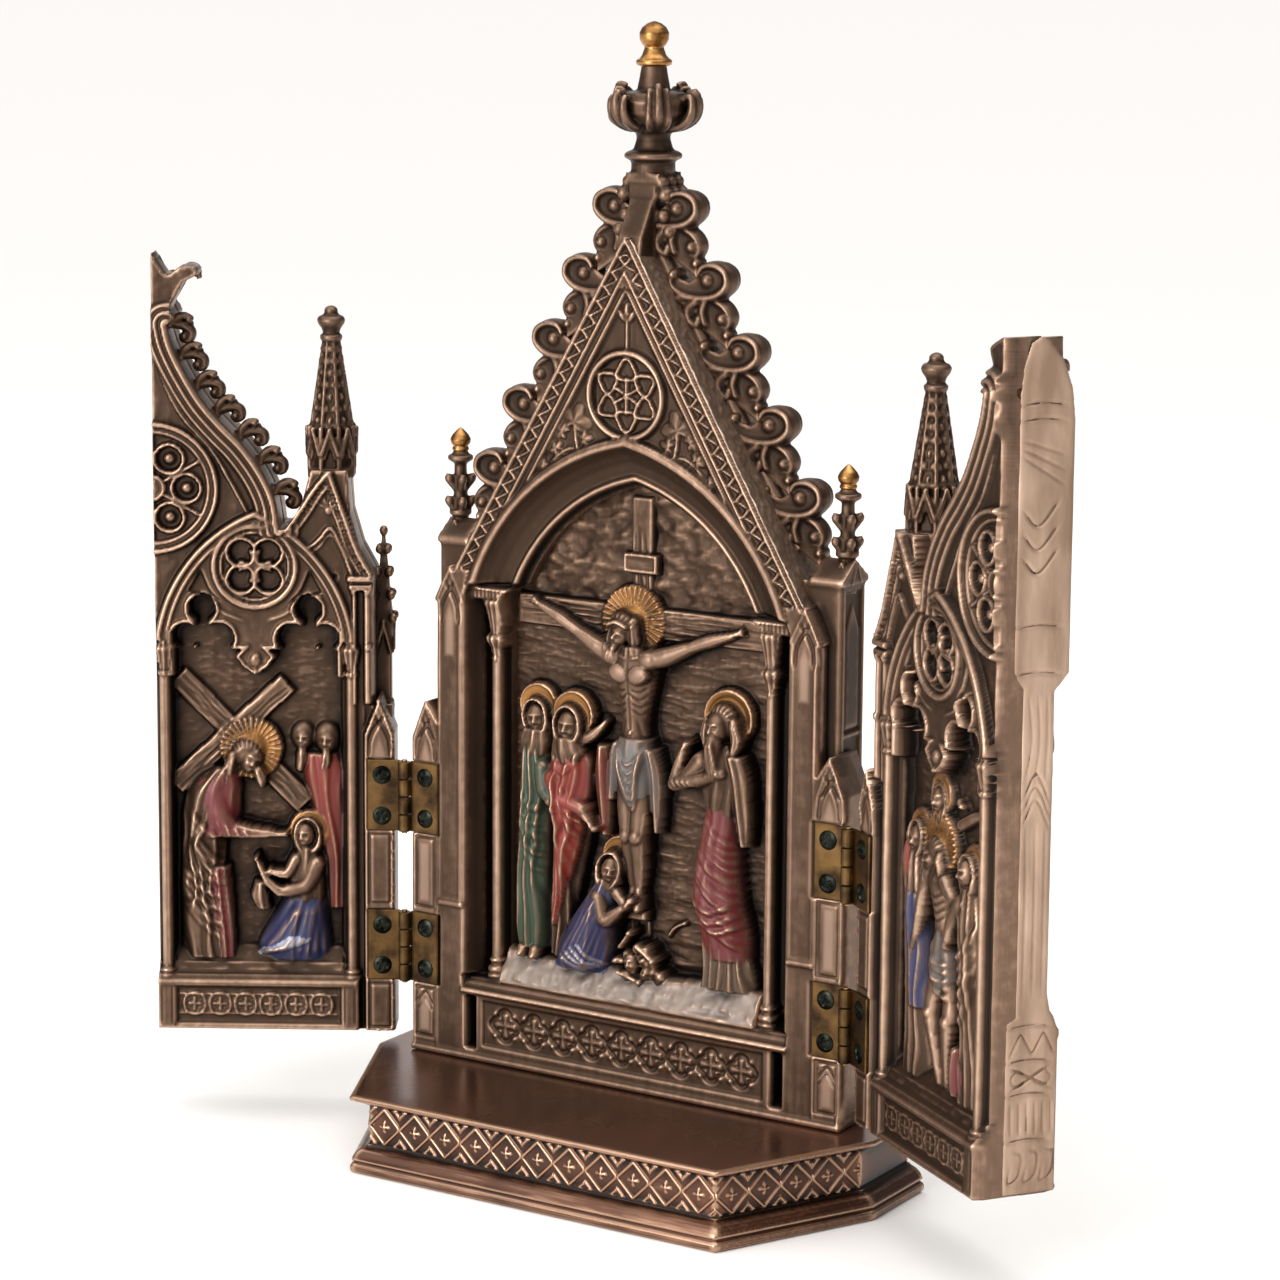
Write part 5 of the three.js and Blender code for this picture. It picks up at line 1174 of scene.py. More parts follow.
def wingTracery(relief, inner):
    # the pierced head: a quatrefoil circle over two trefoiled bays that meet in a pendant
    u, z = relief.x, relief.z
    a, m = np.abs(u - lancetMiddle), lancetMiddle
    x = u - m
    opening = boxGap(a, z, -1, 21.2, 40, 126.4)
    for cu, cz, r in ((13.9, 137.0, 3.5), (18.2, 129.4, 3.6), (9.6, 129.2, 4.0)):
        opening = np.minimum(opening, np.hypot(a - cu, z - cz) - r)
    opening = np.minimum(opening, boxGap(a, z, 12.2, 15.6, 126, 136))
    hanging = polygonGap(a, z, [(-1, 119.6), (0.4, 119.6), (3.4, 121.8), (5.4, 124.6), (2.8, 127.2), (4.4, 130.4),
                                (6.6, 133), (-1, 133)])
    opening = np.maximum(opening, -hanging)
    opening = np.maximum(opening, 2.2 - inner)
    plate = (inner > 1.4) & (opening > 0) & (z > 119)
    relief.fill(plate, 2.6)
    bead(relief, np.where((z > 119) & (z < 142), opening - 0.55, far), 0.6, 1.7)
    circle = circleGap(u, z, m, 148.3, 10.6)
    relief.fill(circle < 0, 3.5)
    bead(relief, circle, 0.95, 1.3)
    bead(relief, circle + 1.7, 0.45, 2.2)
    foils = np.full(u.shape, far)
    for a in spokes(4, math.pi / 4):
        foils = np.minimum(foils, circleGap(u, z, *around(m, 148.3, 5.0, a), 3.7))
    relief.fill(foils < 0, 4.6)
    bead(relief, foils, 0.6, 2.0)
    du, dz = np.abs(u - m), np.abs(z - 148.3)
    cross = np.minimum(np.maximum(du - 0.7 - dz * 0.22, dz - 4.4), np.maximum(dz - 0.7 - du * 0.22, du - 4.4))
    relief.plate(cross, 2.4, 0.5)
    for side in (-1, 1):
        spandrel = polygonGap(side * x, z, [(8.6, 138.4), (12, 142.4), (14.2, 147.6), (17.6, 141.4), (19.4, 136),
                                            (17.8, 141.6)])
        relief.cut(spandrel, 4.0, 0.4)
        relief.stroke([(m + side * 3.4, 134), (m + side * 9, 136.6), (m + side * 12, 142)], 0.6, 0.5)
        relief.dome(m + side * 2.1, 126.8, 0.9, 0.9, 3.6, -1.2)
    for k in range(3):
        relief.stroke([(m - 3 + k * 3, 124), (m, 121), (m, 120)], 0.4, 0.4)
    relief.dome(m, 123.6, 1.5, 1.8, 1.5, 0.9)


def halfRose(relief):
    u, z = relief.x, relief.z
    cu, cz = roseMiddle
    out = np.hypot(u - cu, z - cz)
    disc = profile(out, [(0, 3.9), (13.8, 3.9), (14.1, 2.9), (14.9, 2.6), (15.2, 3.2), (15.8, 3.2), (16.0, 1.7),
                         (17.0, 1.5), (17.4, 2.6)])
    relief.fill(out < 17.4, disc)
    for a in spokes(6, math.pi / 2 + math.pi / 6):
        middle = around(cu, cz, 8.8, a)
        gap = circleGap(u, z, *middle, 3.7)
        bead(relief, gap, 0.6, 2.2)
        relief.fill(gap < -0.5, 4.6)
        relief.dome(*middle, 1.5, 1.5, 3.2, 1.2)
        relief.line([around(cu, cz, r, a + math.pi / 6) for r in (4, 13.6)], 0.5, 2.4, False)
    bead(relief, out - 3.0, 0.6, 2.2)
    relief.put(np.where(out < 2.4, 2.4 + 0.1 * out ** 2, far))


def wingHead(relief, inner):
    # the lancet's rim, the half gable's ogee mouldings and the turret's base
    u, z = relief.x, relief.z
    line = curve(ogeeLine, 0.8)
    part, gap, _ = relief.spine(line, 9)
    toOgee = np.full(u.shape, far)
    toOgee[part] = gap
    steps = [(0, 0.9), (0.4, 0.5), (1.3, 0.4), (1.6, 1.6), (2.1, 1.7), (2.4, 0.9), (3.3, 0.8), (3.6, 2.0),
             (4.1, 2.2), (4.4, 1.5), (5.1, 1.4), (5.5, 2.6), (6.2, 3.6), (9, 3.6)]
    upper = (z > 156) & (toOgee < 8.9)
    relief.build(upper, profile(toOgee, steps))
    relief.line([(41, 162.5), (45, 170), (50, 178.6), (57, 186.6), (61.6, 195), (65, 206)], 0.5, 2.6)
    rimZone = (z > 128.4) & (inner > -1.2) & (inner < 2.6)
    rim = profile(inner, [(-1.2, 3.0), (-0.9, 1.2), (-0.2, 0.9), (0.5, 1.2), (0.8, 2.2), (1.2, 2.3), (1.5, 1.6),
                          (2.2, 1.7), (2.5, 2.7)])
    relief.build(rimZone, rim)
    # gablet of the turret's base, with rope ribs
    base = polygonGap(u, z, turretBase + [(8.2, 128), (14, 128), (18, 146), (31, 158)])
    relief.build(base < 0, 2.6)
    left = [(8.8, 146.4), (12.2, 152.4), (15.0, 160), (17.2, 166.4), (19.5, 173.2)]
    right = [(30.6, 158.4), (27.2, 162.6), (24.2, 167.4), (22.0, 170.4), (19.6, 173.2)]
    for rib, sign in ((left, 1), (right, -1)):
        relief.line(rib, 0.75, 0.6)
        relief.line([(a + sign * 1.9, b - 1.2) for a, b in rib[:-1]], 0.5, 1.5)
        rope = curve(rib, 1.0)
        for k in range(0, len(rope) - 1):
            p = rope[k]
            relief.dome(p[0] + sign * 1.0, p[1] - 0.6, 0.5, 0.42, 1.3, 0.4, 0.7 * sign)
    smallArch = [(13.6, 146.4), (16.2, 153.4), (19.2, 158.6), (22.2, 155.4), (25.4, 153)]
    relief.line(smallArch, 0.55, 1.4)
    relief.line([(a, b - 1.8) for a, b in smallArch], 0.35, 1.9)
    strands(relief, (19.6, 163.4, 1.2, 1.2), (19.6, 163.4, 3.2, 3.4), 0.5, 0.62, 5, 0.5)
    relief.dome(19.6, 163.2, 1.3, 1.3, 1.6, 0.9)
    strip(relief, 8.2, 14.6, 142.6, 144, 0.6)
    strip(relief, 8.0, 15, 144.4, 146.2, 0.2)
    for shaft in (9.8, 12.6):
        turnedForm(relief, shaft, 2.2, [(112, 1.2), (141, 1.2), (141.4, 1.6), (142.4, 1.8)])
        turnedForm(relief, shaft, 2.2, [(126.4, 1.7), (128.2, 1.7)])
    # the half finial against the free edge
    relief.plate(boxGap(u, z, 59.2, 66, 210.6, 213.2), 6.2, 0.9)
    relief.limb([(63.6, 213), (62.4, 218), (64, 223.6)], [3.2, 2.2, 2.0], [7.0, 8.0, 8.6])
    leaf(relief, 59, 220.4, 6.0, 2.6, 8.0)
    leaf(relief, 64.6, 222.6, 5.0, 1.6, 7.4)
    relief.limb([(62, 216), (58.4, 221.8), (55, 224.8)], [1.4, 1.3, 0.9], [6.8, 6.6, 7.4])


def wingFront(side, scene):
    s = wingSizes
    relief = Relief((2.4, 65.4), (24.0, 230.4), s["step"], s["field"])
    u, z = relief.x, relief.z
    inner = -archGap(u - lancetMiddle, z, lancetArch)
    relief.depth += 0.12 * noise(u, z, 2.4, 7)
    niche = np.minimum(inner - 2.6, np.minimum(u - 17.2, 60.8 - u))
    back = s["niche"] + 0.22 * noise(u * 0.6, z * 2.2, 5, 101) + 0.12 * noise(u, z * 2.6, 2, 102)
    relief.fill((niche > 0) & (z > 42), back)
    reveal = profile(np.minimum(u - 14.8, 63.0 - u), [(0, 4.4), (1.4, 5.0), (2.0, 6.4), (2.4, 8.3)])
    relief.fill((z > 42) & (z < 130) & (u > 12.4) & (niche <= 0), reveal)
    scene(relief)
    wingTracery(relief, inner)
    halfRose(relief)
    wingHead(relief, inner)
    relief.fill((u > 10.6) & (u < 12.4) & (z < 142), 3.2)
    capital = [(119.2, 1.5), (119.5, 2.1), (120.4, 2.1), (120.8, 1.6), (123.4, 2.2), (125.6, 2.6), (126.2, 2.8),
               (127, 2.8), (127.3, 2.1), (128.6, 1.8)]
    footing = [(38.2, 2.6), (39.2, 2.6), (39.6, 2.0), (40.4, 2.3), (41, 1.6), (41.6, 1.5)]
    for column in nicheColumns:
        turnedForm(relief, column, 3.0, [(41, 1.5), (119.6, 1.5)])
        turnedForm(relief, column, 3.0, capital, flutes=9, bite=0.5)
        turnedForm(relief, column, 3.0, [(128.4, 1.3), (131.6, 1.2)])
    wingPedestal(relief)
    for column in nicheColumns:
        turnedForm(relief, column, 3.0, footing)
    gabledHead(relief, 2.8, 10.6, s["foot"], 104.5, 114.6, 0.0)
    for low, high in ((59.2, 78.4), (25.4, 38.0)):
        relief.cut(boxGap(u, z, 3.4, 10.0, low, high), 0.9, 0.3)
        strip(relief, 4.0, 9.0, low + 0.6, high - 0.6, 0.15)
    hingePockets(relief, 0, 10.1)
    relief.depth += handMark * noise(u, z * 0.25, 1.5, 6)
    relief.soften()
    gap = polygonGap(u, z, wingOutline(side))
    name = side + "_wing_face"
    piece = castPiece(name, relief, gap, s["hollowBack"], wingPlace(side), side + "_wing", castFinish,
                      side == "left")
    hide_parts(side + "_wing")
    print(name, len(piece.data.polygons))


def groundLedge(relief, seed):
    u, z = relief.x, relief.z
    within = (np.minimum(u - 16.4, 61 - u) > 0) & (z > 40) & (z < 46)
    relief.put(np.where(within, 7.2 - (46 - z) * 0.8 + 0.4 * noise(u, z, 3, seed), far))


def meeting(relief):
    # on the way: he stoops under the cross towards a kneeling woman, with two men behind
    groundLedge(relief, 111)
    beam(relief, (31, 117), (61, 89), 3.0, 5.6, 112)
    beam(relief, (26.5, 84), (60, 118.5), 3.2, 6.4, 113)
    # the two men
    for cu, cz, r, front, seed in ((27.2, 102.0, 3.3, 5.0, 115), (20.8, 101.6, 3.6, 4.4, 116)):
        relief.dome(cu, cz + 0.6, r * 1.02, r * 1.25, front + 0.6, r)
        face(relief, cu, cz, r, front, tilt=0.05, look=0.12)
        locks(relief, [(cu + 0.2, cz - 3), (cu + 0.3, cz - 5.6), (cu + 0.8, cz - 8)], 1.7, front + 0.4, 4, 0.9,
              seed)
    coat = [(56, 18.6, 2.2, 6.0), (70, 19.0, 3.0, 5.4), (84, 20.6, 4.6, 4.9), (93, 21.6, 5.8, 4.8),
            (98, 22.4, 4.6, 5.4)]
    robe(relief, coat, 3, rise=3, deep=0.7, seed=117, colour=paints["red"], amount=0.85)
    # the stooping figure
    halo(relief, 40.6, 99.4, 8.3, 4.9, rays=32)
    cloak = [(43, 52.4, 7.6, 3.2), (56, 53, 7.0, 2.6), (70, 53.4, 6.2, 2.4), (82, 52.6, 6.6, 2.0),
             (90, 50.6, 6.4, 2.0), (94.6, 47.6, 3.4, 3.0)]
    robe(relief, cloak, 4, rise=4.8, deep=0.9, seed=118, wave=0.8)
    inside = [(43, 47.8, 2.8, 3.6), (56, 48.6, 3.2, 2.6), (68, 49.4, 3.2, 2.2)]
    robe(relief, inside, 3, rise=3, deep=0.8, seed=119, colour=paints["crimson"], amount=0.85)
    robe(relief, [(76, 50.2, 6.2, 2.2), (84, 50.4, 7.0, 1.6), (90, 49.6, 6.4, 1.8), (93.6, 47.8, 4, 2.8)], 3,
         rise=4, deep=0.6, seed=120, colour=paints["crimson"], amount=0.88)
    sweep(relief, [(57, 84), (56, 74)], [(45, 76), (47, 62)], 7, 2.4, 0.9, 0.8, seed=121)
    sweep(relief, [(58, 70), (60, 60)], [(46, 66), (48, 46)], 5, 2, 0.8, 0.7, seed=122)
    relief.limb([(50, 88), (48.6, 82), (46.4, 78.4)], [3.8, 3.4, 2.6], [1.4, 0.9, 1.0], paints["crimson"], 0.88)
    relief.limb([(46.8, 78.2), (40.4, 77.4), (35.6, 77.2)], [2.6, 1.9, 1.2], [1.1, 1.3, 1.6], paints["crimson"],
                0.88)
    for k in range(4):
        relief.stroke([(49.4 - k * 2.4, 80.6 - k * 0.7), (48.4 - k * 2.4, 76.4)], 0.5, 0.45)
    relief.limb([(36.4, 77.3), (33.6, 77)], [1.1, 0.9], [1.6, 1.9])
    hand(relief, 33.0, 77.0, math.pi, 1.0, 1.8)
    relief.dome(41.8, 98.2, 4.4, 4.2, 3.0, 3.6, 0.4)
    locks(relief, [(45.2, 97.6), (46.4, 94), (46.6, 90.4)], 1.9, 3.0, 4, 0.9, 123)
    face(relief, 40.4, 96.6, 3.9, 2.2, tilt=0.5, look=-0.2)
    locks(relief, [(38.8, 94), (38, 92), (37.8, 90)], 1.6, 2.6, 4, 0.8, 124)
    strands(relief, (41.4, 97.8, 2.4, 2), (41.8, 98.2, 4.3, 4.1), 0.5, 0.36, 7)
    # the kneeling woman
    halo(relief, 25.6, 77.6, 5.4, 5.2)
    skirt = [(42.6, 29.4, 10.2, 3.4), (47, 29.6, 9.8, 2.4), (53, 28.4, 7.8, 2.2), (59, 26.8, 5.8, 2.4),
             (63, 26.4, 4.8, 2.6)]
    robe(relief, skirt, 3, rise=4.6, deep=0.5, lean=-0.5, seed=125, colour=paints["blue"], amount=0.88)
    sweep(relief, [(22, 58), (29, 58)], [(20.4, 44), (38.6, 45)], 8, 0.8, 0.75, 0.8, seed=126)
    # pale blue painted on the fold crests of the hem as painted highlight
    sweep(relief, [(24, 49), (30, 50)], [(38, 46), (39.6, 44)], 4, 0.8, 0.55, 0.5, seed=127, colour="#b9c2d6",
          amount=0.6)
    robe(relief, [(58, 26.6, 5.2, 2.6), (64, 26.6, 5.2, 2.0), (70, 26.2, 4.4, 2.4), (73.4, 26.2, 3, 3.2)], 3,
         rise=3.6, deep=0.5, seed=128)
    relief.limb([(23.6, 69), (26.4, 63.4), (33, 61.6)], [2.2, 2.1, 1.6], [1.4, 0.9, 1.0])
    relief.limb([(33, 61.6), (36.4, 64.6), (38.4, 68.4)], [1.6, 1.3, 0.9], [1.0, 1.3, 1.8])
    hand(relief, 38.8, 69.2, 1.2, 0.95, 1.8)
    relief.limb([(29, 70), (31.4, 66.4), (35.6, 67)], [1.8, 1.5, 1.1], [1.8, 1.5, 1.8])
    robe(relief, [(56, 37.6, 1.8, 3.2), (60, 38.6, 2.4, 2.6), (64, 38.4, 1.6, 2.8)], 2, rise=2, deep=0.4, seed=129)
    face(relief, 26.6, 76.6, 3.5, 2.2, tilt=-0.1, look=0.24)
    veil(relief, 26.0, 76.8, 4.0, 2.8, -0.1)


def descent(relief):
    # his body held up between a woman in blue and one who bends beside him
    groundLedge(relief, 131)
    halo(relief, 34.0, 113.4, 5.2, 6.2)
    face(relief, 33.6, 111.8, 3.6, 4.4, tilt=0.2, look=0.1)
    veil(relief, 33.8, 112, 4.0, 5.0, 0.2)
    relief.limb([(44, 108), (50, 111), (55, 112.6)], [1.6, 1.5, 1.2], [5.8, 5.8, 6.2])
    hand(relief, 44.4, 112.6, 2.6, 1.1, 5.6)
    # the woman in blue
    cloak = [(43, 24.6, 7.2, 4.2), (56, 25.2, 6.0, 3.8), (70, 25.4, 5.2, 3.2), (84, 25.4, 5.2, 2.8),
             (94, 25, 4.6, 3.2), (98, 24.8, 3.2, 4)]
    robe(relief, cloak, 4, rise=4.4, deep=0.85, seed=133, colour=paints["blue"], amount=0.0)
    mantle = [(60, 26.8, 3.4, 3.2), (70, 26.8, 4.8, 2.6), (82, 26.6, 5.0, 2.2), (88, 26, 4.6, 2.6)]
    robe(relief, mantle, 4, rise=3.6, deep=0.7, seed=134, colour=paints["blue"], amount=0.9)
    robe(relief, [(88, 22.8, 3.0, 3.4), (96, 22.8, 3.4, 3.0), (100, 23, 2.6, 3.6)], 2, rise=2.6, deep=0.5, seed=135,
         colour=paints["red"], amount=0.8)
    halo(relief, 24.0, 102.6, 5.2, 6.2)
    face(relief, 25.0, 100.8, 3.6, 3.0, tilt=-0.25, look=0.2)
    veil(relief, 24.6, 101, 4.1, 3.6, -0.2)
    # the body
    halo(relief, 35.4, 101.6, 8.0, 5.0, rays=32)
    for points, radii, fronts in (([(38.4, 74), (36.8, 67), (36.2, 61.6), (37.4, 53), (38.6, 45)],
                                   [2.9, 2.5, 2.1, 1.8, 1.3], [3.2, 2.6, 2.0, 3.2, 4.4]),
                                  ([(42.4, 74), (44.2, 67), (44.6, 61), (43.2, 53), (41.8, 45)],
                                   [2.9, 2.5, 2.1, 1.8, 1.3], [3.6, 3.0, 2.2, 3.4, 4.6])):
        relief.limb(points, radii, fronts)
    relief.dome(36.2, 61.4, 1.6, 1.9, 1.7, 1.2)
    relief.dome(44.6, 61, 1.6, 1.9, 1.9, 1.2)
    trunk = [(78, 40.2, 4.0, 3.2), (85, 39.2, 3.6, 3.0), (90, 38.2, 4.6, 2.6), (94, 37.6, 5.2, 2.6),
             (97.4, 37, 3, 3.6)]
    robe(relief, trunk, 1, rise=3.6, deep=0)
    for k in range(4):
        relief.stroke([(36 + k * 0.2, 91 - k * 1.9), (38.6 + k * 0.2, 90 - k * 1.9), (41.6, 91.4 - k * 1.9)], 0.42,
                      -0.3)
    cloth = [(66, 41.4, 5.0, 3.0), (72, 41.0, 5.4, 2.4), (78, 40.4, 4.8, 2.6), (82, 40, 4.0, 3.2)]
    robe(relief, cloth, 3, rise=3.4, deep=0.6, seed=136, colour=paints["pale"], amount=0.6)
    sweep(relief, [(36.4, 80), (37, 72)], [(45.6, 76), (46, 66)], 5, 1.6, 0.7, 0.6, seed=137)
    relief.limb([(33.6, 94.6), (31.2, 88.6), (30.6, 84)], [2.1, 1.8, 1.5], [2.6, 2.2, 2.0])
    relief.limb([(30.6, 84), (29.4, 79.6), (28.0, 75.6)], [1.5, 1.3, 1.0], [1.9, 2.0, 2.2])
    hand(relief, 27.6, 74.4, -1.9, 1.0, 2.2)
    relief.limb([(41.8, 94), (46.4, 91.2), (51, 91)], [2.1, 1.7, 1.2], [2.4, 2.2, 2.4])
    relief.dome(35.0, 100.2, 4.2, 4.0, 3.2, 3.4, 0.3)
    locks(relief, [(38.4, 99.4), (39.4, 96.4), (39.2, 93.6)], 1.7, 3.2, 3, 0.7, 138)
    face(relief, 33.8, 98.4, 3.7, 2.4, tilt=0.45, look=-0.16)
    locks(relief, [(32.6, 96), (32, 94.2), (32, 92.4)], 1.5, 2.8, 3, 0.7, 139)
    strands(relief, (34.8, 100, 2.3, 2), (35, 100.2, 4.1, 3.9), 0.6, 0.4, 6)
    # the one who bends beside him
    halo(relief, 51.6, 99.8, 5.4, 6.0)
    gown = [(43, 52.6, 7.0, 4.0), (54, 53.4, 5.8, 3.6), (66, 53.6, 5.0, 3.2), (78, 53.2, 5.4, 2.8),
            (88, 52.6, 5.4, 2.6), (95, 51.6, 3.2, 3.6)]
    robe(relief, gown, 5, rise=4.4, deep=0.9, seed=140)
    robe(relief, [(44, 48.4, 3.6, 3.4), (50, 48.6, 3.8, 2.8), (56, 49, 2.6, 3.0)], 3, rise=2.6, deep=0.7, seed=141,
         colour=paints["crimson"], amount=0.85)
    sweep(relief, [(57.6, 88), (57, 74)], [(49, 80), (49.6, 60)], 6, 2, 0.8, 0.7, seed=142)
    relief.limb([(50.4, 91), (47, 86), (45.2, 81.6)], [2.4, 2.1, 1.6], [1.8, 1.6, 1.8])
    hand(relief, 44.6, 80.2, -2.2, 1.0, 2.0)
    face(relief, 50.4, 98.2, 3.6, 2.8, tilt=0.2, look=-0.2)
    veil(relief, 50.8, 98.4, 4.1, 3.4, 0.2)


wingFront("left", meeting)
wingFront("right", descent)


class Clay:  # a heap of closed simple forms, in mm
    def __init__(self):
        self.points, self.faces = [], []

    def grid(self, rings):  # rings of points, capped at both ends
        start, n = len(self.points), len(rings[0])
        for ring in rings:
            self.points.extend(tuple(p) for p in ring)
        for i in range(len(rings) - 1):
            for j in range(n):
                a, b = start + i * n + j, start + i * n + (j + 1) % n
                self.faces.append((a, b, b + n, a + n))
        self.faces.append(tuple(range(start + n - 1, start - 1, -1)))
        last = start + (len(rings) - 1) * n
        self.faces.append(tuple(range(last, last + n)))

    def lathe(self, rows, cx, cy, sides, turn=0.0):
        self.grid([[(*around(cx, cy, r, a), z) for a in spokes(sides, turn)] for z, r in rows])

    def blob(self, centre, radii, sides=14, rows=8):
        (x, y, z), (rx, ry, rz) = centre, radii
        rings = []
        for i in [0.001, *range(1, rows), rows - 0.001]:
            t = -math.pi / 2 + math.pi * i / rows
            rings.append([(x + rx * math.cos(t) * math.cos(a), y + ry * math.cos(t) * math.sin(a),
                           z + rz * math.sin(t)) for a in spokes(sides)])
        self.grid(rings)

    def tube(self, points, radii, flat, sides=10):  # flat widens the tube along the third direction
        line = [Vector(p) for p in points]
        rings = []
        stops = np.linspace(0, 1, len(radii))
        for i, p in enumerate(line):
            way = (line[min(i + 1, len(line) - 1)] - line[max(i - 1, 0)]).normalized()
            side = Vector((0, 1, 0)) - way * way.y
            side = side.normalized() if side.length > 0.2 else Vector((1, 0, 0))
            other = way.cross(side)
            r = float(np.interp(i / (len(line) - 1), stops, radii))
            rings.append([tuple(p + side * (r * flat * math.cos(a)) + other * (r * math.sin(a)))
                          for a in spokes(sides)])
        self.grid(rings)

    def prism(self, outline, low, high, axis):
        def place(a, b, d):
            return {"y": (a, d, b), "x": (d, a, b), "z": (a, b, d)}[axis]
        self.grid([[place(a, b, low) for a, b in outline], [place(a, b, high) for a, b in outline]])

    def skin(self, voxel, smooth):
        # one even closed skin over everything
        mesh = bpy.data.meshes.new("heap")
        mesh.from_pydata(self.points, [], self.faces)
        facesOut(mesh)
        thing = newObject("heap", mesh)
        remesh = thing.modifiers.new("skin", "REMESH")
        remesh.mode = "VOXEL"
        remesh.voxel_size = voxel
        softer = thing.modifiers.new("soft", "SMOOTH")
        softer.iterations = smooth
        made = bpy.data.meshes.new_from_object(thing.evaluated_get(bpy.context.evaluated_depsgraph_get()))
        bpy.data.objects.remove(thing)
        bpy.data.meshes.remove(mesh)
        return made


def finishSkin(name, mesh, place, body, material, flip=False):
    points, faces = takeParts(mesh)
    if flip:
        faces = [f[::-1] for f in faces]
    piece = makeObject(name, place(*points.T), faces, body, material)
    return piece


def newTree(name, inputs):
    tree = bpy.data.node_groups.new(name, "GeometryNodeTree")
    tree.interface.new_socket("Geometry", in_out="INPUT", socket_type="NodeSocketGeometry")
    for label, kind in inputs:
        tree.interface.new_socket(label, in_out="INPUT", socket_type="NodeSocket" + kind)
    tree.interface.new_socket("Geometry", in_out="OUTPUT", socket_type="NodeSocketGeometry")
    return tree, tree.nodes.new("NodeGroupInput").outputs


def runTree(tree, values, points=((0, 0, 0),), turns=None):
    # gives the tree its sizes and returns the plain mesh that it makes
    mesh = bpy.data.meshes.new("spots")
    mesh.from_pydata([tuple(p) for p in points], [], [])
    if turns is not None:
        attribute = mesh.attributes.new("turn", "FLOAT_VECTOR", "POINT")
        attribute.data.foreach_set("vector", np.asarray(turns, np.float32).ravel())
    holder = newObject("spots", mesh)
    modifier = holder.modifiers.new("nodes", "NODES")
    modifier.node_group = tree
    for item in tree.interface.items_tree:
        if item.in_out == "INPUT" and item.name in values:
            modifier[item.identifier] = values[item.name]
    bpy.context.view_layer.update()
    made = bpy.data.meshes.new_from_object(holder.evaluated_get(bpy.context.evaluated_depsgraph_get()))
    bpy.data.objects.remove(holder)
    bpy.data.meshes.remove(mesh)
    return made


def rowTree():  # equal copies in a straight row
    tree, given = newTree("row of copies", [("Copy", "Object"), ("Count", "Int"), ("First", "Vector"),
                                            ("Step", "Vector"), ("Turn", "Vector"), ("Finish", "Material")])
    line = addNode(tree, "GeometryNodeMeshLine", {"Count": given["Count"], "Start Location": given["First"],
                                                  "Offset": given["Step"]})
    copy = addNode(tree, "GeometryNodeObjectInfo", {"Object": given["Copy"]})
    spread = addNode(tree, "GeometryNodeInstanceOnPoints", {"Points": line.outputs["Mesh"],
                                                            "Instance": copy.outputs["Geometry"],
                                                            "Rotation": given["Turn"]})
    real = addNode(tree, "GeometryNodeRealizeInstances", {"Geometry": spread.outputs[0]})
    dressed = addNode(tree, "GeometryNodeSetMaterial", {"Geometry": real.outputs[0], "Material": given["Finish"]})
    addNode(tree, "NodeGroupOutput", {"Geometry": dressed.outputs[0]})
    return tree


def spotTree():  # copies on given points, each with its own turn
    tree, given = newTree("copies on points", [("Copy", "Object"), ("Size", "Float"), ("Finish", "Material")])
    copy = addNode(tree, "GeometryNodeObjectInfo", {"Object": given["Copy"]})
    turn = addNode(tree, "GeometryNodeInputNamedAttribute", {"Name": "turn"}, data_type="FLOAT_VECTOR")
    spread = addNode(tree, "GeometryNodeInstanceOnPoints", {"Points": given["Geometry"],
                                                            "Instance": copy.outputs["Geometry"],
                                                            "Rotation": turn.outputs[0], "Scale": given["Size"]})
    real = addNode(tree, "GeometryNodeRealizeInstances", {"Geometry": spread.outputs[0]})
    dressed = addNode(tree, "GeometryNodeSetMaterial", {"Geometry": real.outputs[0], "Material": given["Finish"]})
    addNode(tree, "NodeGroupOutput", {"Geometry": dressed.outputs[0]})
    return tree


rows = rowTree()
spots = spotTree()


def dropUnit(unit):
    mesh = unit.data
    bpy.data.objects.remove(unit)
    bpy.data.meshes.remove(mesh)


crestSizes = {"middle": 12.5, "first": (6.1, 247.3), "step": (9.0, -17.2), "count": 5, "voxel": 0.42}
finialSizes = {"y": 13.5, "post": 3.8, "voxel": 0.4}
pierSizes = {"body": (48.4, 58.8), "cap": (50.6, 60.0), "edge": 58.9, "near": 6, "deep": 18, "foot": 20.9,
             "top": 156.4, "voxel": 0.55}
pinnacleSizes = {"x": 57.2, "y": 12.3}


def panelBody():
    s = panel
    relief = Relief((-52, 52), (20, 239), 0.9, 0.0)
    x, z = relief.x, relief.z
    outline = [(-s["half"], s["foot"]), (s["half"], s["foot"]), (s["half"], s["eaves"]), (0, s["apex"]),
               (-s["half"], s["eaves"])]
    gap = polygonGap(x, z, outline)
    rim = profile(-gap, [(0, 0.9), (0.9, 0), (6.2, 0), (7.2, 0.7)])
    relief.depth = rim + 0.1 * noise(x, z, 9, 201) + 0.05 * noise(x, z, 2.2, 202)
    piece = castPiece("panel_back", relief, gap, 12.2, lambda a, b, c: panelPlace(a, s["back"] - b, c), "shrine",
                      castFinish, True)
    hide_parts("centre_panel")


roofSizes = {"near": 1.4, "edge": 0.8, "step": 0.42, "thick": 0.6, "rough": 0.16, "lumps": 0.22}


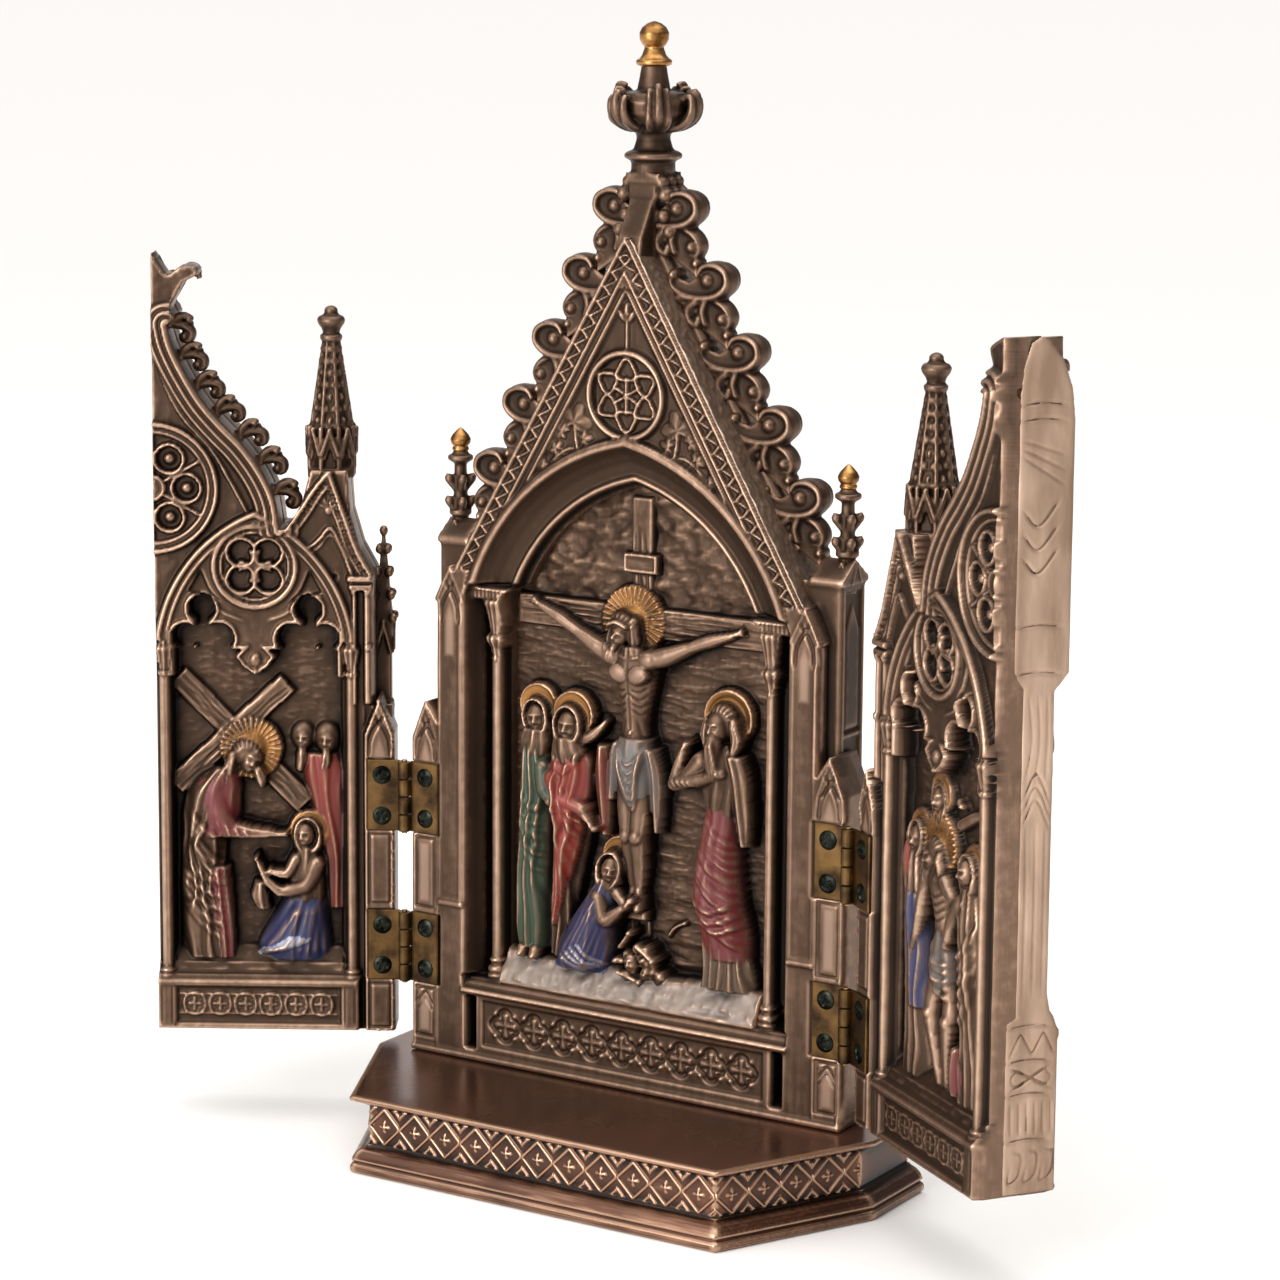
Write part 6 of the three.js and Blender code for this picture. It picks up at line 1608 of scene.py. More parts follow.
def roofSlopes():
    # the roof's two slopes behind the carved front, left rough from the mould and painted pale as a painted
    # highlight
    s, r = panel, roofSizes
    rise = s["apex"] - s["eaves"]
    length = math.hypot(s["half"], rise)
    for side, sign in (("right", 1), ("left", -1)):
        relief = Relief((r["near"], s["back"] - r["edge"]), (0, length), r["step"], 0.0)
        x, z = relief.x, relief.z
        relief.depth = r["rough"] * noise(x, z, 1.1, 211) + r["lumps"] * noise(x, z, 3.4, 212)
        gap = boxGap(x, z, 1.6, s["back"] - 1.0, 0.5, length - 1.2)

        def place(a, b, c, sign=sign):
            out = 0.3 - b
            across = s["half"] * (1 - c / length) + rise * out / length
            return panelPlace(sign * across, a, s["eaves"] + rise * c / length + s["half"] * out / length)
        piece = castPiece(side + "_roof", relief, gap, r["thick"], place, "shrine", roofHighlightFinish, sign < 0)
        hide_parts("centre_panel")


def piers():
    s = pierSizes
    for side, name in ((-1, "left_pier"), (1, "right_pier")):
        clay = Clay()
        x0, x1 = sorted(side * x for x in s["body"])
        clay.prism([(x0, s["near"]), (x1, s["near"]), (x1, s["deep"]), (x0, s["deep"])], s["foot"], s["top"], "z")
        x0, x1 = sorted(side * x for x in s["cap"])
        clay.prism([(5.6, 155.4), (18.4, 155.4), (18.4, 156.8), (12, 161.6), (5.6, 156.8)], x0, x1, "x")
        outer = side * s["edge"]
        for y in (7.2, 16.8):
            clay.tube([(outer, y, 24), (outer, y, 90), (outer, y, 154)], [0.8, 0.8], 1.0, 8)
        for z in (24, 64, 118, 154.4):
            clay.tube([(outer, 6.6, z), (outer, 12, z), (outer, 17.4, z)], [0.7, 0.7], 1.0, 8)
        clay.prism([(9, 120), (15, 120), (15, 144), (12, 150), (9, 144)], *sorted((side * 58, side * 59.3)), "x")
        low = [(56.2, 0.5), (63.8, 0.5), (63.8, 13), (56.2, 13)]
        clay.prism([(side * a, b) for a, b in low], s["foot"], 104.3, "z")
        clay.prism([(side * 56.2, 104), (side * 63.8, 104), (side * 60, 114)], 0.9, 13, "y")
        tall = [(side * 49.2, 61.5), (side * 55.9, 61.5), (side * 55.9, 141), (side * 56.5, 141.6),
                (side * 52.4, 150.4), (side * 48.5, 141.6), (side * 49.2, 141)]
        clay.prism(tall, 0.9, 7.4, "y")
        piece = finishSkin(name, clay.skin(s["voxel"], 1), panelPlace, "shrine", castFinish)
        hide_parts("centre_panel")


def crocketClay():
  # one curled crocket: a scroll that turns up round its ball, a small curl at its root, and a fan of hanging lobes
  
    clay = Clay()
    scroll = curve([(-7.6, -2.6), (-6.8, -5.2), (-3.2, -7.0), (1.6, -7.4), (5.8, -6.4), (8.4, -3.8), (7.9, -0.8),
                    (5.0, 0.8), (1.8, 0.4), (0.2, -1.6)], 0.7)
    clay.tube([(a, 0, b) for a, b in scroll], [1.3, 1.5, 1.5, 1.35, 1.1, 0.9], 2.4)
    for away in (-1, 1):
        clay.tube([(a, away * 2.9, b) for a, b in scroll], [0.7, 0.85, 0.85, 0.75, 0.6], 1.0, 8)
    clay.prism([(-7.4, -2.6), (-6.4, -5.4), (-3.0, -7.0), (1.6, -7.4), (5.8, -6.2), (7.9, -3.8), (7.4, -0.8),
                (4.8, 0.6), (2.2, -0.4), (-2.6, -3.6)], -2.3, 2.3, "y")
    clay.blob((2.9, 0, -2.9), (2.3, 4.1, 2.3))
    clay.blob((-7.0, 0, -2.0), (1.8, 3.9, 1.8))
    clay.tube([(-9.5, 0, -7.5), (-5.0, 0, -8.0), (1.5, 0, -12.0)], [2.2, 2.0, 1.4], 1.9)
    for lobe, size in (([(-1.6, -7.4), (-5.0, -7.4), (-7.4, -8.8), (-6.6, -10.6), (-4.8, -9.8)], 1.2),
                       ([(0.2, -8.0), (-2.4, -10.2), (-2.0, -13.2), (0.0, -14.0), (0.6, -12.2)], 1.2),
                       ([(2.4, -8.0), (1.6, -10.8), (2.4, -13.6)], 1.0)):
        line = curve(lobe, 0.7)
        for away in (-1, 0, 1):
            clay.tube([(a, away * 2.6, b) for a, b in line], [size, size, size * 0.8], 1.0, 8)
        clay.blob((lobe[-1][0], 0, lobe[-1][1]), (size * 1.1, 3.6, size * 1.1))
    neck = curve([(4.0, -7.6), (7.2, -9.2), (9.0, -11.8), (8.2, -14.2), (5.8, -14.2), (5.6, -12.4)], 0.7)
    clay.tube([(a, 0, b) for a, b in neck], [1.2, 1.2, 1.0, 0.8], 2.4)
    clay.prism([(-7, -4), (5, -7.4), (7.6, -11), (8.8, -16), (8.6, -20), (1, -15), (-5, -8)], -1.9, 1.9, "y")
    clay.blob((7.0, 0, -12.2), (1.8, 3.6, 1.8))
    clay.blob((8.2, 0, -16.2), (1.4, 3.0, 1.4))
    return clay


def crest():
    s = crestSizes
    unit = newObject("unit", crocketClay().skin(s["voxel"], 2))
    values = {"Copy": unit, "Count": s["count"], "First": (s["first"][0], s["middle"], s["first"][1]),
              "Step": (s["step"][0], 0, s["step"][1]), "Turn": (0, 0, 0), "Finish": castFinish}
    for side in ("right", "left"):
        place = panelPlace if side == "right" else lambda x, y, z: panelPlace(-x, y, z)
        points, faces = takeParts(runTree(rows, values))
        # the ribbon that carries all the copies follows the slope
        ribbon = Clay()
        slope = panel["half"] / (panel["apex"] - panel["eaves"])
        line = [((panel["apex"] - z) * slope, z) for z in range(234, 156, -6)]
        ribbon.tube([(1.5, s["middle"], 244)] + [(a + 0.2, s["middle"], b + 0.4) for a, b in line], [2.2, 2.2], 1.0,
                    12)
        more, moreFaces = takeParts(ribbon.skin(0.5, 1))
        faces = faces + [tuple(i + len(points) for i in f) for f in moreFaces]
        points = np.concatenate([points, more])
        if side == "left":
            faces = [f[::-1] for f in faces]
        piece = makeObject(side + "_crest", place(*points.T), faces, "shrine", castFinish)
        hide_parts("centre_panel")
    dropUnit(unit)


def finial():
    y, post = finialSizes["y"], finialSizes["post"]
    clay = Clay()
    clay.prism([(-post, 232), (post, 232), (post, 251.4), (-post, 251.4)], y - 5.2, y + 5.4, "y")
    clay.prism([(1.6, 230), (y - 4, 230), (y - 4, 249), (2.8, 237.6)], -3.4, 3.4, "x")
    clay.prism([(-4.8, 250.6), (4.8, 250.6), (4.8, 252.8), (-4.8, 252.8)], y - 5.4, y + 5.6, "y")
    for side in (-1, 1):
        for dz, reach, size in ((250.6, 4.8, 1.7), (247.6, 6.0, 2.0), (242.4, 5.4, 1.8), (238.6, 7.2, 1.9)):
            for dy in (-3.6, 0, 3.6):
                clay.blob((side * reach, y + dy, dz), (size, size * 1.1, size))
    clay.lathe([(253, 5.5), (255, 5.5), (255.2, 4.6), (255.8, 6.0), (256.4, 7.2), (257.4, 7.2), (258, 6.2),
                (258.3, 5.0), (261, 4.2), (262.4, 4.3), (262.8, 5.0), (263.6, 5.0), (264.2, 4.3), (266, 3.9),
                (274, 4.0), (276, 3.6), (280.2, 2.9)], 0, y, 32)
    clay.lathe([(263.6, 3.6), (265.0, 7.0), (267.4, 8.8), (270.4, 9.2), (272.4, 7.8), (273.0, 4.0)], 0, y, 24)
    for k in range(6):
        a = k * math.pi / 3 + 0.15
        reach, rise, size = (11.6, 272.6, 1.0) if k % 2 == 0 else (9.8, 274.4, 0.8)
        line = curve([(3.0, 264.8), (7.4, 265.2), (10.6, 267.2), (reach, rise - 2.4), (reach - 0.6, rise),
                      (reach - 2.6, rise - 0.6)], 0.7)
        for off, r, drop in ((0, 1.7, 0), (-0.23, 1.2, 0.9), (0.23, 1.2, 0.9)):
            ribbed = [(*around(0, y, p, a + off), z - drop) for p, z in line]
            clay.tube(ribbed, [r * size * 1.2, r * size, r * size * 0.6], 1.0, 8)
        clay.blob((*around(0, y, reach - 1.6, a), rise - 2.0), (1.7 * size,) * 3)
    piece = finishSkin("finial", clay.skin(finialSizes["voxel"], 2), panelPlace, "shrine", castFinish)
    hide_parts("centre_panel")
    tip = Clay()
    tip.lathe([(278.8, 3.4), (279.3, 4.4), (280.3, 4.5), (280.8, 3.7), (281.6, 3.0), (283, 2.5), (283.6, 2.3),
               (284.2, 3.0), (285.4, 3.6), (287, 3.7), (288.4, 3.0), (289.4, 1.7), (289.9, 0.3)], 0, y, 36)
    finishSkin("finial_tip", tip.skin(0.3, 1), panelPlace, "shrine", giltFinish)


def pinnacles():
    s = pinnacleSizes
    for side in ("left", "right"):
        sign = -1 if side == "left" else 1
        cx, cy = sign * s["x"], s["y"]
        clay = Clay()
        clay.lathe([(153, 2.4), (161.6, 2.1), (162.2, 2.9), (163.2, 2.9), (163.6, 1.9), (169, 1.8), (172, 1.7),
                    (175.4, 1.6), (175.8, 2.4), (176.4, 3.3), (177.4, 3.3), (177.8, 2.2), (178.8, 1.8)], cx, cy, 20)
        for z in (165.2, 171.0):
            for a in spokes(4, math.pi / 4):
                line = [(1.2, z - 2), (2.6, z - 0.4), (3.4, z + 0.8), (3.0, z + 1.6)]
                clay.tube([(*around(cx, cy, r, a), h) for r, h in line], [1.1, 1.0, 0.7], 1.0, 8)
                clay.blob((*around(cx, cy, 2.9, a), z + 0.4), (1.25, 1.25, 1.35), 10, 6)
        for a in spokes(4):
            c, n = math.cos(a), math.sin(a)
            for d in (-2.4, 2.4):
                foot = (cx + 2.6 * c - d * n, cy + 2.6 * n + d * c, 155.4)
                clay.tube([foot, (*around(cx, cy, 2.7, a), 160.8)], [0.6, 0.5], 1.0, 6)
        piece = finishSkin(side + "_pinnacle", clay.skin(0.34, 1), panelPlace, "shrine", castFinish)
        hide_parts("centre_panel")
        tip = Clay()
        tip.lathe([(178.4, 1.6), (178.9, 2.2), (179.4, 2.2), (179.8, 1.8), (180.6, 2.5), (181.6, 2.7), (182.8, 2.1),
                   (184, 1.0), (184.7, 0.2)], cx, cy, 24)
        finishSkin(side + "_pinnacle_tip", tip.skin(0.24, 1), panelPlace, "shrine", giltFinish)


panelBody()
roofSlopes()
piers()
crest()
finial()
pinnacles()
print("crest, finial and pinnacles made")


plinthSizes = {"frontHalf": 54.1, "sideHalf": 74.8, "front": -41.8, "shoulder": -0.3, "back": 25.5, "top": 20.4,
               "friezeInset": 4.8, "friezeMiddle": 12.2, "pitch": 9.3, "spacing": 0.9}


def plinthPlan(inset):
    s = plinthSizes
    slant = math.atan2(s["shoulder"] - s["front"], s["sideHalf"] - s["frontHalf"])
    corner = s["frontHalf"] - inset * math.tan(slant / 2)
    shoulder = s["shoulder"] + inset * math.tan((math.pi / 2 - slant) / 2)
    front, side, back = s["front"] + inset, s["sideHalf"] - inset, s["back"] - 0.02 * inset
    return [(-corner, front), (corner, front), (side, shoulder), (side, back), (-side, back), (-side, shoulder)]


def plinth():
    s = plinthSizes
    heights = [(0, 1.0), (0.5, 0.35), (1.3, 0.05), (2.0, 0.1), (2.5, 0.45), (2.7, 1.1), (3.1, 1.15), (3.3, 0.65),
               (3.7, 0.5), (4.4, 0.75), (5.2, 1.3), (5.9, 2.1), (6.4, 3.0), (6.6, 3.9), (7.0, 4.1), (7.2, 4.8),
               (17.2, 4.8), (17.4, 4.1), (17.8, 3.6), (18.3, 2.2), (18.8, 1.1), (19.0, 0.95), (19.15, 0.35),
               (19.5, 0.05), (20.0, 0.05), (20.3, 0.3), (20.4, 0.75)]
    z = np.concatenate([np.arange(0, 7.2, 0.28), [7.2], np.arange(8.2, 17.2, 1.5), [17.2],
                        np.arange(17.4, 20.4, 0.22), [20.4]])
    inset = profile(z, heights)
    base = plinthPlan(0)
    counts = [max(2, round(math.dist(a, b) / s["spacing"])) for a, b in zip(base, base[1:] + base[:1])]
    rings = []
    for height, move in zip(list(z) + [s["top"]] * 2, list(inset) + [1.6, 4.5]):
        plan = plinthPlan(move)
        ring = []
        for (ax, ay), (bx, by), n in zip(plan, plan[1:] + plan[:1], counts):
            ring += [(ax + (bx - ax) * k / n, ay + (by - ay) * k / n, height) for k in range(n)]
        rings.append(ring)
    n = len(rings[0])
    points = panelPlace(*np.array([p for ring in rings for p in ring]).T)
    faces = [(i * n + j, i * n + (j + 1) % n, (i + 1) * n + (j + 1) % n, (i + 1) * n + j)
             for i in range(len(rings) - 1) for j in range(n)]
    faces += [tuple(range(n - 1, -1, -1)), tuple(range((len(rings) - 1) * n, len(rings) * n))]
    piece = makeObject("plinth_block", points, faces, "shrine", plinthFinish)
    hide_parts("plinth")


def friezeTile(half):
    # a sunk square of the frieze: a raised lozenge outline round a four-petalled flower
    s = plinthSizes
    reach = s["pitch"] / 2
    relief = Relief((-reach - 0.3, (0 if half else reach) + 0.3), (6.9, 17.5), 0.3, 0.5)
    x, z = relief.x, relief.z - s["friezeMiddle"]
    lozenge = (np.abs(x) + np.abs(z) - 4.5) / math.sqrt(2)
    relief.depth = np.where(lozenge < 0, 0.75, 0.55)
    outline = np.abs(lozenge)
    relief.depth -= 0.75 * np.clip(1.2 - outline / 0.55, 0, 1)
    corner = (np.abs(np.abs(x) - reach) + np.abs(np.abs(z) - 4.65) - 1.6) / math.sqrt(2)
    relief.depth -= 0.4 * np.clip(1.2 - np.abs(corner) / 0.4, 0, 1)
    r, angle = np.hypot(x, z), np.arctan2(z, x)
    petal = 2.1 * np.abs(np.cos(2 * angle)) ** 0.6
    relief.depth -= np.where(r < petal, 0.65 * np.clip((petal - r) * 1.4, 0, 1), 0)
    relief.depth -= 0.35 * np.exp(-(r / 0.6) ** 2)
    relief.soften()
    gap = np.maximum(np.maximum(-reach - relief.x, relief.x - (0 if half else reach)), np.abs(z) - 5.0)
    return relief, gap


def frieze():
    s = plinthSizes
    plan = plinthPlan(s["friezeInset"])
    pieces, allFaces, total = [], [], 0
    for half in (False, True):
        relief, gap = friezeTile(half)
        unitPiece = castPiece("tile", relief, gap, 2.4, lambda x, y, z: np.stack([x, y - 0.5, z], -1) * mm,
                              "shrine", plinthFinish)
        unit = newObject("unit", unitPiece.data.copy())
        bpy.data.objects.remove(unitPiece)
        (ax, ay), (bx, by) = plan[1], plan[2]
        way = math.atan2(by - ay, bx - ax)
        c, n = math.cos(way), math.sin(way)
        p = s["pitch"] * mm
        count = 4
        if not half:
            lots = [((-5 * p, ay * mm, 0), (p, 0, 0), 0.0, 11)]
            lots.append(((ax * mm + p * c / 2, ay * mm + p * n / 2, 0), (p * c, p * n, 0), way, count))
        else:
            start = (count + 0.5) * s["pitch"] * mm
            lots = [((ax * mm + start * c, ay * mm + start * n, 0), (p, 0, 0), way, 1)]
        for first, step, turn, number in lots:
            points, faces = takeParts(runTree(rows, {"Copy": unit, "Count": number, "First": first, "Step": step,
                                                     "Turn": (0, 0, turn), "Finish": plinthFinish}))
            for mirror in ((False, True) if turn else (False,)):
                q = points * (-1, 1, 1) if mirror else points
                pieces.append(q)
                allFaces += [tuple(i + total for i in (f[::-1] if mirror else f)) for f in faces]
                total += len(points)
        dropUnit(unit)
    points = np.concatenate(pieces) + (0, frontY * mm, 0)
    piece = makeObject("plinth_frieze", points, allFaces, "shrine", plinthFinish)
    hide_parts("plinth")


plinth()
frieze()
print("plinth made")


turretSizes = {"u": 19.5, "v": 10.5, "drum": 5.5, "tip": 206.6, "courses": 7}
outerSizes = {"slab": 18.5, "base": 21.6, "panel": 19.8, "gable": 22.2, "panelHalf": 19.0}
edgeSizes = {"u": 65.5, "back": 63.4}
cornerSizes = {"u": 6.4, "v": 14.0, "tip": 157}
skinSizes = {"turret": 0.36, "crocket": 0.3}  # voxels, mm


def gablets(clay, cx, cy, count, reach, half, low, high, thick):  # little gables round a drum
    for a in spokes(count):
        c, n = math.cos(a), math.sin(a)
        for d in (-half, half):
            foot = (cx + reach * c - d * n, cy + reach * n + d * c, low)
            clay.tube([foot, (*around(cx, cy, reach + 0.3, a), high)], [thick, thick], 1.0, 8)
        clay.blob((*around(cx, cy, reach + 0.2, a), high), (thick * 1.3,) * 3, 8, 6)


def turret(clay):
    s = turretSizes
    u, v, turn = s["u"], s["v"], math.pi / 8
    clay.lathe([(171, 6.6), (173.4, 6.6), (174, s["drum"]), (183.6, s["drum"]), (184.2, 6.0), (185, 6.0),
                (185.6, 5.2)], u, v, 8, turn)
    gablets(clay, u, v, 8, 6.1, 2.3, 177.0, 183.6, 0.62)
    gablets(clay, u, v, 8, 5.6, 1.4, 176.0, 180.6, 0.4)
    wide, narrow, eaves, ribFoot, ribTop = 5.3, 2.1, 185.2, 185, s["tip"]
    for a in spokes(8, turn):
        edge = around(u, v, 6.0, a)
        clay.tube([(*edge, 173), (*edge, 184.4)], [0.7, 0.7], 1.0, 8)
        clay.tube([(*around(u, v, wide, a), ribFoot), (*around(u, v, narrow, a), ribTop)], [0.62, 0.42], 1.0, 8)
    rise = (s["tip"] - eaves) / s["courses"]
    for k in range(s["courses"]):  # stepped courses of tiles
        low, r = eaves + k * rise, wide - (wide - narrow) * k / s["courses"]
        clay.lathe([(low, r), (low + rise * 0.86, r - 0.62), (low + rise * 1.05, r - 0.8)], u, v, 8, turn)
        for j in range(16):
            tile = around(u, v, r * 0.93, (j + 0.5 * (k % 2)) * math.pi / 8)
            clay.blob((*tile, low + 0.8), (0.55, 0.55, 0.9), 8, 6)
    clay.lathe([(206, 2.0), (206.8, 2.9), (207.8, 2.9), (208.3, 2.1), (209.6, 2.5), (210.8, 3.4), (211.8, 3.7),
                (212.7, 3.2), (213.1, 2.1), (213.6, 1.7), (214.4, 1.8), (215.1, 1.3), (215.5, 0.4)], u, v, 24)


def cornerTurret(clay):
    u, v, tip = (cornerSizes[key] for key in ("u", "v", "tip"))
    clay.prism([(3.8, 8.2), (8.4, 8.2), (8.4, 15.4), (3.8, 15.4)], 24.6, 111, "z")
    clay.lathe([(108, 2.9), (128, 2.9), (128.6, 3.5), (130, 3.6), (tip, 0.4)], u, v, 4, math.pi / 4)
    clay.lathe([(108, 3.0), (108.6, 3.7), (109.8, 3.7), (110.4, 3.0)], u, v, 4, math.pi / 4)
    gablets(clay, u, v, 4, 2.4, 2.0, 124, 132, 0.5)
    for a in spokes(4, math.pi / 4):
        for z in (133.4, 139.4, 145.4, 151.4):
            clay.blob((*around(u, v, 3.3 * (tip - z) / 27 + 0.9, a), z), (1.1, 1.1, 1.3), 8, 6)
    clay.blob((u, v, 156.2), (1.2, 1.2, 1.4), 10, 8)


def nicheShaft(clay):  # the square shaft beside the niche
    clay.prism([(8.3, 5.0), (12.2, 5.0), (12.2, 14), (8.3, 14)], 24.6, 143.4, "z")


def ogeeCrocketClay():  # a small curled leaf, growing away from the slope along +x
    clay = Clay()
    stem = curve([(-3.4, -2.6), (-0.8, -1.8), (1.6, -0.6), (2.9, 1.5), (1.8, 3.2), (0.2, 2.6), (0.4, 1.3)], 0.6)
    clay.tube([(a, 0, b) for a, b in stem], [1.7, 1.5, 1.2, 0.9], 1.7)
    clay.blob((0.9, 0, 1.9), (1.2, 2.9, 1.2), 12, 8)
    for away in (-1, 1):
        frond = curve([(-2.6, -1.4), (-0.4, -3.0), (1.9, -3.2), (3.2, -2.2)], 0.6)
        clay.tube([(a, away * 1.5, b) for a, b in frond], [1.2, 1.1, 0.6], 1.2, 8)
        clay.blob((3.0, away * 1.6, -2.1), (0.95, 1.0, 0.95), 8, 6)
    clay.blob((2.9, 0, -0.9), (1.0, 1.3, 1.0), 8, 6)
    return clay


def halfFinial(clay, side):
    free = wingSizes["free"]
    clay.lathe([(209.6, 4.2), (211, 5.6), (212.4, 5.6), (213, 3.4), (217, 2.6), (221, 3.0), (223.4, 2.2)], free,
               12.6, 24)
    top = 225.0 if side == "left" else 221.0
    for lean, rise, reach in ((2.9, top, 10.6), (2.1, top - 2.4, 8.2), (4.1, top - 2.4, 8.2)):
        line = curve([(1.6, 215.6), (4.2, 218.6), (reach - 2.6, rise - 0.6), (reach, rise - 0.2),
                      (reach + 0.8, rise - 2.2)], 0.7)
        for off in (-0.22, 0, 0.22):
            rib = [(*around(free, 12.6, p, lean + off), z - abs(off) * 4) for p, z in line]
            clay.tube(rib, [1.7, 1.5, 0.8], 1.0, 8)
    if side == "left":
        clay.tube([(free - 1.4, 12.6, 219), (free - 1.0, 12.6, 224), (free - 0.4, 12.6, 228.2)], [2.6, 2.0, 0.6],
                  1.4, 12)


def wingExtras(side):
    clay = Clay()
    turret(clay)
    cornerTurret(clay)
    nicheShaft(clay)
    flip = side == "left"
    place = wingPlace(side)
    piece = finishSkin(side + "_wing_turret", clay.skin(skinSizes["turret"], 1), place, side + "_wing", castFinish,
                       flip)
    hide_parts(side + "_wing")
    bud = Clay()
    halfFinial(bud, side)
    mesh = bud.skin(skinSizes["turret"], 2)
    for vertex in mesh.vertices:
        vertex.co.x = min(vertex.co.x, wingSizes["free"])
    piece = finishSkin(side + "_wing_bud", mesh, place, side + "_wing", castFinish, flip)
    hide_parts(side + "_wing")
    # crockets stand square to the ogee, spaced evenly along it
    line = curve(ogeeLine, 0.5)
    run = np.concatenate([[0], np.cumsum(np.hypot(*np.diff(line, axis=0).T))])
    points, turns = [], []
    for at in np.linspace(7.0, run[-1] - 3.0, 7):
        k = int(np.searchsorted(run, at))
        way = line[min(k + 2, len(line) - 1)] - line[max(k - 2, 0)]
        lean = math.atan2(way[1], way[0])
        points.append((line[k][0] - 2.2 * math.sin(lean), 9.6, line[k][1] + 2.2 * math.cos(lean)))
        turns.append((0, -(lean + math.pi / 2), 0))
    unit = newObject("unit", ogeeCrocketClay().skin(skinSizes["crocket"], 1))
    made = runTree(spots, {"Copy": unit, "Size": 1.0, "Finish": castFinish}, points, turns)
    dropUnit(unit)
    piece = finishSkin(side + "_wing_crockets", made, place, side + "_wing", castFinish, flip)
    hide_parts(side + "_wing")


def outerFace(side):
    # what shows when the wings are shut: a panelled base, a blind lancet, a string course and the half gable
    s = outerSizes
    relief = Relief((8.0, 65.4), (24.2, 230), 0.55, -s["slab"])
    u, z = relief.x, relief.z
    relief.depth += 0.1 * noise(u, z, 3, 211)
    strip(relief, 12, 66, 24.4, 64, -s["base"])
    relief.cut(boxGap(u, z, 16, 61.4, 29, 59), 0.9 - s["base"], 0.6)
    for k in range(5):
        cu = 21.4 + k * 8.8
        ring = np.hypot(u - cu, z - 44)
        bead(relief, ring - 3.6, 0.5, 0.2 - s["base"])
        bead(relief, np.where(ring < 3.4, np.minimum(np.abs(u - cu), np.abs(z - 44)), far), 0.45, 0.3 - s["base"])
    for z0, z1, rise in ((24.4, 26.2, 0.3), (61.4, 63.6, 0.35), (64, 67, -1.2)):
        strip(relief, 12.4, 66, z0, z1, -s["base"] - rise)
    lancet = -archGap(u - lancetMiddle, z, lancetArch)
    tall = boxGap(u, z, lancetMiddle - s["panelHalf"], lancetMiddle + s["panelHalf"], 72, 160) < 0
    relief.fill((lancet > 5.2) & tall, -s["slab"] + 1.0)
    bead(relief, np.where(z > 70, np.maximum(5.4 - lancet, np.abs(u - lancetMiddle) - s["panelHalf"]), far), 0.9,
         -s["panel"])
    bead(relief, np.where(z > 128, lancet - 1.2, far), 1.1, -s["panel"] - 0.4)
    for cu in (lancetMiddle - 9.6, lancetMiddle + 9.6):
        relief.line([(cu - 8.6, 74), (cu - 8.6, 126), (cu - 5, 134), (cu, 138), (cu + 5, 134), (cu + 8.6, 126),
                     (cu + 8.6, 74)], 0.7, -s["panel"] + 0.2, False)
    bead(relief, circleGap(u, z, lancetMiddle, 146.4, 6.4), 0.8, -s["panel"])
    for a in spokes(4):
        bead(relief, circleGap(u, z, *around(lancetMiddle, 146.4, 3, a), 2.4), 0.4, -s["panel"] + 0.5)
    part, gap, _ = relief.spine(curve(ogeeLine, 1.0), 8)
    band = profile(gap, [(0, -s["gable"]), (1.6, -s["gable"]), (2.0, 0.9 - s["gable"]), (3.6, 0.8 - s["gable"]),
                         (4.2, -s["slab"])])
    zone = (z[part] > 157) & (gap < 4.2)
    relief.depth[part] = np.where(zone, np.minimum(relief.depth[part], band), relief.depth[part])
    r = np.hypot(u - roseMiddle[0], z - roseMiddle[1])
    bead(relief, r - 15.6, 1.0, -s["gable"])
    bead(relief, r - 11.4, 0.5, 0.8 - s["gable"])
    for a in spokes(6, math.pi / 2 + math.pi / 6):
        bead(relief, circleGap(u, z, *around(*roseMiddle, 7, a), 3.0), 0.5, 0.7 - s["gable"])
    relief.soften()
    foot, free = wingSizes["foot"], wingSizes["free"]
    outline = [(free, foot), (free, 224)] + [tuple(p) for p in curve(plainLeafLine, 2.5)][::-1][1:]
    outline += [tuple(p) for p in curve(ogeeLine, 2.0)][::-1] + turretBase + [(8.2, foot)]
    piece = castPiece(side + "_wing_outer_face", relief, polygonGap(u, z, outline), -12.8, lambda a, b,
                      c: wingPlace(side)(a, -b, c), side + "_wing", castFinish, side == "right")
    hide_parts(side + "_wing")


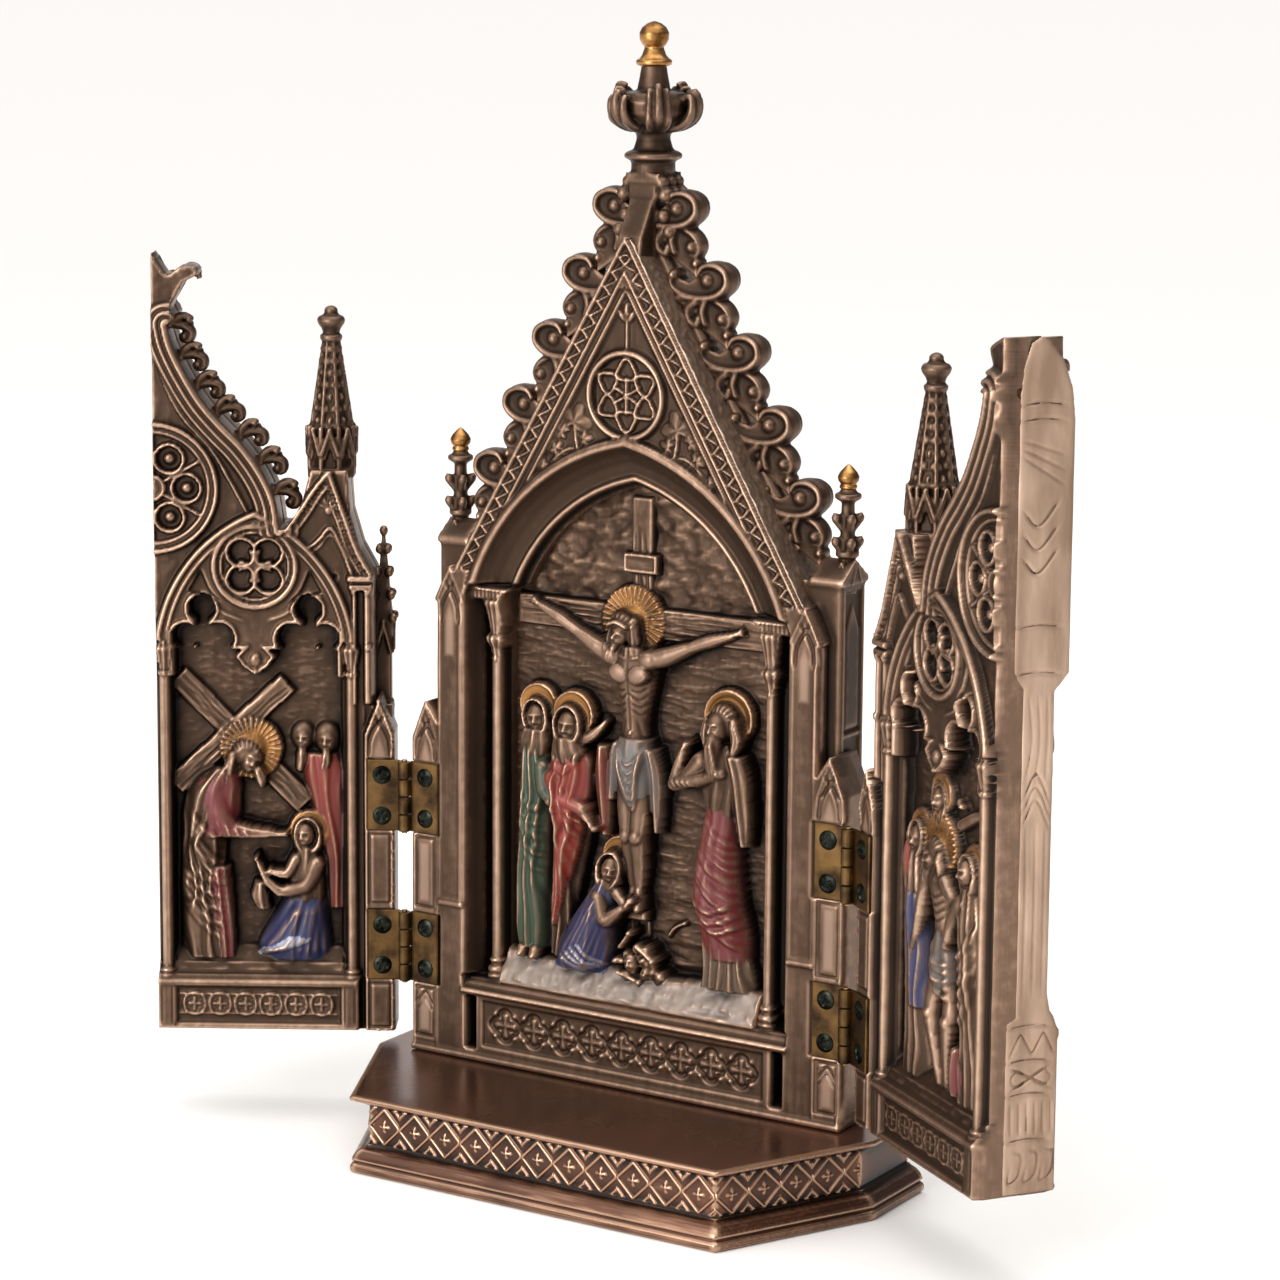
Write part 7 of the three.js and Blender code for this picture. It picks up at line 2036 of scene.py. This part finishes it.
def freeEdge(side):
    # the edge where the wings meet: sawn flat, pale, with the mould's lines cut into it
    s = edgeSizes
    relief = Relief((7.4, 22.6), (24, 225), 0.3, 0.0)
    v, z = relief.x, relief.z
    outline = [(8, 24.6), (21.6, 24.6), (21.6, 63.4), (20.4, 66.6), (19.4, 68), (18.6, 72), (18.6, 143),
               (22.2, 147), (22.2, 205), (21.4, 212), (18.8, 219), (15.4, 223), (13, 224), (10.6, 222.6),
               (8.8, 217), (8, 210), (8, 147.4), (10.4, 144), (10.4, 67), (8, 65.6)]
    gap = polygonGap(v, z, outline)
    relief.depth = profile(-gap, [(0, 0.6), (0.5, 0.12), (1.1, 0)]) + 0.07 * noise(v, z * 0.4, 2.4, 221)
    for level in (37.4, 48.4, 56.4, 64.6, 147.2, 158, 205, 208.6):
        relief.stroke([(8.4, level), (14, level + 0.5), (20, level - 0.2)], 0.6, -0.5)
    for k in range(3):
        c = 10.4 + k * 4.2
        relief.stroke([(c, 35.4), (c + 2.4, 34), (c + 1.6, 29), (c - 1.0, 27.6), (c - 0.6, 31)], 0.5, -0.5)
    for k in range(6):
        relief.stroke([(9.8 + k * 2.1, 38.8), (9.6 + k * 2.1, 46.8)], 0.45, -0.5)
    for a, b in (((9, 49.4), (20.4, 55.4)), ((9, 55.4), (20.4, 49.6)), ((9, 57.6), (12, 63.4)),
                 ((12, 63.4), (15, 58)), ((15, 58), (18, 63.4)), ((18, 63.4), (20.6, 58))):
        relief.stroke([a, b], 0.5, -0.5)
    relief.stroke([(14.8, 52.5), (11.4, 54.2), (9.6, 52.4), (11.4, 50.6), (14.8, 52.5), (18.2, 54.2), (20, 52.4),
                   (18.2, 50.6), (14.8, 52.5)], 0.45, -0.45)
    for k in range(3):
        relief.stroke([(12 + k * 2.5, 72), (12.2 + k * 2.4, 92), (11.9 + k * 2.5, 112)], 0.5, -0.42)
        relief.stroke([(11, 112 + k * 3), (14.4, 118 + k * 3), (18, 111 + k * 3)], 0.5, -0.5)
        relief.stroke([(9.4, 174 + k * 5.4), (13.4, 170.4 + k * 5.4), (18.6, 176 + k * 5.4)], 0.6, -0.55)
        relief.stroke([(9.2, 197 + k * 1.8), (19.4, 190.6 + k * 3.4)], 0.5, -0.45)
        relief.stroke([(11.4 + k * 2.6, 122), (13 + k * 2, 132), (12 + k * 2.4, 142)], 0.5, -0.42)
    relief.soften()
    piece = castPiece(side + "_wing_free_edge", relief, gap, s["u"] - s["back"], lambda a, b,
                      c: wingPlace(side)(s["u"] - b, a, c), side + "_wing", cutFinish, side == "left")
    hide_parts(side + "_wing")


for side in ("left", "right"):
    wingExtras(side)
    outerFace(side)
    freeEdge(side)
print("wing turrets, outer faces and edges made")


hingeSizes = {"near": 2.1, "far": 9.8, "front": 0.8, "back": 1.7, "barrel": 1.68, "inset": 3.95, "tall": hingeTall,
              "gap": 0.15}
screwSizes = {"head": 2.45, "rise": 0.5, "seat": 0.78, "slot": 0.38, "slotReach": 1.4, "recess": 0.42,
              "shank": 0.72, "length": 4.6}


def axisPlace(side, body):
    if body != "shrine":
        place = wingPlace(side)
        return lambda x, y, z: place(x, y - axisAhead, z)
    sign = -1 if side == "left" else 1
    return lambda x, y, z: np.stack([sign * (axisX + x), axisY + y, z], -1) * mm


def hingeLeaf(side, which, foot, body):
    s = hingeSizes
    outward = 1 if body != "shrine" else -1
    clay = Clay()
    # the plate, with eased edges
    rings = []
    for less, y in ((0.25, s["front"]), (0.0, s["front"] + 0.25), (0.0, s["back"] - 0.1)):
        a, b = outward * (s["near"] - 0.8), outward * (s["far"] - less)
        low, high = foot + less, foot + s["tall"] - less
        rings.append([(a, y, low), (b, y, low), (b, y, high), (a, y, high)])
    clay.grid(rings)
    pitch = s["tall"] / 4
    for k in ((1, 3) if outward > 0 else (0, 2)):
        low, high = foot + k * pitch + s["gap"], foot + (k + 1) * pitch - s["gap"]
        r = s["barrel"]
        clay.lathe([(low, r - 0.2), (low + 0.2, r), (high - 0.2, r), (high, r - 0.2)], 0, 0, 32)
        clay.prism([(0, 0.75), (outward * (s["near"] + 0.6), s["front"] - 0.02),
                    (outward * (s["near"] + 0.6), s["back"] - 0.15), (0, r - 0.05)], low, high, "z")
    mesh = bpy.data.meshes.new("leaf")
    mesh.from_pydata(clay.points, [], clay.faces)
    facesOut(mesh)
    kind = "panel_leaf" if body == "shrine" else "wing_leaf"
    node = f"{side}_{which}_hinge_{kind}"
    points, faces = takeParts(mesh)
    if side == "left":
        faces = [f[::-1] for f in faces]
    piece = makeObject(node + "_brass", axisPlace(side, body)(*points.T), faces, body, brassFinish, smooth=False)
    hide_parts(node)


def screwUnit():  # a domed head with a cross recess, its axis along y, facing -y
    s = screwSizes
    rings = 16
    count = 64
    head = []
    for i in range(rings + 1):
        r = s["head"] * i / rings
        row = []
        for j in range(count):
            a = j * 2 * math.pi / count
            x, z = r * math.cos(a), r * math.sin(a)
            y = s["seat"] - s["rise"] * (1 - (i / rings) ** 3)
            arm = min(abs(x), abs(z)) < s["slot"] and max(abs(x), abs(z)) < s["slotReach"]
            row.append((x, y + (s["recess"] if arm or r < 0.4 else 0.0), z))
        head.append(row)
    points = [p for row in head for p in row]
    faces = [(i * count + j, (i + 1) * count + j, (i + 1) * count + (j + 1) % count, i * count + (j + 1) % count)
             for i in range(1, rings) for j in range(count)]
    points.append((0, head[0][0][1], 0))
    hub = len(points) - 1
    faces += [(hub, count + j, count + (j + 1) % count) for j in range(count)]
    start = len(points)
    for r, y in ((s["shank"], s["seat"]), (s["shank"], s["seat"] + s["length"])):
        points += [(r * math.cos(j * 2 * math.pi / count), y, r * math.sin(j * 2 * math.pi / count))
                   for j in range(count)]
    rim = rings * count
    for a, b in ((rim, start), (start, start + count)):
        faces += [(a + j, b + j, b + (j + 1) % count, a + (j + 1) % count) for j in range(count)]
    faces.append(tuple(range(start + count, start + 2 * count)))
    mesh = bpy.data.meshes.new("screw")
    mesh.from_pydata(points, [], faces)
    facesOut(mesh, strays=True)
    return newObject("unit", mesh)


def screws(side, body, unit):
    s = hingeSizes
    outward = 1 if body != "shrine" else -1
    kind = "panel_screw" if body == "shrine" else "wing_screw"
    middle = outward * (s["near"] + s["far"]) / 2
    points, turns = [], []
    for foot in hingeFeet:
        for up in (s["inset"], s["tall"] - s["inset"]):
            points.append((middle, 0, foot + up))
            turns.append((0, 0.5 + 0.7 * len(points), 0))
    made = runTree(spots, {"Copy": unit, "Size": 1.0, "Finish": screwFinish}, points, turns)
    place = axisPlace(side, body)
    name = f"{side}_{'panel' if body == 'shrine' else 'wing'}_screws"
    piece = finishSkin(name, made, place, body, screwFinish, side == "left")
    nodes = [f"{side}_{which}_hinge_{kind}_{end}" for which in ("lower", "upper") for end in ("bottom", "top")]
    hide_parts(*nodes)


driver = screwUnit()
for side in ("left", "right"):
    for body in ("shrine", side + "_wing"):
        for which, foot in zip(("lower", "upper"), hingeFeet):
            hingeLeaf(side, which, foot, body)
        screws(side, body, driver)
dropUnit(driver)
print("hinges and screws made")


for node in bpy.data.objects:
    if "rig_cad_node" in node:
        for slotItem in node.material_slots:
            slotItem.material = bareBrassFinish


stageSettings = {"floor": "#f4f1ee", "reach": 60.0, "keyWatts": 18.0, "fillWatts": 0.6, "topWatts": 3.0,
                 "backWatts": 1.5, "world": 0.19, "sun": 3.05}
viewSettings = {"azimuth": 32.29, "elevation": 9.49, "roll": 0.367, "distance": 956.7, "aimHeight": 162.3,
                "focal": 3849.4, "frame": 1280.0, "axisAcross": 621.8, "axisDown": 540.0, "sensor": 36.0}


def studio(s):
    mesh = bpy.data.meshes.new("floor")
    r = s["reach"]
    mesh.from_pydata([(-r, -r, 0), (r, -r, 0), (r, r, 0), (-r, r, 0)], [], [(0, 1, 2, 3)])
    material, tree = newFinish("pale card floor")
    surface(material, tree, toLinear(s["floor"]) + (1,), 0.0, 0.8)
    mesh.materials.append(material)
    floor = newObject("floor", mesh)
    world = bpy.data.worlds.new("white room")
    bpy.context.scene.world = world
    world.use_nodes = True
    world.node_tree.nodes["Background"].inputs[0].default_value = (1, 1, 1, 1)
    world.node_tree.nodes["Background"].inputs[1].default_value = s["world"]
    aim = Vector((0, 0, 0.13))
    boxes = [("key", (-0.2, -1.28, 0.42), 0.8, s["keyWatts"]), ("fill", (1.25, -0.2, 0.45), 0.7, s["fillWatts"]),
             ("top", (0.1, -0.1, 1.2), 0.8, s["topWatts"]), ("back", (-0.7, 0.9, 0.6), 0.6, s["backWatts"])]
    # a wide soft sun keeps the floor evenly pale right to its far edge
    sky = bpy.data.lights.new("sky", "SUN")
    sky.angle = math.radians(100)
    sky.energy = s["sun"]
    newObject("sky", sky).rotation_euler = (math.radians(12), 0, 0)
    for name, place, size, watts in boxes:
        light = bpy.data.lights.new(name, "AREA")
        light.size = size
        light.energy = watts
        lamp = newObject(name, light)
        lamp.location = place
        lamp.rotation_euler = (aim - Vector(place)).to_track_quat("-Z", "Y").to_euler()


def camera(s):
    a, e, r = (math.radians(s[k]) for k in ("azimuth", "elevation", "roll"))
    forward = Vector((-math.sin(a) * math.cos(e), math.cos(a) * math.cos(e), -math.sin(e)))
    right = Vector((math.cos(a), math.sin(a), 0))
    up = right.cross(forward)
    across, above = right * math.cos(r) + up * math.sin(r), up * math.cos(r) - right * math.sin(r)
    data = bpy.data.cameras.new("camera")
    data.lens = s["focal"] / s["frame"] * s["sensor"]
    data.sensor_width = s["sensor"]
    data.shift_x = (s["frame"] / 2 - s["axisAcross"]) / s["frame"]
    data.shift_y = (s["axisDown"] - s["frame"] / 2) / s["frame"]
    data.dof.use_dof = False
    eye = newObject("camera", data)
    place = (Vector((0, frontY, s["aimHeight"])) - forward * s["distance"]) * mm
    turn = Matrix((across, above, -forward)).transposed()
    eye.matrix_world = Matrix.Translation(place) @ turn.to_4x4()
    bpy.context.scene.camera = eye


studio(stageSettings)
bpy.context.scene.view_settings.view_transform = "Standard"
camera(viewSettings)
